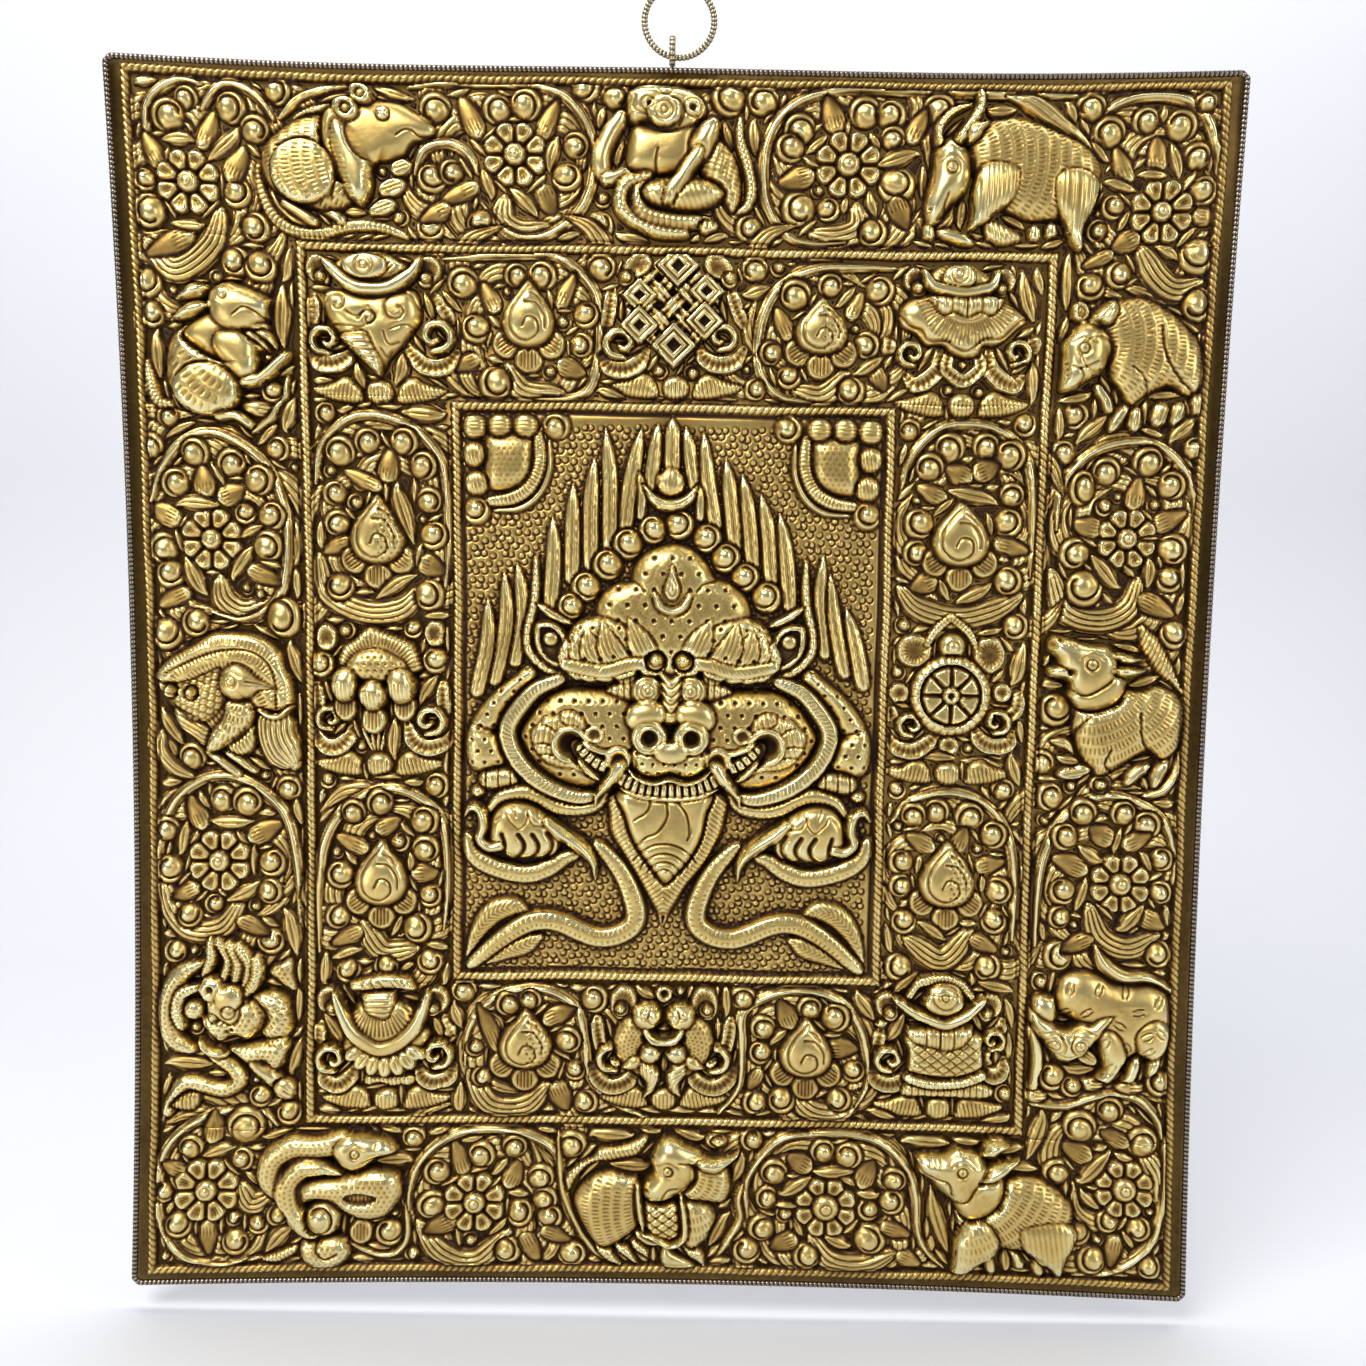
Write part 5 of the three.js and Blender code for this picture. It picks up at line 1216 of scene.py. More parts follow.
def sheep(s):
    for line, width in (([(-7, -21), (-5, -30)], 5.4), ([(3, -18), (8, -27)], 6),
            ([(14, -22), (16, -30)], 6)):
        s.stroke(line, width, 4.6)
    hatched(s, [(-22, 6), (-22, -1), (-20, -9), (-15, -3), (-12, 6)], 1.8, 60, 6)
    coat(s, [(-16, 13), (-8, 12), (0, 14), (8, 16), (18, 14), (26, 8), (30, 2), (30, -7), (28, -18),
        (20, -20), (10, -19), (0, -18), (-5, -16), (-11, -8), (-17, 0)], (-24, 20), 8.6, 9)
    fore = s.blob([(-14, -3), (-19, -8), (-22, -14), (-22, -21), (-23, -29), (-17, -29), (-10, -24),
        (-4, -20), (-3, -13), (-7, -6)], 10, 6, floor=3, over=True)
    s.ruff(fore, (-20, 10), 4.2, 2.0, 0.45)
    hind = s.blob([(6, -7), (8, -16), (14, -22), (20, -26), (24, -30), (26, -22), (30, -14), (30, -6),
        (22, -3), (13, -4)], 10, 7, floor=3, over=True)
    s.hatch(hind, 2.2, 8, 0.3)
    s.blob([(-24, 5), (-19, 14), (-12, 21), (-2, 17), (0, 7), (-6, -2), (-17, -5)], 8.4, 6)
    for line in ([(-10, 26), (-4, 30), (3, 30)], [(-11, 14), (-3, 19), (6, 24)]):
        leaf(s, line, 8.4, 9.8, 1, rib_cut=1.0)
    s.blob([(-40, 23), (-34, 26), (-27, 26), (-20, 29), (-12, 26), (-8, 21), (-10, 15), (-14, 10),
        (-17, 5), (-23, 4), (-29, 8), (-33, 13), (-38, 16)], 10.6, 7, over=True)
    round_eye(s, -20, 19, 2.1)
    s.cut([(-26, 22), (-22, 26), (-17, 26), (-13, 22)], 0.7, 0.8)
    s.cut([(-39, 21), (-36, 17), (-31, 15), (-26, 14), (-24, 8)], 0.9, 1.4)
    for k in range(3):
        s.cut([(-33 + 2 * k, 24), (-33 + 2 * k, 21)], 0.7, 0.9)


def pig(s):
    for line, width in (([(-15, -5), (-11, -10), (-8, -17)], 6), ([(-1, -13), (-5, -19), (-8, -24)], 6),
            ([(3, -14), (2, -24)], 7), ([(14, -12), (11, -22)], 8), ([(21, -12), (19, -22)], 7)):
        leg = s.stroke(line, width, 5)
        s.hatch(leg, 2.0, 90, 0.5)
    coat(s, [(-13, 28), (-4, 30), (4, 30), (12, 26), (20, 20), (27, 12), (30, 3), (30, -6), (24, -10),
        (16, -6), (10, -8), (6, -10), (0, -14), (-4, -10), (-9, -3), (-11, 6), (-14, 13), (-16, 20)],
        (-25, 12), 8.8, 9)
    s.cut([(10, 18), (11, 10), (14, 3), (19, -3), (26, -9)], 1.0, 1.4)
    s.cut([(-1, 2), (4, -3), (7, -10)], 0.9, 1.0)
    s.oval(-23, 24, 4.2, 5, 7.5, 20)
    s.oval(-23, 24, 1.9, 2.6, 5.4, 20, floor=4)
    s.blob([(-20, 20), (-16, 26), (-10, 29), (-8, 24), (-12, 18)], 10.6, 4, over=True)
    s.cut([(-16, 20), (-13, 24), (-10, 26)], 0.8, 1.0)
    s.blob([(-30, 12), (-26, 18), (-20, 21), (-14, 18), (-10, 12), (-10, 6), (-12, 0), (-17, -3),
        (-20, -5), (-24, -8), (-30, -8), (-30, 0), (-30, 7)], 10.4, 7, over=True)
    s.ring(-16, 7, 7.0, 0.7, 0.7)
    round_eye(s, -22, 9, 2.1)
    s.cut([(-26, 2), (-23, 1), (-20, 2), (-16, 4)], 0.8, 1.1)
    s.cut([(-23, 1), (-21, -2), (-22, -6)], 0.9, 1.2)
    for k in range(3):
        s.pit(-28 + 0.2 * k, 3 - 2.4 * k, 0.8, 1.2)
    curl(s, 30, 14, 3.6, 0, 1)
    s.oval(29, -13, 4.4, 5.4, 4.6)


def dog(s):
    s.stroke([(30, -16), (28, -26), (23, -33), (14, -36)], 5, 4, ribs=1)
    blade = leaf(s, [(10, 35), (15, 27), (21, 18), (30, 7)], 9.5, 5, 0)
    s.hatch(blade, 1.8, 35, 0.7)
    for line in ([(6, -31), (10, -26), (16, -22)], [(18, -32), (20, -26), (24, -20)]):
        foot = s.stroke(line, 6.4, 5.5)
        s.hatch(foot, 1.8, 90, 0.5)
    coat(s, [(-17, 9), (-18, 0), (-18, -7), (-16, -15), (-12, -22), (-7, -28), (0, -26), (9, -20),
        (15, -17), (21, -21), (28, -16), (30, -6), (30, 3), (24, 9.5), (17, 11.5), (10, 9.5), (3, 10.5),
        (-1, 15), (-10, 12)], (-14, 22), 8.8, 9)
    for line in ([(-11, -2), (-16, -8), (-16, -15), (-12, -22), (-7, -27)],
            [(10, 0), (11, -10), (15, -16), (21, -20)], [(-2, -16), (-4, -22), (0, -26)]):
        s.cut(line, 1.0, 1.4)
    petal(s, -16, -26, 8, 3.2, 10, 5)
    curl(s, -5, -31, 4.6, 0, 1, r2=3.6)
    s.blob([(-21, 8), (-17, 18), (-8, 24), (2, 20), (5, 12), (1, 3), (-10, -1), (-19, 2)], 8.8, 6)
    leaf(s, [(-2, 24), (4, 22), (11, 22)], 5, 8.5, 1)
    leaf(s, [(-3, 17.5), (4, 16.8), (13, 17.5)], 6, 9, 1)
    s.blob([(-30, 26), (-28, 32), (-20, 31), (-12, 29), (-4, 28), (0, 21), (-2, 14), (-8, 9), (-14, 6.5),
        (-19, 9), (-22, 12.8), (-28, 13.6), (-30, 17.5), (-26, 21)], 10.4, 6, over=True)
    round_eye(s, -12, 20, 2.3)
    s.cut([(-30, 20), (-27, 20), (-23, 18.4), (-20, 16.5)], 1.2, 2.2)
    for x, z, r in ((-20, 16.5, 1.6), (-28, 28, 1.5), (-25, 30, 1.1)):
        s.pit(x, z, r, 2.2)
    for k in range(3):
        s.cut([(-23 + 1.6 * k, 29), (-22 + 1.8 * k, 27)], 0.7, 0.8)
    curl(s, -25, 0, 7.6, 90, 1)
    leaf(s, [(-26, -13), (-20, -14), (-16, -19)], 6, 4.4, 2)


STRIPES = ((-15, 21, 75), (-3, 21, 60), (9, 20, 70), (-17, 10, 45), (-8, 11, 40), (23, 16, 50),
    (14, 12, 10), (18, 2, 30), (24, 3, 140), (19, -5, 45), (6, 6, 150), (10, -4, 120), (0, -2, 60),
    (3, -13, 60))


def tiger(s):
    s.stroke([(-4, 39), (0, 31), (8, 26), (17, 26), (24, 24), (30, 20)], 8, 6, ribs=1,
        swell=(0.3, 1, 1, 0.8, 0.6, 0.4))
    s.blob([(-32, 11), (-30, 17), (-25, 18), (-20, 16), (-19, 9), (-22, 3), (-28, 4)], 8, 5)
    for line, width in (([(-31, 2), (-28, -7), (-28, -18), (-30, -26)], 6),
            ([(15, -10), (13, -17), (10, -22)], 6), ([(24, -9), (21, -17)], 6)):
        limb(s, line, width, 6.5)
    s.blob([(-21, 18), (-19, 24), (-14, 28), (-8, 29), (-1, 27), (4, 24), (13, 23), (21, 23), (28, 19),
        (30, 11), (30, 0), (24, -9), (15, -8), (9, -12), (2, -8), (-4, -1), (-14, 7), (-20, 10)], 9.0, 9)
    s.blob([(22, 9), (16, 6), (13, 1), (15, -6), (20, -10), (26, -8), (29, 0), (28, 6)], 10, 6, over=True)
    s.blob([(-3, 3), (-2, -7), (0, -14), (-4, -20), (2, -22), (7, -17), (10, -11), (10, -5), (7, 1),
        (3, 4)], 9.6, 5, over=True)
    for x, z, turn in STRIPES:
        a = math.radians(turn)
        for side in (-0.9, 0.9):
            dx, dz = 2.3 * math.cos(a), 2.3 * math.sin(a)
            out_x, out_z = -side * math.sin(a), side * math.cos(a)
            s.cut([(x - dx + out_x, z - dz + out_z), (x + 1.5 * out_x, z + 1.5 * out_z),
                (x + dx + out_x, z + dz + out_z)], 0.7, 1.0)
    for x, z, rx in ((-4, -22, 6.5), (-28, -28, 6), (13, -23, 7)):
        paw(s, x, z, rx, 3.4, 0, 4)
    petal(s, -6, -10, 5.4, 3.6, -30, 5)
    s.blob([(-33, 12), (-27, 8), (-22, 6), (-16, 4), (-10, 6), (-6, 6), (-2, 9), (4, 10), (0, 4),
        (-3, -2), (-6, -6), (-11, -10), (-16, -12), (-21, -10), (-27, -2), (-32, 5)], 11.4, 5, over=True)
    for x in (-22, -11):
        s.ring(x, -3, 2.3, 0.6, 1.2)
        s.pit(x, -3, 0.6, 0.8)
        s.ring(x, -3, 4.0, 0.6, 0.7)
    for line in ([(-19, 1), (-17, -3), (-18, -6)], [(-13, 1), (-15, -3), (-13, -6)],
            [(-20, -7), (-16, -8), (-12, -7)], [(-27, 2), (-22, 3), (-18, 0)],
            [(-14, 1), (-10, 4), (-4, 2)]):
        s.cut(line, 0.7, 1.0)
    for x, z, r in ((-21, -20, 6.6), (-12, -24, 5.2), (26, -21, 6.4)):
        curl(s, x, z, r, 90, 1)


def animals(s):
    for animal, x, z in ((rat, -140, 220), (monkey, 0, 220), (ox, 140, 220), (rabbit, -190, 140),
            (rooster, -190, 0), (dragon, -190, -140), (snake, -140, -220), (horse, 0, -220),
            (sheep, 150, -220), (pig, 190, 140), (dog, 190, 0), (tiger, 190, -140)):
        animal(s.around(x, z))


# The guardian mask and its ground

def pocks(s, form, pitch=7.5, r=1.05):
    """Round holes in staggered rows, with a dotted circle round each."""
    row = np.round(form.v / (pitch * 0.87))
    du = ((form.u / pitch + 0.5 * (row % 2)) % 1 - 0.5) * pitch
    dv = form.v - row * pitch * 0.87
    away = np.hypot(du, dv)
    cover = np.clip((form.cover - 0.6) * 4, 0, 1)
    ticks = np.clip(np.sin(np.arctan2(dv, du) * 14) * 2, 0, 1)
    circle = np.exp(-((away - 0.47 * pitch) / 0.4) ** 2) * ticks
    s.h[form.window] -= (1.5 * np.exp(-(away / r) ** 4) + 0.35 * circle) * cover


def punched_ground(s):
    """Small ring punches, close together, over the mask's field."""
    rng = np.random.default_rng(7)
    low_x, high_x, low_z, high_z = -86, 88, -117, 120
    pitch = 3.75
    field = s.window(-90, 91, -120, 123)[0]
    s.h[field] = 1.1
    for j in range(int((high_z - low_z) / (pitch * 0.88))):
        for i in range(int((high_x - low_x) / pitch)):
            x = low_x + (i + 0.5 * (j % 2) + rng.uniform(-0.22, 0.22)) * pitch
            z = low_z + (j + rng.uniform(-0.22, 0.22)) * pitch * 0.88
            place, gx, gz = s.window(x - 2.6, x + 2.6, z - 2.6, z + 2.6)
            away = np.hypot(gx - x, gz - z)
            side = 0.6 + 0.4 * np.cos(np.arctan2(gz - z, gx - x) + 0.9)
            rim = np.exp(-((away - 1.35) / 0.38) ** 2)
            s.h[place] += 0.15 * np.exp(-(away / 0.9) ** 6) - 1.15 * side * rim


def corner_suns(s):
    for side in (-1, 1):
        dome = s.blob([(x * side, z) for x, z in ((77, 111), (60, 111), (58, 101), (60, 93), (67, 88.5),
            (76, 88), (79, 93), (78.5, 102))], 6.5, 6)
        s.dots(dome, 2.4, 0.45, 0.55)
        band(s, [(x * side, z) for x, z in ((56, 111), (55.5, 99), (59.5, 90), (67, 85), (77, 83.5))], 6,
            4.4, 1.6)
        s.stroke([(x * side, z) for x, z in ((51.5, 109), (51.5, 97), (56, 86.5), (64, 80.8),
            (75, 79.8))], 3, 3.2)
        for x, z in ((82.8, 114.5), (72, 114.8), (61.5, 114.8), (83, 103), (82, 91)):
            bead = s.oval(x * side, z, 5.6, 5.6, 4.8, power=3)
            s.hatch(bead, 1.5, 90 if z > 110 else 10, 0.5)
        curl(s, 48.5 * side, 115, 6, 200, side)
        curl(s, 82.3 * side, 79.5, 6, 90, side)


FLAMES = (((0, 97), (0, 108), (0, 119), 6.6), ((-9, 91), (-7.5, 103), (-6, 116), 5.6),
    ((9.5, 91), (7.5, 103), (5.5, 115), 5.6), ((-20, 72), (-17, 93), (-13, 114), 6.6),
    ((-26, 65), (-26, 93), (-28, 114), 6.4), ((-34, 58), (-34, 82), (-32.5, 102), 6.6),
    ((-42, 52), (-41.5, 73), (-41.5, 91), 6.4), ((-51, 40), (-49.5, 60), (-50, 77), 6.4),
    ((18.5, 75), (15, 93), (13, 113), 6.2), ((27, 66), (25, 84), (22.5, 102), 6.4),
    ((34.5, 59), (32.5, 78), (29.5, 96), 6.4), ((42.5, 52), (41, 70), (37.5, 88), 6.4),
    ((50.5, 42), (48.5, 62), (45.5, 80), 6.4), ((-66, 17), (-62.5, 38), (-65, 58), 6.4),
    ((-74.5, 9), (-69.5, 33), (-70.5, 54), 6.6), ((-82, 4), (-77.5, 24), (-77.5, 43), 6.4),
    ((66, 22), (63.5, 45), (64.5, 63), 5.8), ((74.5, 14), (69.5, 36), (67.5, 55), 6),
    ((82.5, 9), (78.5, 27), (74.5, 41), 6.4), ((-13, 78), (-12.5, 88), (-14, 97), 4),
    ((12, 78), (12, 86), (11, 92), 4),)


def hair_flames(s):
    for base, middle, tip, width in FLAMES:
        form = s.stroke([base, middle, tip], 1.2 * width, 4.8, swell=(0.85, 1, 1, 0.97, 0.88, 0.66, 0.08),
            power=3.5)
        s.h[form.window] -= 0.55 * grooves(form.v + 0.2 * np.sin(form.u * 1.3), 1.8, 0.5) * form.cover


def mirrored(side, *points):
    return [(x * side, z) for x, z in points]


def crown(s):
    for x, z, r in ((3.5, 74.5, 6.6), (-8, 72.3, 6.4), (-18.5, 66.3, 7), (-27, 57.5, 7), (-36, 48.2, 6.8),
            (-42.5, 40, 6), (15.3, 69, 6.6), (23.3, 61, 6.8), (31.5, 53, 6.6), (40.8, 45, 7)):
        curl(s, x, z, r, 120 if x > 0 else 60, -1 if x > 0 else 1, up=6.5)
    s.blob([(-12.5, 92), (-6, 87), (-1, 85.6), (5, 87), (11, 92), (9.6, 84.5), (4.5, 80.6), (-1, 79.4),
        (-6.5, 80.8), (-10.5, 85)], 6.5, 2.6)
    s.cut([(-11, 88.5), (-6, 84), (-1, 82.6), (5, 84), (9.5, 88)], 0.8, 1.0)
    disc = s.oval(-0.5, 92, 6.4, 6, 6.2, power=3, over=True)
    s.hatch(disc, 1.8, 0, 0.3)


BROW_HAIRS = (((38, 15), (42.5, 20), (44, 26)), ((33, 14), (37.4, 21), (39.8, 29.4)),
    ((27, 14), (33, 22), (35, 31.6)), ((19, 14), (25.4, 23), (28.4, 34.4)),
    ((8, 16), (12.5, 25), (17.6, 35.6)))


def ears(s):
    for side in (-1, 1):
        tube = s.stroke(mirrored(side, (57, 60), (57, 50), (57.8, 41), (60.3, 31), (60.4, 23), (56.5, 17),
            (49, 12), (40, 10.6), (28, 10)), 5, 5.6, swell=(0.5, 0.9, 1, 1, 1, 1, 0.9, 0.5))
        s.hatch(tube, 4.6, 0, 0.7, 0.2)
        s.stroke(mirrored(side, (56.5, 41), (50, 36.6), (42, 32.6)), 4.4, 5.6)
        s.blob(mirrored(side, (57.5, 33), (50, 34), (44.5, 30), (42, 22), (42, 13), (47, 13.4),
            (53, 16.5), (57.6, 23)), 8.0, 3, over=True)
        hollow = s.blob(mirrored(side, (55, 30.5), (50, 31), (46, 27), (44.5, 20), (46, 16.5),
            (50.5, 17.6), (54.4, 22)), 5.4, 3, floor=3.6)
        s.h[hollow.window] -= 1.5 * hollow.cover
        s.oval(50.5 * side, 26.4, 3.4, 3.2, 6.0, floor=3, over=True)


def forehead(s):
    brow = s.blob([(0, 67), (9.5, 65), (16, 58.5), (19, 53), (25, 51.5), (31.5, 46.5), (34.5, 39),
        (33, 31), (22, 19), (7, 11), (1, 8.5), (-6, 11), (-21, 19), (-31, 31), (-32, 39), (-29, 46),
        (-23, 50.3), (-17.5, 51.5), (-15.5, 58), (-10.5, 63.5)], 9.8, 8)
    pocks(s, brow)
    for side in (-1, 1):
        s.cut(mirrored(side, (11, 47), (14, 50), (19, 51.5)), 1.0, 1.3)
        block = s.blob(mirrored(side, (44.5, 22), (43.8, 28), (40, 33.5), (33.5, 36.4), (26, 35.6),
            (19, 33), (12, 28), (8, 22.5), (2, 20), (1.6, 15.5), (7, 12.8), (14, 13), (22, 10.8),
            (30, 9.8), (38, 11.6), (42.5, 16)), 10.6, 5, over=True)
        pocks(s, block, 5.5, 0.85)
        for line in BROW_HAIRS:
            hair = s.stroke(mirrored(side, *line), 12, 11.2, swell=(1, 1, 1, 0.85, 0.5, 0.05), power=5,
                over=True)
            s.h[hair.window] -= 0.55 * grooves(hair.v, 1.8, 0.5) * hair.cover
        base = s.stroke(mirrored(side, (44, 16), (37, 14.6), (27, 13.4), (16, 16.4), (7, 16.6)), 6.5,
            11.2, tip=0.8, power=4, over=True)
        s.h[base.window] -= 0.5 * grooves(base.u + 0.9 * side * base.v, 1.8, 0.5) * base.cover
        for x, z in ((16.5, 21), (23.5, 19.5), (29, 18.4), (35.5, 18.4)):
            s.pit(x * side, z, 1.0, 1.6)
        curl(s, 6 * side, 17.6, 4.6, 100, -side, up=11.6)
    s.stroke([(-7, 46.5), (-4, 40.6), (0.8, 38.6), (5.4, 40.6), (8.6, 46.5)], 4.4, 11.4, tip=0.25,
        over=True, ribs=1)
    s.blob([(0.6, 58.5), (3.2, 52), (4.4, 47.5), (3, 43.4), (0.6, 42.6), (-1.8, 43.4), (-3.2, 47.5),
        (-1.8, 52)], 11.6, 2.2, over=True)
    s.cut([(0.6, 53), (2.4, 48.5), (0.8, 45.2), (-1, 48.5), (0.4, 53)], 0.6, 0.8)


def cheeks(s):
    for side in (-1, 1):
        upper = s.blob(mirrored(side, (60, 15.4), (67.5, 10), (75, 4), (81, -3), (85, -10), (83.5, -13),
            (76, -13.6), (72, -10), (69.5, -4), (63.5, 3.4), (56, 11)), 7, 4)
        pocks(s, upper, 5.6, 0.9)
        lower = s.blob(mirrored(side, (85, -10.5), (78, -11.6), (73, -14.6), (70.6, -20), (69.6, -26.5),
            (74, -28.6), (80, -30.6), (85, -28.5), (87, -20)), 8, 5, over=True)
        pocks(s, lower, 5.6, 0.9)
        knuckles = s.blob(mirrored(side, (80, -30), (74, -28.4), (68, -28.4), (64.5, -31.5), (64, -35.6),
            (70, -37.4), (78, -38.4), (81.5, -34.6)), 6.5, 3)
        s.hatch(knuckles, 5.2, 0, 1.4, 0.2)
        s.hatch(knuckles, 1.8, 0, 0.3)
        s.oval(81.5 * side, -39, 3.4, 2.8, 5)
        collar = s.stroke(mirrored(side, (46, 9.6), (56.5, 5), (63.6, -2.6), (68.2, -10), (68.4, -16),
            (65.6, -23), (61, -29), (54, -34.6), (46, -38.6), (38, -40.8), (32, -40.4)), 8, 8, power=5,
            tip=0.6)
        slant = grooves(collar.u - 0.5 * collar.v, 1.8, 0.5)
        s.h[collar.window] -= 0.6 * slant * collar.cover * (collar.v * side < 1.6)
        disc = s.blob(mirrored(side, (16, 4), (24, 5.6), (32, 6), (42, 6), (50, 3.4), (56.5, -2),
            (61.5, -9), (63.8, -14), (62, -19.6), (58.6, -25.4), (53, -31), (46, -35), (38, -37),
            (31, -36.4), (24, -33), (15, -30), (10, -14)), 8.8, 9)
        pocks(s, disc, 6.0, 0.95)
        plume = s.blob(mirrored(side, (34.5, -14), (35.5, -7), (39.5, -3.6), (44, -3), (48, -5.4),
            (52.6, -6), (55, -9), (58.6, -12), (58.4, -17), (56.4, -21.6), (52, -26), (46, -28),
            (40, -28.6), (35, -31), (30, -33), (31, -28), (36, -24)), 9.8, 3, over=True)
        s.hatch(plume, 2.2, 12 * side, 0.45, 0.45)
        for line in (((46, -5.5), (45.6, -8), (43.5, -9.5)), ((53.6, -9.6), (50.5, -10.4), (48.5, -12)),
                ((57.6, -18), (53, -17.4), (50.6, -18)), ((55, -22.6), (51.5, -22), (49, -22.6))):
            s.cut(mirrored(side, *line), 0.9, 1.2)
        s.oval(41.6 * side, -17.8, 8, 7.8, 11.4, floor=6, power=6, over=True)
        s.pit(41.6 * side, -17.8, 5.2, 7.5)
        s.oval(31.5 * side, -13.6, 4, 3.4, 10, floor=7, over=True)
        s.pit(31.5 * side, -13.6, 2.6, 3.0)
        s.stroke(mirrored(side, (25, -30), (31, -26), (36, -22.5), (39, -19)), 10, 5, power=4, tip=0.8)
        teeth = s.stroke(mirrored(side, (26, -28), (31.5, -25), (37.5, -19.6)), 5.6, 9.0, floor=3,
            power=5, tip=0.8)
        s.hatch(teeth, 3.4, 0, 3.4, 0.3)
        for line in (((22, -21), (28, -21), (33, -19), (37, -16.4)), ((29, -33), (34, -29), (38.5, -24))):
            s.stroke(mirrored(side, *line), 3.2, 10.4, over=True)
        s.oval(21.4 * side, -24, 5.8, 5.4, 10.4, floor=5, over=True)
        s.pit(21 * side, -24.4, 3.4, 4.0)


def snout(s):
    for side in (-1, 1):
        lid = s.stroke(mirrored(side, (8, 5.5), (15, 5.8), (25, 5.4)), 12.6, 9.5,
            swell=(1, 1, 0.95, 0.8, 0.6, 0.3), over=True)
        s.hatch(lid, 2.8, 0, 1.0, 0.35)
        s.oval(9.6 * side, 5.4, 6.4, 6.2, 11.6, floor=7)
        for r in (4.6, 2.8, 1.0):
            s.ring(9.0 * side, 5.4, r, 0.7, 1.1)
    s.blob([(-4.6, 14), (0.8, 11), (6, 14), (5.4, 4), (7, -6), (0.8, -10), (-5.6, -6), (-4, 4)], 10.4,
        3.4, over=True)
    for k in range(4):
        s.cut([(-3.6, 10 - 3.4 * k), (0.8, 6.2 - 3.4 * k), (5.2, 10 - 3.4 * k)], 1.0, 1.2)
    muzzle = s.blob([(-15.5, -20), (-8, -17), (0.5, -19), (9, -17), (17, -20), (17, -27), (13, -31.6),
        (7, -33), (1, -31.2), (-5, -33), (-12, -31.6), (-15.5, -27)], 11, 5, over=True)
    pocks(s, muzzle, 4.6, 0.85)
    s.cut([(-14, -24), (-13, -29), (-7, -31.4), (0.8, -29.6), (8, -31.4), (14.6, -29), (15.6, -24)], 0.8, 1.0)
    for side in (-1, 1):
        s.oval(10.6 * side + 0.8, -5.4, 8.6, 7, 12.4, -20 * side, floor=5, power=2.6, over=True)
        s.oval(8.8 * side + 0.8, -14.4, 7.6, 7.2, 12.4, floor=8, power=5, over=True)
        s.ring(8.9 * side + 0.8, -14.6, 5.4, 0.7, 0.9)
        s.pit(8.9 * side + 0.8, -14.6, 3.2, 6.5)
    s.oval(1.2, -20.5, 7.2, 4.6, 13, floor=8, over=True)


def mouth(s):
    rim = s.blob([(-21.5, -37), (-25, -50), (-23.6, -58), (-18, -67), (-12, -77), (-7, -86), (-4, -91.4),
        (-1.4, -97.4), (1.4, -92), (5, -86), (9, -79), (15.4, -71), (21, -61), (24.6, -51), (22, -37)],
        6.6, 3)
    s.h[rim.window] -= 0.8 * grooves((rim.v + 0.8 * np.abs(rim.u)) / 2.4, 1, 0.45) * rim.cover
    s.blob([(-20.4, -37), (-18.8, -49), (-15, -60), (-9, -69), (-4.4, -75), (-0.4, -79), (4, -75),
        (10, -68), (15, -58.6), (17.2, -48), (17.5, -37)], 8.4, 4, crown=0.02)
    for line in ([(-7, -40), (-8.5, -46), (-14, -50)], [(-1, -40), (0, -48), (-4, -55), (-9, -57.4),
            (-13.4, -61.4)], [(2.5, -40), (8, -47), (9.6, -55), (8.6, -58.4)]):
        s.cut(line, 0.9, 1.1)
    for r, low, high in ((4, 10, 190), (7.2, 15, 165), (10.8, 20, 160), (15, 26, 152)):
        s.cut([(-1 + r * math.cos(math.radians(a)), -75 + r * math.sin(math.radians(a)))
            for a in np.linspace(low, high, 7)], 0.8, 1.1)
    lip = s.stroke([(-21, -32), (-12, -35.4), (0.5, -36.8), (13, -35.4), (22, -32)], 7.6, 8.8, over=True,
        power=6, tip=0.8)
    s.hatch(lip, 3.1, 0, 3.4, 0.4)
    s.stroke([(-17, -28.5), (-13, -32), (-6, -34), (1, -32.4), (7.6, -34), (14, -32), (18.4, -28.5)], 2.4,
        11.6, over=True)
    s.stroke([(-21, -36.4), (-12, -39.8), (0.5, -41), (13, -39.8), (22, -36.4)], 2.4, 8.6, over=True)
    for side in (-1, 1):
        s.stroke(mirrored(side, (20.5, -27), (24.5, -33), (29.6, -39), (31, -44)), 6.6, 11,
            swell=(1, 1, 0.9, 0.7, 0.4, 0.08), over=True)


SNAKES = (((76.5, -47), (71, -41), (62, -39), (55, -41), (49, -44.4), (42, -46), (34, -45.2), (29, -42.4),
    (25.5, -36)), ((86, -58), (83.5, -66), (76, -71), (66, -74), (58, -74.4), (50, -71.4), (44, -67.6),
    (39, -66)), ((30, -61.5), (25, -66.5), (19, -74), (14.8, -83), (12.8, -91), (14.6, -97), (21, -101),
    (29, -102), (37, -99.4), (44, -96.2), (51, -94.6), (58, -95.4), (65, -99), (72, -104), (79, -110),
    (84, -114.5)))


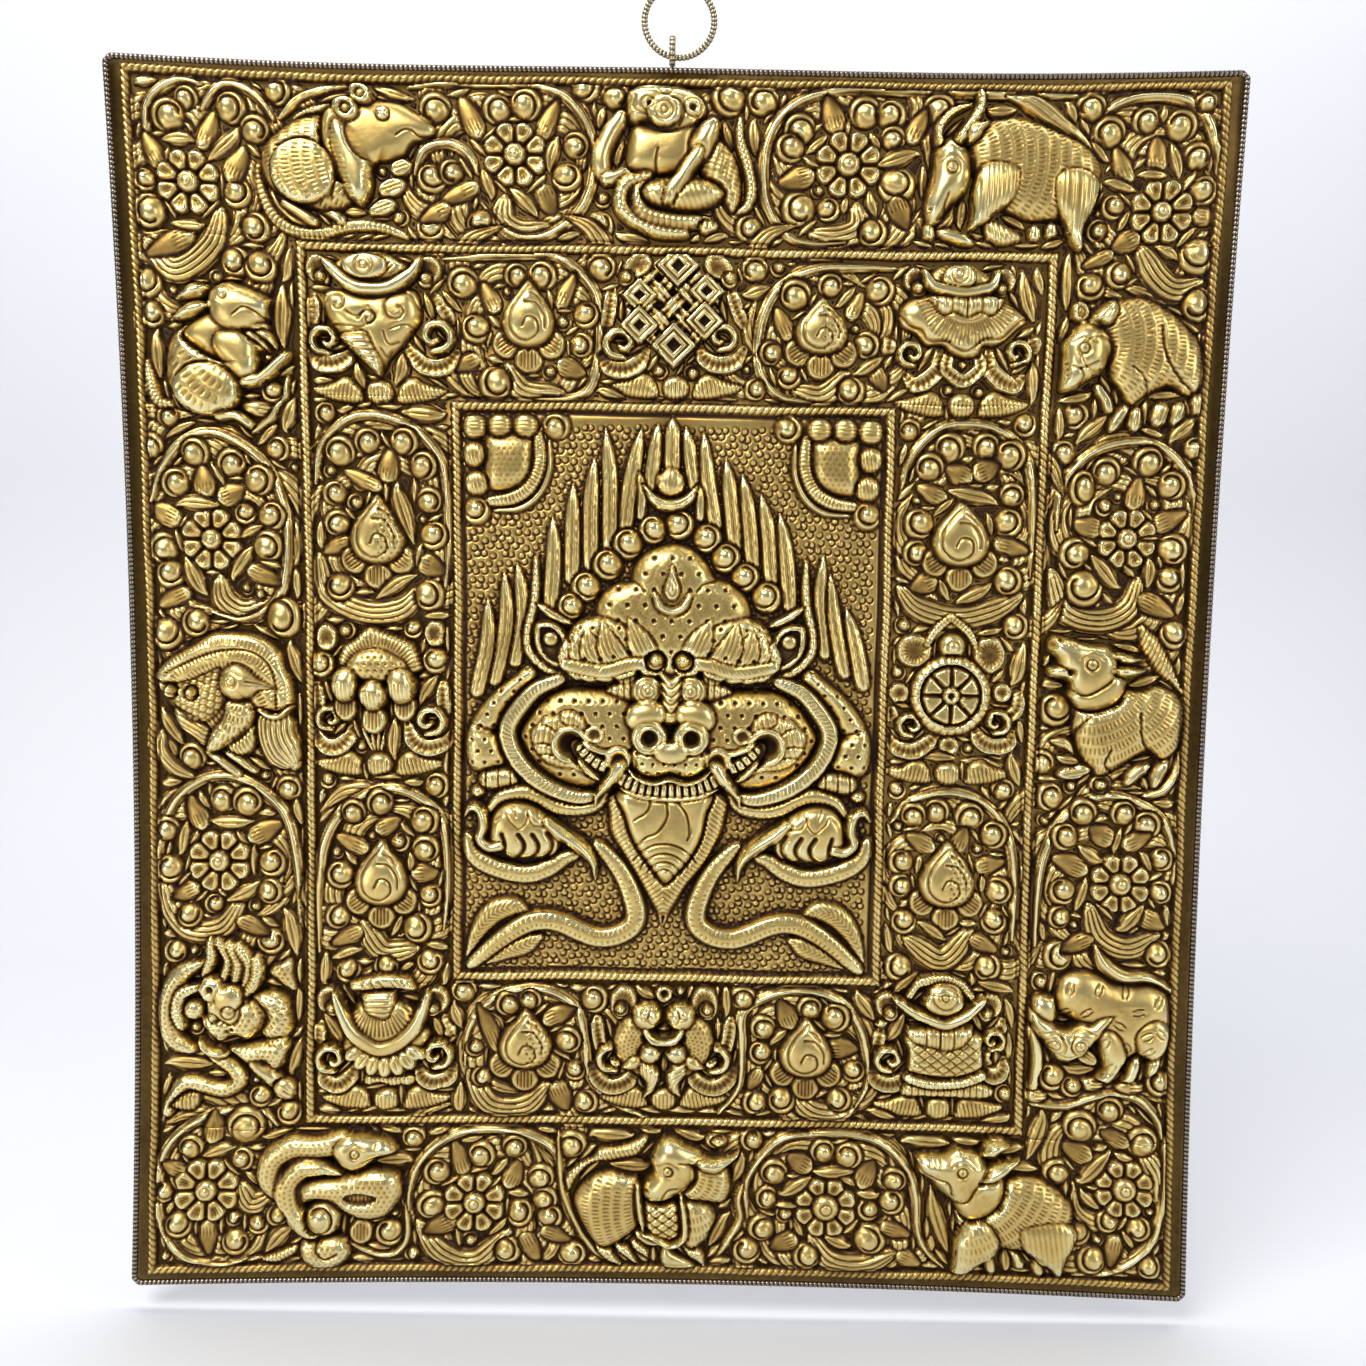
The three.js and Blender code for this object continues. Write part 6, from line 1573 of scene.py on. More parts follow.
def hands_and_snakes(s):
    for side in (-1, 1):
        for line in (((60, -91.5), (66, -89), (74, -91.5), (80.5, -99), (86, -111)),
                ((54.5, -102.5), (60, -105), (68, -108), (77, -114))):
            feather = s.stroke(mirrored(side, *line), 10.5, 5.0, swell=(0.35, 0.85, 1, 0.95, 0.75, 0.5,
                0.1), power=3)
            barbs = grooves(feather.u * 0.8 + np.abs(feather.v) * 0.9, 1.8, 0.5)
            s.h[feather.window] -= 0.6 * barbs * feather.cover
        for line, width in zip(SNAKES, (7, 8.4, 9.4)):
            body = s.stroke(mirrored(side, *line), width, 6.0, tip=0.5, power=4)
            away = np.abs(body.v)
            ticks = grooves(body.u, 2.3, 0.5) * (np.abs(away - 1.9) < 0.8)
            s.h[body.window] -= 0.7 * ticks * body.cover
        s.blob(mirrored(side, (76, -50), (72, -44.4), (66, -42.4), (60, -43), (54, -46), (48.6, -50.4),
            (45.4, -56), (45.6, -62), (48.5, -66.6), (53, -67.8), (60, -68), (67, -68), (72, -65),
            (76.5, -62), (77, -55)), 9.6, 5)
        for line in (((70.6, -56.5), (69.4, -61), (70.4, -66)), ((63.4, -56.5), (61, -60.5), (61.6, -64),
                (64, -67.4)), ((57.4, -56.5), (55, -60.5), (55.4, -64), (58, -67.4)),
                ((51, -56), (49, -60), (49.4, -63.6), (52, -67))):
            s.cut(mirrored(side, *line), 1.5, 2.4)
        for line in (((73, -50.5), (69.4, -47.4), (67, -51), (63, -54), (60, -51), (59.4, -46)),
                ((59.4, -48), (57, -52.4), (52, -53)), ((66, -44.5), (64.4, -48.5)),
                ((56, -46.5), (54.6, -49.6))):
            s.cut(mirrored(side, *line), 0.8, 0.8)
        s.stroke(mirrored(side, (87, -49.5), (84, -45.4), (80, -47), (78.6, -53), (80, -59), (76, -62.6),
            (71.6, -62)), 5.4, 8.8, swell=(0.2, 0.8, 1, 1, 1, 1, 0.9), over=True)
        s.stroke(mirrored(side, (51, -51.5), (45, -56.6), (39, -60.6), (34, -65), (31.2, -70),
            (30.6, -77)), 7, 9.2, swell=(0.7, 1, 1, 0.9, 0.55, 0.08), over=True, ribs=1)


def mask(s):
    for part in (punched_ground, corner_suns, hair_flames, crown, hands_and_snakes, ears, cheeks,
            forehead, mouth, snout):
        part(s)


# The whole sheet

def distance_to_forms(raised, spacing, reach):
    """How far each point is from the nearest raised one, up to reach, in millimetres."""
    far = int(reach / spacing)
    down = np.where(raised, 0, far)
    for row in range(1, len(down)):
        down[row] = np.minimum(down[row], down[row - 1] + 1)
    for row in range(len(down) - 2, -1, -1):
        down[row] = np.minimum(down[row], down[row + 1] + 1)
    wide = np.pad(down, ((0, 0), (far, far)), constant_values=far).astype(float)
    best = np.full(down.shape, float(far))
    for k in range(-far, far + 1):
        best = np.minimum(best, np.hypot(k, wide[:, far + k:far + k + down.shape[1]]))
    return best * spacing


def in_bands(x, z, margin):
    """The two bands between the rope borders, without a margin along them."""
    def inside(k, by):
        half_x, half_z, mid_x, mid_z = ROPES[k]
        return (np.abs(x - mid_x) < half_x - by) & (np.abs(z - mid_z) < half_z - by)

    return (inside(0, margin) & ~inside(1, -margin)) | (inside(1, margin) & ~inside(2, -margin))


def fill_gaps(s):
    """Small leaves and curls in the room that the larger forms leave, the largest room first."""
    rng = np.random.default_rng(5)
    skip = max(1, int(round(1.0 / s.spacing)))
    x, z = s.x[::skip], s.z[::skip]
    gx, gz = np.meshgrid(x, z)
    step = s.spacing * skip
    room = distance_to_forms((s.h[::skip, ::skip] > 0.5) | ~in_bands(gx, gz, 2.6), step, 14.0)
    ways = [math.pi * k / 12 for k in range(12)]
    for count in range(900):
        j, i = np.unravel_index(np.argmax(room), room.shape)
        r = room[j, i]
        if r < 1.6:
            break
        best, chosen = 0, None
        for a in ways:
            ends = []
            for sign in (-1, 1):
                k = 1
                while k * step < 3.2 * r:
                    jj = int(round(j + sign * k * math.sin(a)))
                    ii = int(round(i + sign * k * math.cos(a)))
                    if not (0 <= jj < len(z) and 0 <= ii < len(x)) or room[jj, ii] < 0.35 * r:
                        break
                    k += 1
                ends.append(k * step)
            if sum(ends) > best:
                best, chosen = sum(ends), (a, ends)
        a, (back, ahead) = chosen
        px, pz = x[i], z[j]
        if best < 3.0 * r and r > 2.6:
            size = min(r - 0.3, 6.0)
            curl(s, px, pz, size, math.degrees(a), 1 if count % 2 else -1, up=1.8 + 0.3 * size)
            near = np.hypot(gx - px, gz - pz) - size
        else:
            size = min(r - 0.25, 4.6)
            bend = 0.25 * size * rng.choice([-1, 1])
            ca, sa = math.cos(a), math.sin(a)
            line = [(px - back * ca, pz - back * sa), (px - bend * sa, pz + bend * ca),
                (px + ahead * ca, pz + ahead * sa)]
            if rng.random() < 0.5:
                line.reverse()
            s.stroke(line, 2 * size, 1.8 + 0.3 * size, ribs=2 if size > 2.2 else 1, rib_cut=0.8,
                swell=(0.25, 0.8, 1, 0.92, 0.6, 0.08))
            t = np.clip((gx - px) * ca + (gz - pz) * sa, -back, ahead)
            slim = 1 - 0.6 * np.abs(t) / max(back, ahead)
            near = np.hypot(gx - px - t * ca, gz - pz - t * sa) - size * slim
        room = np.minimum(room, np.clip(near, 0, None))


def line_gaps(s):
    """Chased lines that follow the forms, in what is left of the ground."""
    gx, gz = np.meshgrid(s.x, s.z)
    bands = in_bands(gx, gz, 1.5)
    away = blurred(distance_to_forms((s.h > 0.4) | ~bands, s.spacing, 8.0), s.spacing, 0.45)
    swell = np.clip((away - 0.5) / 0.7, 0, 1)
    ridge = 0.7 * swell * (0.5 + 0.5 * np.cos(2 * np.pi * (away - 1.35) / 1.5))
    s.h = np.where(bands & (s.h < 0.4), s.h + ridge, s.h)


def rope_borders(s):
    """Raises the three rope borders, with slanted strands."""
    gx, gz = np.meshgrid(s.x, s.z)
    for half_x, half_z, mid_x, mid_z in ROPES:
        dx = np.abs(gx - mid_x) - half_x
        dz = np.abs(gz - mid_z) - half_z
        upright = dx > dz
        side = np.where(upright, dx, dz)
        along = np.where(upright, gz * np.sign(gx - mid_x), -gx * np.sign(gz - mid_z))
        off = side + 0.15 * np.sin(along / 9) + 0.2 * np.sin(along / 23 + half_x)
        inside = ROPE_WIDTH / 2 - np.abs(off)
        section = np.sqrt(1 - np.clip(np.abs(off) / (ROPE_WIDTH / 2), 0, 1) ** 2)
        strand = grooves((along + 0.75 * off) / ROPE_PITCH, 1, 0.5)
        height = (ROPE_HEIGHT - 1.0 * strand) * section
        valley = 1.0 * np.exp(-((inside + 1.0) / 0.9) ** 2)
        s.h = np.where(inside > 0, height, np.minimum(s.h, np.maximum(s.h - valley, -0.6)))


def flatten_edge(s):
    """Leaves a bare strip between the outer rope and the wire."""
    gx, gz = np.meshgrid(s.x, s.z)
    half_x, half_z, mid_x, mid_z = ROPES[0]
    out_x = np.abs(gx - mid_x) - (half_x + ROPE_WIDTH / 2)
    out_z = np.abs(gz - mid_z) - (half_z + ROPE_WIDTH / 2)
    hammered = 0.22 * np.sin(1.9 * gx + 1.3 * np.sin(0.9 * gz)) * np.sin(1.7 * gz + 1.1 * np.sin(0.8 * gx))
    s.h = np.where(np.maximum(out_x, out_z) > 0, hammered - 0.3, s.h)


def whole_relief(s):
    roundels(s)
    emblems(s)
    animals(s)
    fill_gaps(s)
    line_gaps(s)
    mask(s)
    flatten_edge(s)
    rope_borders(s)


# The tone runs from 0, black in the hollows, to 1, brightest on the raised forms: partly oxide and rubbing,
# partly painted shade in hollows and creases and painted highlight on raised and tall forms; its floor, and
# what each cause adds
TONE_FLOOR = 0.10
RAISED_RUB_AND_HIGHLIGHT = 0.37
TALL_FORM_PAINTED_HIGHLIGHT = 0.15
FINE_OXIDE_SHADE_AND_HIGHLIGHT = 0.44
BROAD_OXIDE_SHADE_AND_HIGHLIGHT = 0.05
FIELD_GROUND_LIFT = 0.26
TONE_LEAST = 0.11

FACE_SEAM = 3.2

# How far a face piece reaches back from the sheet's face
SKIRT = 0.9

# The back: its mesh, its gap to the edge, how the relief shows through, its deepest hollow and its tone
BACK_STEP = 2.6
BACK_GAP = 0.2
BACK_BLUR = 1.8
BACK_SHARE = 0.4
BACK_DEPTH = 1.95
BACK_TONE = 0.47
BACK_DARKENING = 0.13


@functools.lru_cache(maxsize=1)
def embossed_sheet(spacing):
    """The finished relief with its tone of oxide, rubbing, painted shade and painted highlight, worked out
    once.
    """
    s = Sheet(spacing)
    whole_relief(s)
    fine = s.h - blurred(s.h, spacing, 1.2)
    broad = s.h - blurred(s.h, spacing, 4.0)
    gx, gz = np.meshgrid(s.x, s.z)
    half_x, half_z, mid_x, mid_z = ROPES[2]
    field = (np.abs(gx - mid_x) < half_x - 2) & (np.abs(gz - mid_z) < half_z - 2)
    # The tone: lighter on raised forms (rubbing and painted highlight) and lighter still on the tallest
    # (painted highlight); the fine and broad terms darken cuts, creases and hollows (oxide and painted shade)
    # and lighten crests (painted highlight)
    raised = np.clip(s.h / 1.8, 0, 1)
    high = np.clip((s.h - 2.5) / 5, 0, 1)
    shade = TONE_FLOOR + RAISED_RUB_AND_HIGHLIGHT * raised + TALL_FORM_PAINTED_HIGHLIGHT * high
    shade = shade + FINE_OXIDE_SHADE_AND_HIGHLIGHT * fine * (0.35 + 0.65 * raised) + BROAD_OXIDE_SHADE_AND_HIGHLIGHT * broad
    # The bare strip outside the outer rope takes the darkest tone, edge oxide with painted shade, and the
    # outer rope is made a fifth darker
    half_x, half_z, mid_x, mid_z = ROPES[0]
    bare = (np.abs(gx - mid_x) > half_x + 2.2) | (np.abs(gz - mid_z) > half_z + 2.2)
    outer_rope = np.maximum(np.abs(gx - mid_x) - half_x, np.abs(gz - mid_z) - half_z) > -ROPE_WIDTH / 2
    shade = np.where(outer_rope, 0.8 * shade, shade)
    # In the mask's field the low ground is lifted towards gold
    ground = np.clip(s.h / 0.7, 0, 1) * np.clip((2.2 - s.h) / 0.6, 0, 1)
    shade = np.where(field, shade + FIELD_GROUND_LIFT * ground, shade)
    s.patina = np.where(bare, 0, np.clip(shade, TONE_LEAST, 1))
    return s


def sampled(field, s, x, z):
    """Bilinear reading of a field at places on the sheet."""
    i = np.clip((x - s.x[0]) / s.spacing, 0, len(s.x) - 1.001)
    j = np.clip((z - s.z[0]) / s.spacing, 0, len(s.z) - 1.001)
    a, b = i.astype(int), j.astype(int)
    u, v = i - a, j - b
    return (field[b, a] * (1 - u) * (1 - v) + field[b, a + 1] * u * (1 - v)
        + field[b + 1, a] * (1 - u) * v + field[b + 1, a + 1] * u * v)


def coordinates(mesh):
    co = np.zeros(len(mesh.vertices) * 3, np.float32)
    mesh.vertices.foreach_get("co", co)
    return co.reshape(-1, 3).astype(float)


def write_coordinates(mesh, co):
    mesh.vertices.foreach_set("co", np.ascontiguousarray(co, np.float32).ravel())
    mesh.update()


def grid_mesh(name, across, up):
    """A flat grid from -1 to 1 both ways."""
    bm = bmesh.new()
    bmesh.ops.create_grid(bm, x_segments=across, y_segments=up, size=1)
    mesh = bpy.data.meshes.new(name)
    bm.to_mesh(mesh)
    bm.free()
    return mesh


def smooth(mesh):
    mesh.polygons.foreach_set("use_smooth", np.ones(len(mesh.polygons), bool))


def float_attribute(mesh, name, values):
    layer = mesh.attributes.new(name, "FLOAT", "POINT")
    layer.data.foreach_set("value", np.ascontiguousarray(values, np.float32))


def linked(name, mesh):
    obj = bpy.data.objects.new(name, mesh)
    bpy.context.scene.collection.objects.link(obj)
    return obj


def corner_cut(x, z):
    """Pulls the sheet's sharp corners back to its cut ones."""
    over = np.abs(x) - HALF_WIDTH + np.abs(z) - HALF_HEIGHT + CORNER_CUT
    back = np.clip(over, 0, None) / 2
    return x - np.sign(x) * back, z - np.sign(z) * back


def close_behind(mesh, y):
    """Carries a sheet's open edge straight back to y and closes it there."""
    bm = bmesh.new()
    bm.from_mesh(mesh)
    rim = [e for e in bm.edges if e.is_boundary]
    skirt = bmesh.ops.extrude_edge_only(bm, edges=rim)["geom"]
    for v in (v for v in skirt if isinstance(v, bmesh.types.BMVert)):
        v.co.y = y
    hem = [e for e in skirt if isinstance(e, bmesh.types.BMEdge) and e.is_boundary]
    bmesh.ops.contextual_create(bm, geom=hem)
    bmesh.ops.recalc_face_normals(bm, faces=bm.faces)
    bm.to_mesh(mesh)
    bm.free()


def front_piece(name, low_x, high_x, low_z, high_z, spacing, keep):
    """One part of the sheet's face, thinned where it is smooth and closed behind."""
    s = embossed_sheet(spacing)
    across = max(2, int(round((high_x - low_x) / spacing)))
    up = max(2, int(round((high_z - low_z) / spacing)))
    mesh = grid_mesh(name, across, up)
    co = coordinates(mesh)
    x = low_x + (co[:, 0] + 1) / 2 * (high_x - low_x)
    z = low_z + (co[:, 1] + 1) / 2 * (high_z - low_z)
    x, z = corner_cut(x, z)
    write_coordinates(mesh, np.stack([x, -sampled(s.h, s, x, z), z], -1))
    rough = linked(name + "_rough", mesh)
    thin = rough.modifiers.new("thin", "DECIMATE")
    thin.ratio = keep
    done = bpy.data.meshes.new_from_object(rough.evaluated_get(bpy.context.evaluated_depsgraph_get()))
    bpy.data.objects.remove(rough)
    bpy.data.meshes.remove(mesh)
    done.name = name
    close_behind(done, SKIRT)
    co = coordinates(done)
    x, z = co[:, 0], co[:, 2]
    height = sampled(s.h, s, x, z)
    behind = co[:, 1] > SKIRT - 0.01
    y = np.where(behind, SHEET_FACE + SKIRT, SHEET_FACE - height)
    float_attribute(done, "patina", sampled(s.patina, s, x, z))
    wx, wz = drawn(x, z)
    write_coordinates(done, placed(wx, y, wz))
    smooth(done)
    obj = linked(name, done)
    done.materials.append(sheet_brass())
    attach(obj, "root")
    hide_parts("embossed_panel")


def tube(name, path_at, radius_at, steps, sides, material, node):
    """A closed wire; at t, path_at gives its middle and two ways across it, and radius_at its radius."""
    mesh = grid_mesh(name, steps, sides)
    co = coordinates(mesh)
    t = (co[:, 0] + 1) / 2
    a = (co[:, 1] + 1) * math.pi
    middle, out, over = path_at(t)
    radius = radius_at(t)
    points = middle + out * (radius * np.cos(a))[:, None] + over * (radius * np.sin(a))[:, None]
    write_coordinates(mesh, points)
    # Darker in the cuts between ribs or beads and lighter on their tops: partly oxide and wear, partly
    # painted shade and painted highlight
    float_attribute(mesh, "patina", np.clip(0.2 + 0.8 * (radius - radius.min()) / np.ptp(radius), 0, 1))
    bm = bmesh.new()
    bm.from_mesh(mesh)
    bmesh.ops.remove_doubles(bm, verts=bm.verts, dist=1e-5)
    bmesh.ops.recalc_face_normals(bm, faces=bm.faces)
    bm.to_mesh(mesh)
    bm.free()
    smooth(mesh)
    obj = linked(name, mesh)
    mesh.materials.append(material)
    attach(obj, "root")
    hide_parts(node)


def ribbed(radius, depth, ribs):
    """Radius of a wire with round ribs or beads that stand proud of its cuts by a share of it."""
    def at(t):
        return radius * (1 - depth + depth * np.abs(np.sin(t * ribs * math.pi)))

    return at


def oval_path(centre, radius_out, radius_up, across):
    """A loop in the plane of `across` and z, as tube wants it."""
    side = np.array(across, float)
    other = np.cross(side, (0, 0, 1))

    def at(t):
        a = t * 2 * math.pi
        ca, sa = np.cos(a)[:, None], np.sin(a)[:, None]
        middle = np.array(centre) + side * radius_out * ca + np.array((0, 0, 1.0)) * radius_up * sa
        out = side * radius_up * ca + np.array((0, 0, 1.0)) * radius_out * sa
        out /= np.linalg.norm(out, axis=1, keepdims=True)
        shifted = placed(middle[:, 0], middle[:, 1], middle[:, 2])
        return shifted, out * MM, np.broadcast_to(other, out.shape) * MM

    return at


def edge_path(t):
    """The edge wire's middle line, round the cut corners, on the pulled-in sheet."""
    half_x, half_z = HALF_WIDTH - WIRE_INSET, HALF_HEIGHT - WIRE_INSET
    c = CORNER_CUT
    corners = np.array([(-half_x + c, half_z), (half_x - c, half_z), (half_x, half_z - c),
        (half_x, -half_z + c), (half_x - c, -half_z), (-half_x + c, -half_z), (-half_x, -half_z + c),
        (-half_x, half_z - c), (-half_x + c, half_z)])
    lengths = np.r_[0, np.cumsum(np.hypot(*np.diff(corners, axis=0).T))]
    run = t * lengths[-1]
    x = np.interp(run, lengths, corners[:, 0])
    z = np.interp(run, lengths, corners[:, 1])
    ahead = (run + 0.5) % lengths[-1]
    behind = (run - 0.5) % lengths[-1]
    ax, az = drawn(np.interp(ahead, lengths, corners[:, 0]), np.interp(ahead, lengths, corners[:, 1]))
    bx, bz = drawn(np.interp(behind, lengths, corners[:, 0]), np.interp(behind, lengths, corners[:, 1]))
    tangent = np.stack([ax - bx, np.zeros_like(ax), az - bz], -1)
    tangent /= np.linalg.norm(tangent, axis=1, keepdims=True)
    front = np.broadcast_to(np.array((0.0, -1.0, 0.0)), tangent.shape)
    wx, wz = drawn(x, z)
    return placed(wx, np.full_like(wx, WIRE_Y), wz), np.cross(tangent, front) * MM, front * MM


# Materials

class Wire:
    """A socket that takes part in Python sums; each sum adds a Math node."""

    def __init__(self, tree, socket):
        self.tree = tree
        self.socket = socket

    def math(self, operation, other):
        node = self.tree.nodes.new("ShaderNodeMath")
        node.operation = operation
        self.tree.links.new(self.socket, node.inputs[0])
        if isinstance(other, Wire):
            self.tree.links.new(other.socket, node.inputs[1])
        else:
            node.inputs[1].default_value = other
        return Wire(self.tree, node.outputs[0])

    def __add__(self, other):
        return self.math("ADD", other)

    __radd__ = __add__

    def __sub__(self, other):
        return self.math("SUBTRACT", other)

    def __rsub__(self, other):
        return (self * -1.0) + other

    def __mul__(self, other):
        return self.math("MULTIPLY", other)

    __rmul__ = __mul__

    def held(self):
        """The value, kept between 0 and 1."""
        return self.math("MAXIMUM", 0.0).math("MINIMUM", 1.0)


class Finish:
    """A node material under construction."""

    def __init__(self, name):
        self.material = bpy.data.materials.new(name)
        self.material.use_nodes = True
        self.tree = self.material.node_tree
        self.tree.nodes.clear()
        self.shader = self.tree.nodes.new("ShaderNodeBsdfPrincipled")
        output = self.tree.nodes.new("ShaderNodeOutputMaterial")
        self.tree.links.new(self.shader.outputs[0], output.inputs[0])

    def node(self, kind, output=0, settings=None, **inputs):
        made = self.tree.nodes.new(kind)
        for key, value in (settings or {}).items():
            if key == "stops":
                ramp = made.color_ramp
                while len(ramp.elements) > 1:
                    ramp.elements.remove(ramp.elements[0])
                for k, (place, colour) in enumerate(value):
                    stop = ramp.elements[0] if k == 0 else ramp.elements.new(place)
                    stop.position = place
                    stop.color = (*colour, 1)
            else:
                setattr(made, key, value)
        self.plug(made, inputs)
        return Wire(self.tree, made.outputs[output])

    def feed(self, **inputs):
        self.plug(self.shader, inputs)

    def plug(self, node, inputs):
        """Links or sets the sockets that are named, with _ for each space."""
        for key, value in inputs.items():
            slot = node.inputs[key.replace("_", " ")]
            if isinstance(value, Wire):
                self.tree.links.new(value.socket, slot)
            else:
                slot.default_value = value


# Colours of the tone, from its darkest to its brightest, partly oxide and rubbing and partly painted shade
# and highlight; the sheet's two ends are user settings
TARNISH_AND_SHADE = (0.009, 0.005, 0.007)
POLISH_AND_HIGHLIGHT = (0.86, 0.78, 0.43)
SHEET_STOPS = (
    (0.20, (0.055, 0.027, 0.013)),
    (0.38, (0.13, 0.070, 0.022)),
    (0.55, (0.40, 0.25, 0.068)),
    (0.75, (0.72, 0.54, 0.195)),
)
BEAD_STOPS = (
    (0.00, (0.020, 0.013, 0.010)),
    (0.45, (0.16, 0.115, 0.075)),
    (0.80, (0.46, 0.38, 0.24)),
    (1.00, (0.66, 0.58, 0.41)),
)
WIRE_STOPS = (
    (0.00, (0.010, 0.007, 0.008)),
    (0.45, (0.055, 0.042, 0.038)),
    (0.80, (0.21, 0.17, 0.13)),
    (1.00, (0.42, 0.36, 0.28)),
)


def aged_brass_with_painted_light(name, stops, spread):
    """Brass whose colour follows the tone stored on the mesh: oxide and rubbing, with painted shade in the
    hollows and painted highlight on the raised parts.
    """
    f = Finish(name)
    place = f.node("ShaderNodeTexCoord", output=3)
    patina = f.node("ShaderNodeAttribute", output=2, settings={"attribute_name": "patina"})
    cloud = f.node("ShaderNodeTexNoise", Vector=place, Scale=28.0, Detail=3.0)
    grain = f.node("ShaderNodeTexNoise", Vector=place, Scale=420.0, Detail=2.0)
    tone = (patina + (cloud - 0.5) * spread + (grain - 0.5) * 0.14).held()
    colour = f.node("ShaderNodeValToRGB", settings={"stops": stops}, Fac=tone)
    bump = f.node("ShaderNodeBump", Height=grain + cloud * 2.0, Strength=0.18, Distance=0.0004)
    f.feed(Base_Color=colour, Metallic=(tone * 0.6 + 0.75).held(), Roughness=(0.66 - tone * 0.42),
        Normal=bump)
    return f.material


def plain_finish(name, colour, roughness):
    """Paper with a faint unevenness."""
    f = Finish(name)
    place = f.node("ShaderNodeTexCoord", output=3)
    cloud = f.node("ShaderNodeTexNoise", Vector=place, Scale=6.0, Detail=2.0)
    tint = f.node("ShaderNodeValToRGB", Fac=cloud, settings={"stops": ((0.0,
        tuple(c * 0.97 for c in colour)), (1.0, colour))})
    f.feed(Base_Color=tint, Roughness=roughness)
    return f.material


def sheet_brass():
    settings = bpy.context.scene.plaque
    stops = ((0.0, settings.tarnish_and_shade), *SHEET_STOPS, (1.0, settings.polish_and_highlight))
    return bpy.data.materials.get("sheet_brass_aged_and_painted_light") or aged_brass_with_painted_light("sheet_brass_aged_and_painted_light", stops, 0.16)


def wire_brass():
    return bpy.data.materials.get("wire_brass_dull") or aged_brass_with_painted_light("wire_brass_dull", WIRE_STOPS, 0.2)


def bead_brass():
    return bpy.data.materials.get("bead_brass_worn_and_painted_light") or aged_brass_with_painted_light("bead_brass_worn_and_painted_light", BEAD_STOPS, 0.3)


# Settings, operators and panel

class PlaqueSettings(bpy.types.PropertyGroup):
    """Sizes and colours of the plaque that a user may change"""

    spacing: bpy.props.FloatProperty(name="Relief Spacing",
        description="Distance between the points of the relief before thinning, in millimetres",
        default=0.4, min=0.3, max=3.0)
    keep: bpy.props.FloatProperty(
        name="Kept Share", description="Share of the relief's triangles that stays after thinning",
        default=0.27, min=0.05, max=1.0, subtype="FACTOR")
    rib_pitch: bpy.props.FloatProperty(
        name="Rib Pitch", description="Distance between the ribs of the edge wire, in millimetres",
        default=RIB_PITCH, min=0.5, max=10.0)
    bead_pitch: bpy.props.FloatProperty(
        name="Bead Pitch", description="Distance between the beads of the eye and the ring, in millimetres",
        default=BEAD_PITCH, min=0.5, max=10.0)
    # The colour at the darkest tone: oxide and painted shade in the deepest hollows
    tarnish_and_shade: bpy.props.FloatVectorProperty(
        name="Tarnish", description="Colour in the sheet's deepest hollows",
        default=TARNISH_AND_SHADE, min=0.0, max=1.0, subtype="COLOR")
    # The colour at the brightest tone: rubbed brass and painted highlight on the highest parts
    polish_and_highlight: bpy.props.FloatVectorProperty(
        name="Polish", description="Colour of the sheet's highest, rubbed parts",
        default=POLISH_AND_HIGHLIGHT, min=0.0, max=1.0, subtype="COLOR")


class StageSettings(bpy.types.PropertyGroup):
    """Sizes and colours of the stage that a user may change"""

    floor_drop: bpy.props.FloatProperty(
        name="Floor Drop", description="Gap between the plaque and the floor below it",
        default=0.012, min=0.0, unit="LENGTH")
    paper: bpy.props.FloatVectorProperty(
        name="Paper", description="Colour of the floor and the backdrop",
        default=(0.66, 0.67, 0.70), min=0.0, max=1.0, subtype="COLOR")
    window_power: bpy.props.FloatProperty(
        name="Window Power", description="Power of the main light, from the upper left",
        default=18.5, min=0.0, unit="POWER")


def face_fields():
    """Name and borders of each part that the face is built in, split along the valleys beside the ropes."""
    (wide, tall, mx, mz), (inner_wide, inner_tall, ix, iz) = ROPES[1], ROPES[2]
    mask_left, mask_right = ix - inner_wide - FACE_SEAM, ix + inner_wide + FACE_SEAM
    mask_foot, mask_head = iz - inner_tall - FACE_SEAM, iz + inner_tall + FACE_SEAM
    left, right = mx - wide - FACE_SEAM, mx + wide + FACE_SEAM
    foot, head = mz - tall - FACE_SEAM, mz + tall + FACE_SEAM
    return (
        ("mask_field", mask_left, mask_right, mask_foot, mask_head),
        ("emblems_top", left, right, mask_head, head),
        ("emblems_bottom", left, right, foot, mask_foot),
        ("emblems_left", left, mask_left, mask_foot, mask_head),
        ("emblems_right", mask_right, right, mask_foot, mask_head),
        ("animals_top", -HALF_WIDTH, HALF_WIDTH, head, HALF_HEIGHT),
        ("animals_bottom", -HALF_WIDTH, HALF_WIDTH, -HALF_HEIGHT, foot),
        ("animals_left", -HALF_WIDTH, left, foot, head),
        ("animals_right", right, HALF_WIDTH, foot, head),
    )


class PLAQUE_OT_embossed_face(bpy.types.Operator):
    """Build the embossed face of the sheet"""
    bl_idname = "plaque.embossed_face"
    bl_label = "Embossed Face"

    def execute(self, context):
        settings = context.scene.plaque
        spacing = settings.spacing
        keep = settings.keep
        for name, low_x, high_x, low_z, high_z in face_fields():
            front_piece(name, low_x, high_x, low_z, high_z, spacing, keep)
        return {"FINISHED"}


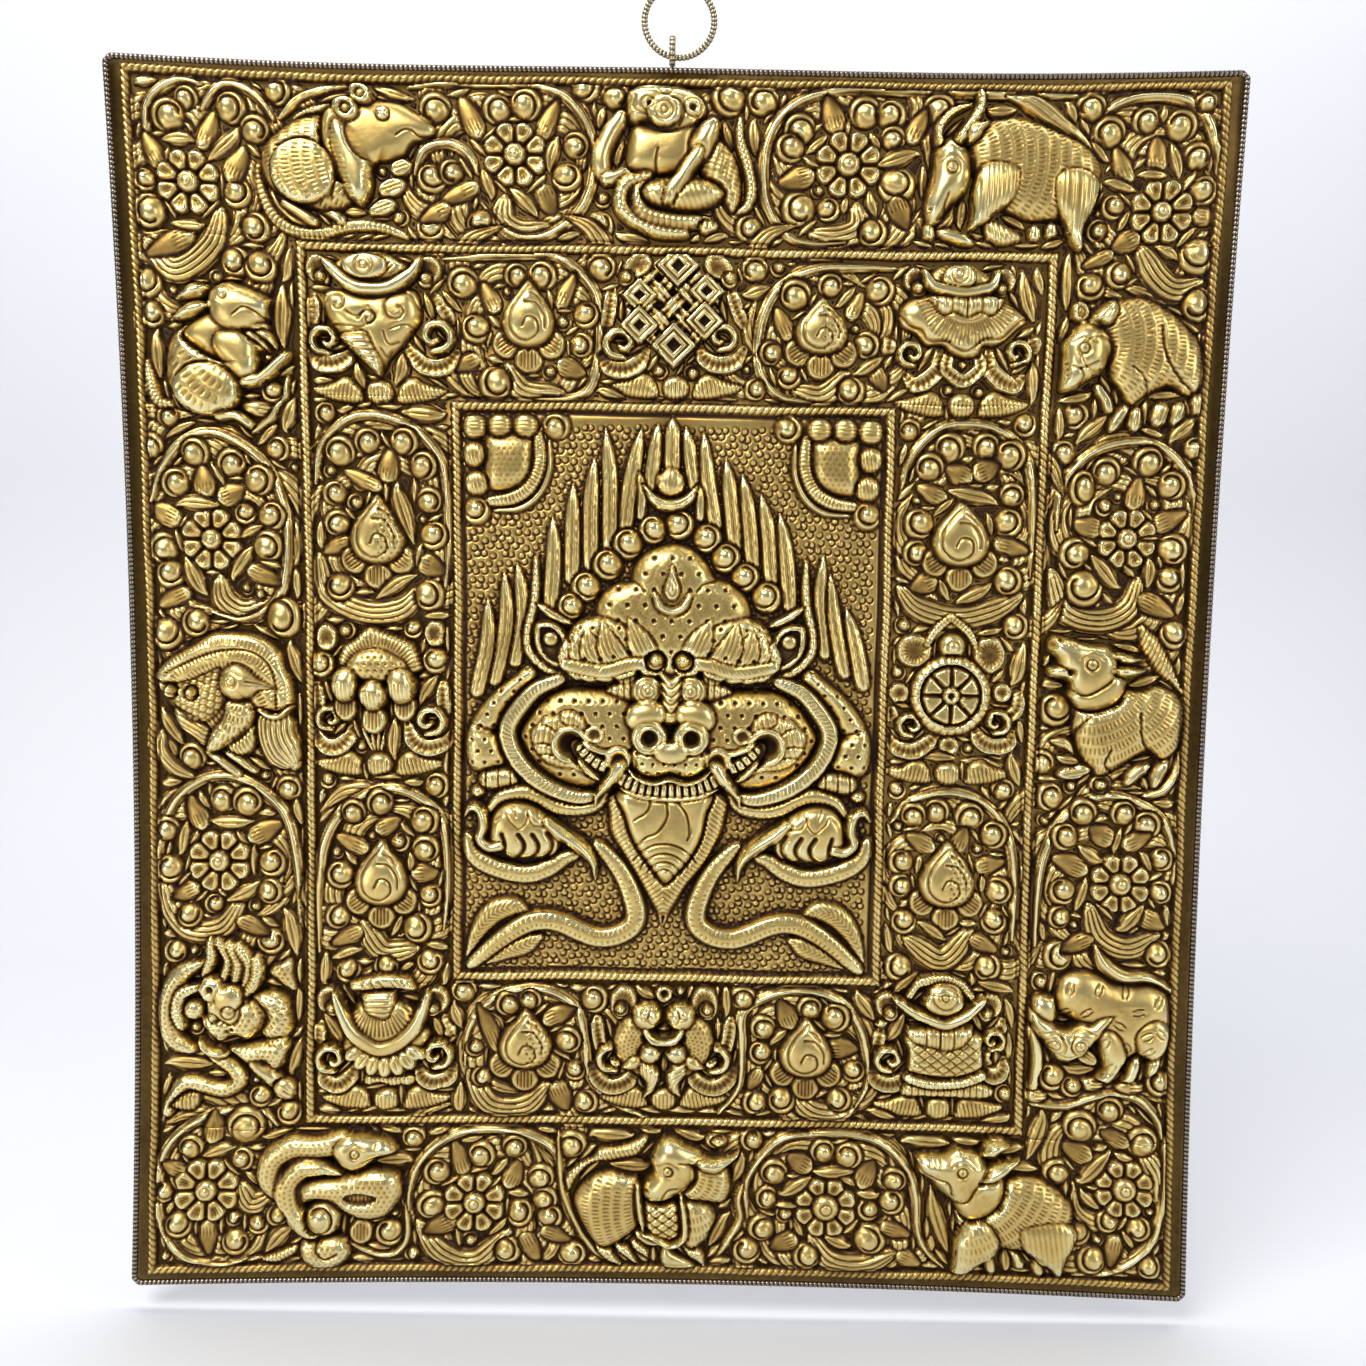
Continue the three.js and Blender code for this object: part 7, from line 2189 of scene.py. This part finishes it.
class PLAQUE_OT_sheet_back(bpy.types.Operator):
    """Build the back of the sheet, with the hollows that the raising left"""
    bl_idname = "plaque.sheet_back"
    bl_label = "Sheet Back"

    def execute(self, context):
        s = embossed_sheet(context.scene.plaque.spacing)
        mesh = grid_mesh("sheet_back", int(SHEET_WIDTH / BACK_STEP), int(SHEET_HEIGHT / BACK_STEP))
        co = coordinates(mesh)
        x, z = corner_cut(co[:, 0] * (HALF_WIDTH - BACK_GAP), co[:, 1] * (HALF_HEIGHT - BACK_GAP))
        hollow = np.clip(sampled(blurred(s.h, s.spacing, BACK_BLUR), s, x, z), 0, None)
        depth = BACK_DEPTH * np.tanh(hollow * BACK_SHARE / BACK_DEPTH)
        depth[(np.abs(co[:, 0]) > 0.999) | (np.abs(co[:, 1]) > 0.999)] = 0
        wx, wz = drawn(x, z)
        write_coordinates(mesh, placed(wx, -depth, wz))
        # The back's tone darkens with the depth of its hollows: partly oxide, partly painted shade
        float_attribute(mesh, "patina", np.clip(BACK_TONE - BACK_DARKENING * depth, 0, 1))
        close_behind(mesh, (SHEET_FACE + PLATE_PLACE[1] + 0.1) * MM)
        smooth(mesh)
        obj = linked("sheet_back", mesh)
        mesh.materials.append(sheet_brass())
        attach(obj, "root")
        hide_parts("embossed_panel")
        return {"FINISHED"}


class PLAQUE_OT_edge_wire(bpy.types.Operator):
    """Run the ribbed wire round the sheet"""
    bl_idname = "plaque.edge_wire"
    bl_label = "Edge Wire"

    def execute(self, context):
        ribs = int(round(WIRE_LENGTH / context.scene.plaque.rib_pitch))
        radius = ribbed(WIRE_RADIUS, RIB_DEPTH, ribs)
        tube("edge_wire_ribbed", edge_path, radius, ribs * 4, 6, wire_brass(), "edge_wire")
        return {"FINISHED"}


class PLAQUE_OT_hanging_eye(bpy.types.Operator):
    """Bend the beaded eye on the middle of the top edge"""
    bl_idname = "plaque.hanging_eye"
    bl_label = "Hanging Eye"

    def execute(self, context):
        path = oval_path(EYE_CENTRE, EYE_HALF_DEPTH, EYE_HALF_HEIGHT, (0, 1, 0))
        beads = int(round(math.pi * (EYE_HALF_DEPTH + EYE_HALF_HEIGHT) / context.scene.plaque.bead_pitch))
        radius = ribbed(EYE_WIRE, BEAD_DEPTH, beads)
        tube("hanging_eye_beaded", path, radius, beads * 8, 12, bead_brass(), "hanging_eye")
        return {"FINISHED"}


class PLAQUE_OT_hanging_ring(bpy.types.Operator):
    """Bend the beaded ring that hangs in the eye"""
    bl_idname = "plaque.hanging_ring"
    bl_label = "Hanging Ring"

    def execute(self, context):
        path = oval_path(RING_CENTRE, RING_RADIUS, RING_RADIUS, (1, 0, 0))
        beads = int(round(2 * math.pi * RING_RADIUS / context.scene.plaque.bead_pitch))
        radius = ribbed(RING_WIRE, BEAD_DEPTH, beads)
        tube("hanging_ring_beaded", path, radius, beads * 8, 12, bead_brass(), "hanging_ring")
        return {"FINISHED"}


# The stage, in metres, watts and degrees
FLOOR_SIZE = 6.0
BACKDROP_GAP = 0.9
CREASE_RADIUS = 0.4
CREASE_STEPS = 12
PLAQUE_MIDDLE = (0, 0, -0.28)
BACKDROP_MIDDLE = (0, 0.9, -0.3)
WHITE = (1, 1, 1)
WINDOW_COLOUR = (1.0, 0.99, 0.97)
ROOM_COLOUR = (0.9, 0.93, 1.0, 1)
ROOM_STRENGTH = 0.30
LENS = 36.9
SENSOR_WIDTH = 36
CAMERA_PLACE = (0.0058, -0.5817, -0.2200)
CAMERA_TURN = (84.327, -0.898, 0.111)


def area_light(name, place, target, size, power, colour=WHITE):
    """A soft rectangular light that faces its target."""
    lamp = bpy.data.lights.new(name, "AREA")
    lamp.shape = "RECTANGLE"
    lamp.size, lamp.size_y = size
    lamp.energy = power
    lamp.color = colour
    obj = bpy.data.objects.new(name, lamp)
    bpy.context.scene.collection.objects.link(obj)
    obj.location = place
    way = Vector(target) - Vector(place)
    obj.rotation_euler = way.to_track_quat("-Z", "Y").to_euler()


def paper_floor(bottom, colour):
    """A sheet of paper that lies on the floor and turns up into a backdrop."""
    bm = bmesh.new()
    bmesh.ops.create_grid(bm, x_segments=2, y_segments=2, size=FLOOR_SIZE / 2)
    back = [e for e in bm.edges if all(v.co.y > FLOOR_SIZE / 2 - 0.01 for v in e.verts)]
    grown = bmesh.ops.extrude_edge_only(bm, edges=back)["geom"]
    for v in (v for v in grown if isinstance(v, bmesh.types.BMVert)):
        v.co.z += FLOOR_SIZE / 2
    bmesh.ops.translate(bm, vec=(0, BACKDROP_GAP - FLOOR_SIZE / 2, bottom), verts=bm.verts)

    def creased(v):
        return abs(v.co.y - BACKDROP_GAP) < 1e-4 and abs(v.co.z - bottom) < 1e-4

    crease = [e for e in bm.edges if all(creased(v) for v in e.verts)]
    bmesh.ops.bevel(bm, geom=crease, offset=CREASE_RADIUS, segments=CREASE_STEPS, profile=0.5,
        affect="EDGES", material=-1)
    mesh = bpy.data.meshes.new("pale_floor")
    bm.to_mesh(mesh)
    bm.free()
    smooth(mesh)
    floor = linked("pale_floor", mesh)
    mesh.materials.append(plain_finish("pale_paper", colour, 0.8))


class PLAQUE_OT_stage(bpy.types.Operator):
    """Set the floor, the backdrop, the lights and the camera"""
    bl_idname = "plaque.stage"
    bl_label = "Stage"

    def execute(self, context):
        settings = context.scene.plaque_stage
        paper_floor(CAD_BOX[0][2] - settings.floor_drop, settings.paper)
        area_light("window_light", (-0.55, -0.9, 0.75), PLAQUE_MIDDLE, (0.9, 0.6), settings.window_power,
            WINDOW_COLOUR)
        area_light("side_light", (1.1, -0.8, 0.2), PLAQUE_MIDDLE, (0.4, 1.0), 5)
        area_light("low_light", (-0.9, -0.9, -0.5), PLAQUE_MIDDLE, (0.4, 0.5), 3)
        area_light("backdrop_light", (0.0, 0.2, 1.1), BACKDROP_MIDDLE, (2.2, 0.6), 22)
        world = bpy.data.worlds.new("soft_room")
        world.use_nodes = True
        background = world.node_tree.nodes["Background"]
        background.inputs[0].default_value = ROOM_COLOUR
        background.inputs[1].default_value = ROOM_STRENGTH
        context.scene.world = world
        camera = bpy.data.cameras.new("photo_camera")
        camera.lens = LENS
        camera.sensor_width = SENSOR_WIDTH
        camera.clip_start = 0.01
        eye = bpy.data.objects.new("photo_camera", camera)
        context.scene.collection.objects.link(eye)
        eye.location = CAMERA_PLACE
        eye.rotation_euler = [math.radians(a) for a in CAMERA_TURN]
        context.scene.camera = eye
        context.scene.view_settings.view_transform = "Standard"
        return {"FINISHED"}


class PLAQUE_PT_pieces(bpy.types.Panel):
    """The plaque's pieces"""
    bl_idname = "PLAQUE_PT_pieces"
    bl_label = "Brass Plaque"
    bl_space_type = "VIEW_3D"
    bl_region_type = "UI"
    bl_category = "Plaque"

    def draw(self, context):
        for name in ("spacing", "keep", "rib_pitch", "bead_pitch", "tarnish_and_shade", "polish_and_highlight"):
            self.layout.prop(context.scene.plaque, name)
        for name in ("floor_drop", "paper", "window_power"):
            self.layout.prop(context.scene.plaque_stage, name)
        for operator in OPERATORS:
            self.layout.operator(operator.bl_idname)


OPERATORS = (PLAQUE_OT_stage, PLAQUE_OT_embossed_face, PLAQUE_OT_sheet_back, PLAQUE_OT_edge_wire,
    PLAQUE_OT_hanging_eye, PLAQUE_OT_hanging_ring)
CLASSES = (PlaqueSettings, StageSettings, *OPERATORS, PLAQUE_PT_pieces)


def register():
    for item in CLASSES:
        bpy.utils.register_class(item)
    bpy.types.Scene.plaque = bpy.props.PointerProperty(type=PlaqueSettings)
    bpy.types.Scene.plaque_stage = bpy.props.PointerProperty(type=StageSettings)


def unregister():
    del bpy.types.Scene.plaque
    del bpy.types.Scene.plaque_stage
    for item in reversed(CLASSES):
        bpy.utils.unregister_class(item)


def main():
    register()
    bpy.ops.plaque.stage()
    bpy.ops.plaque.embossed_face()
    bpy.ops.plaque.sheet_back()
    bpy.ops.plaque.edge_wire()
    bpy.ops.plaque.hanging_eye()
    bpy.ops.plaque.hanging_ring()


if __name__ == "__main__":
    main()
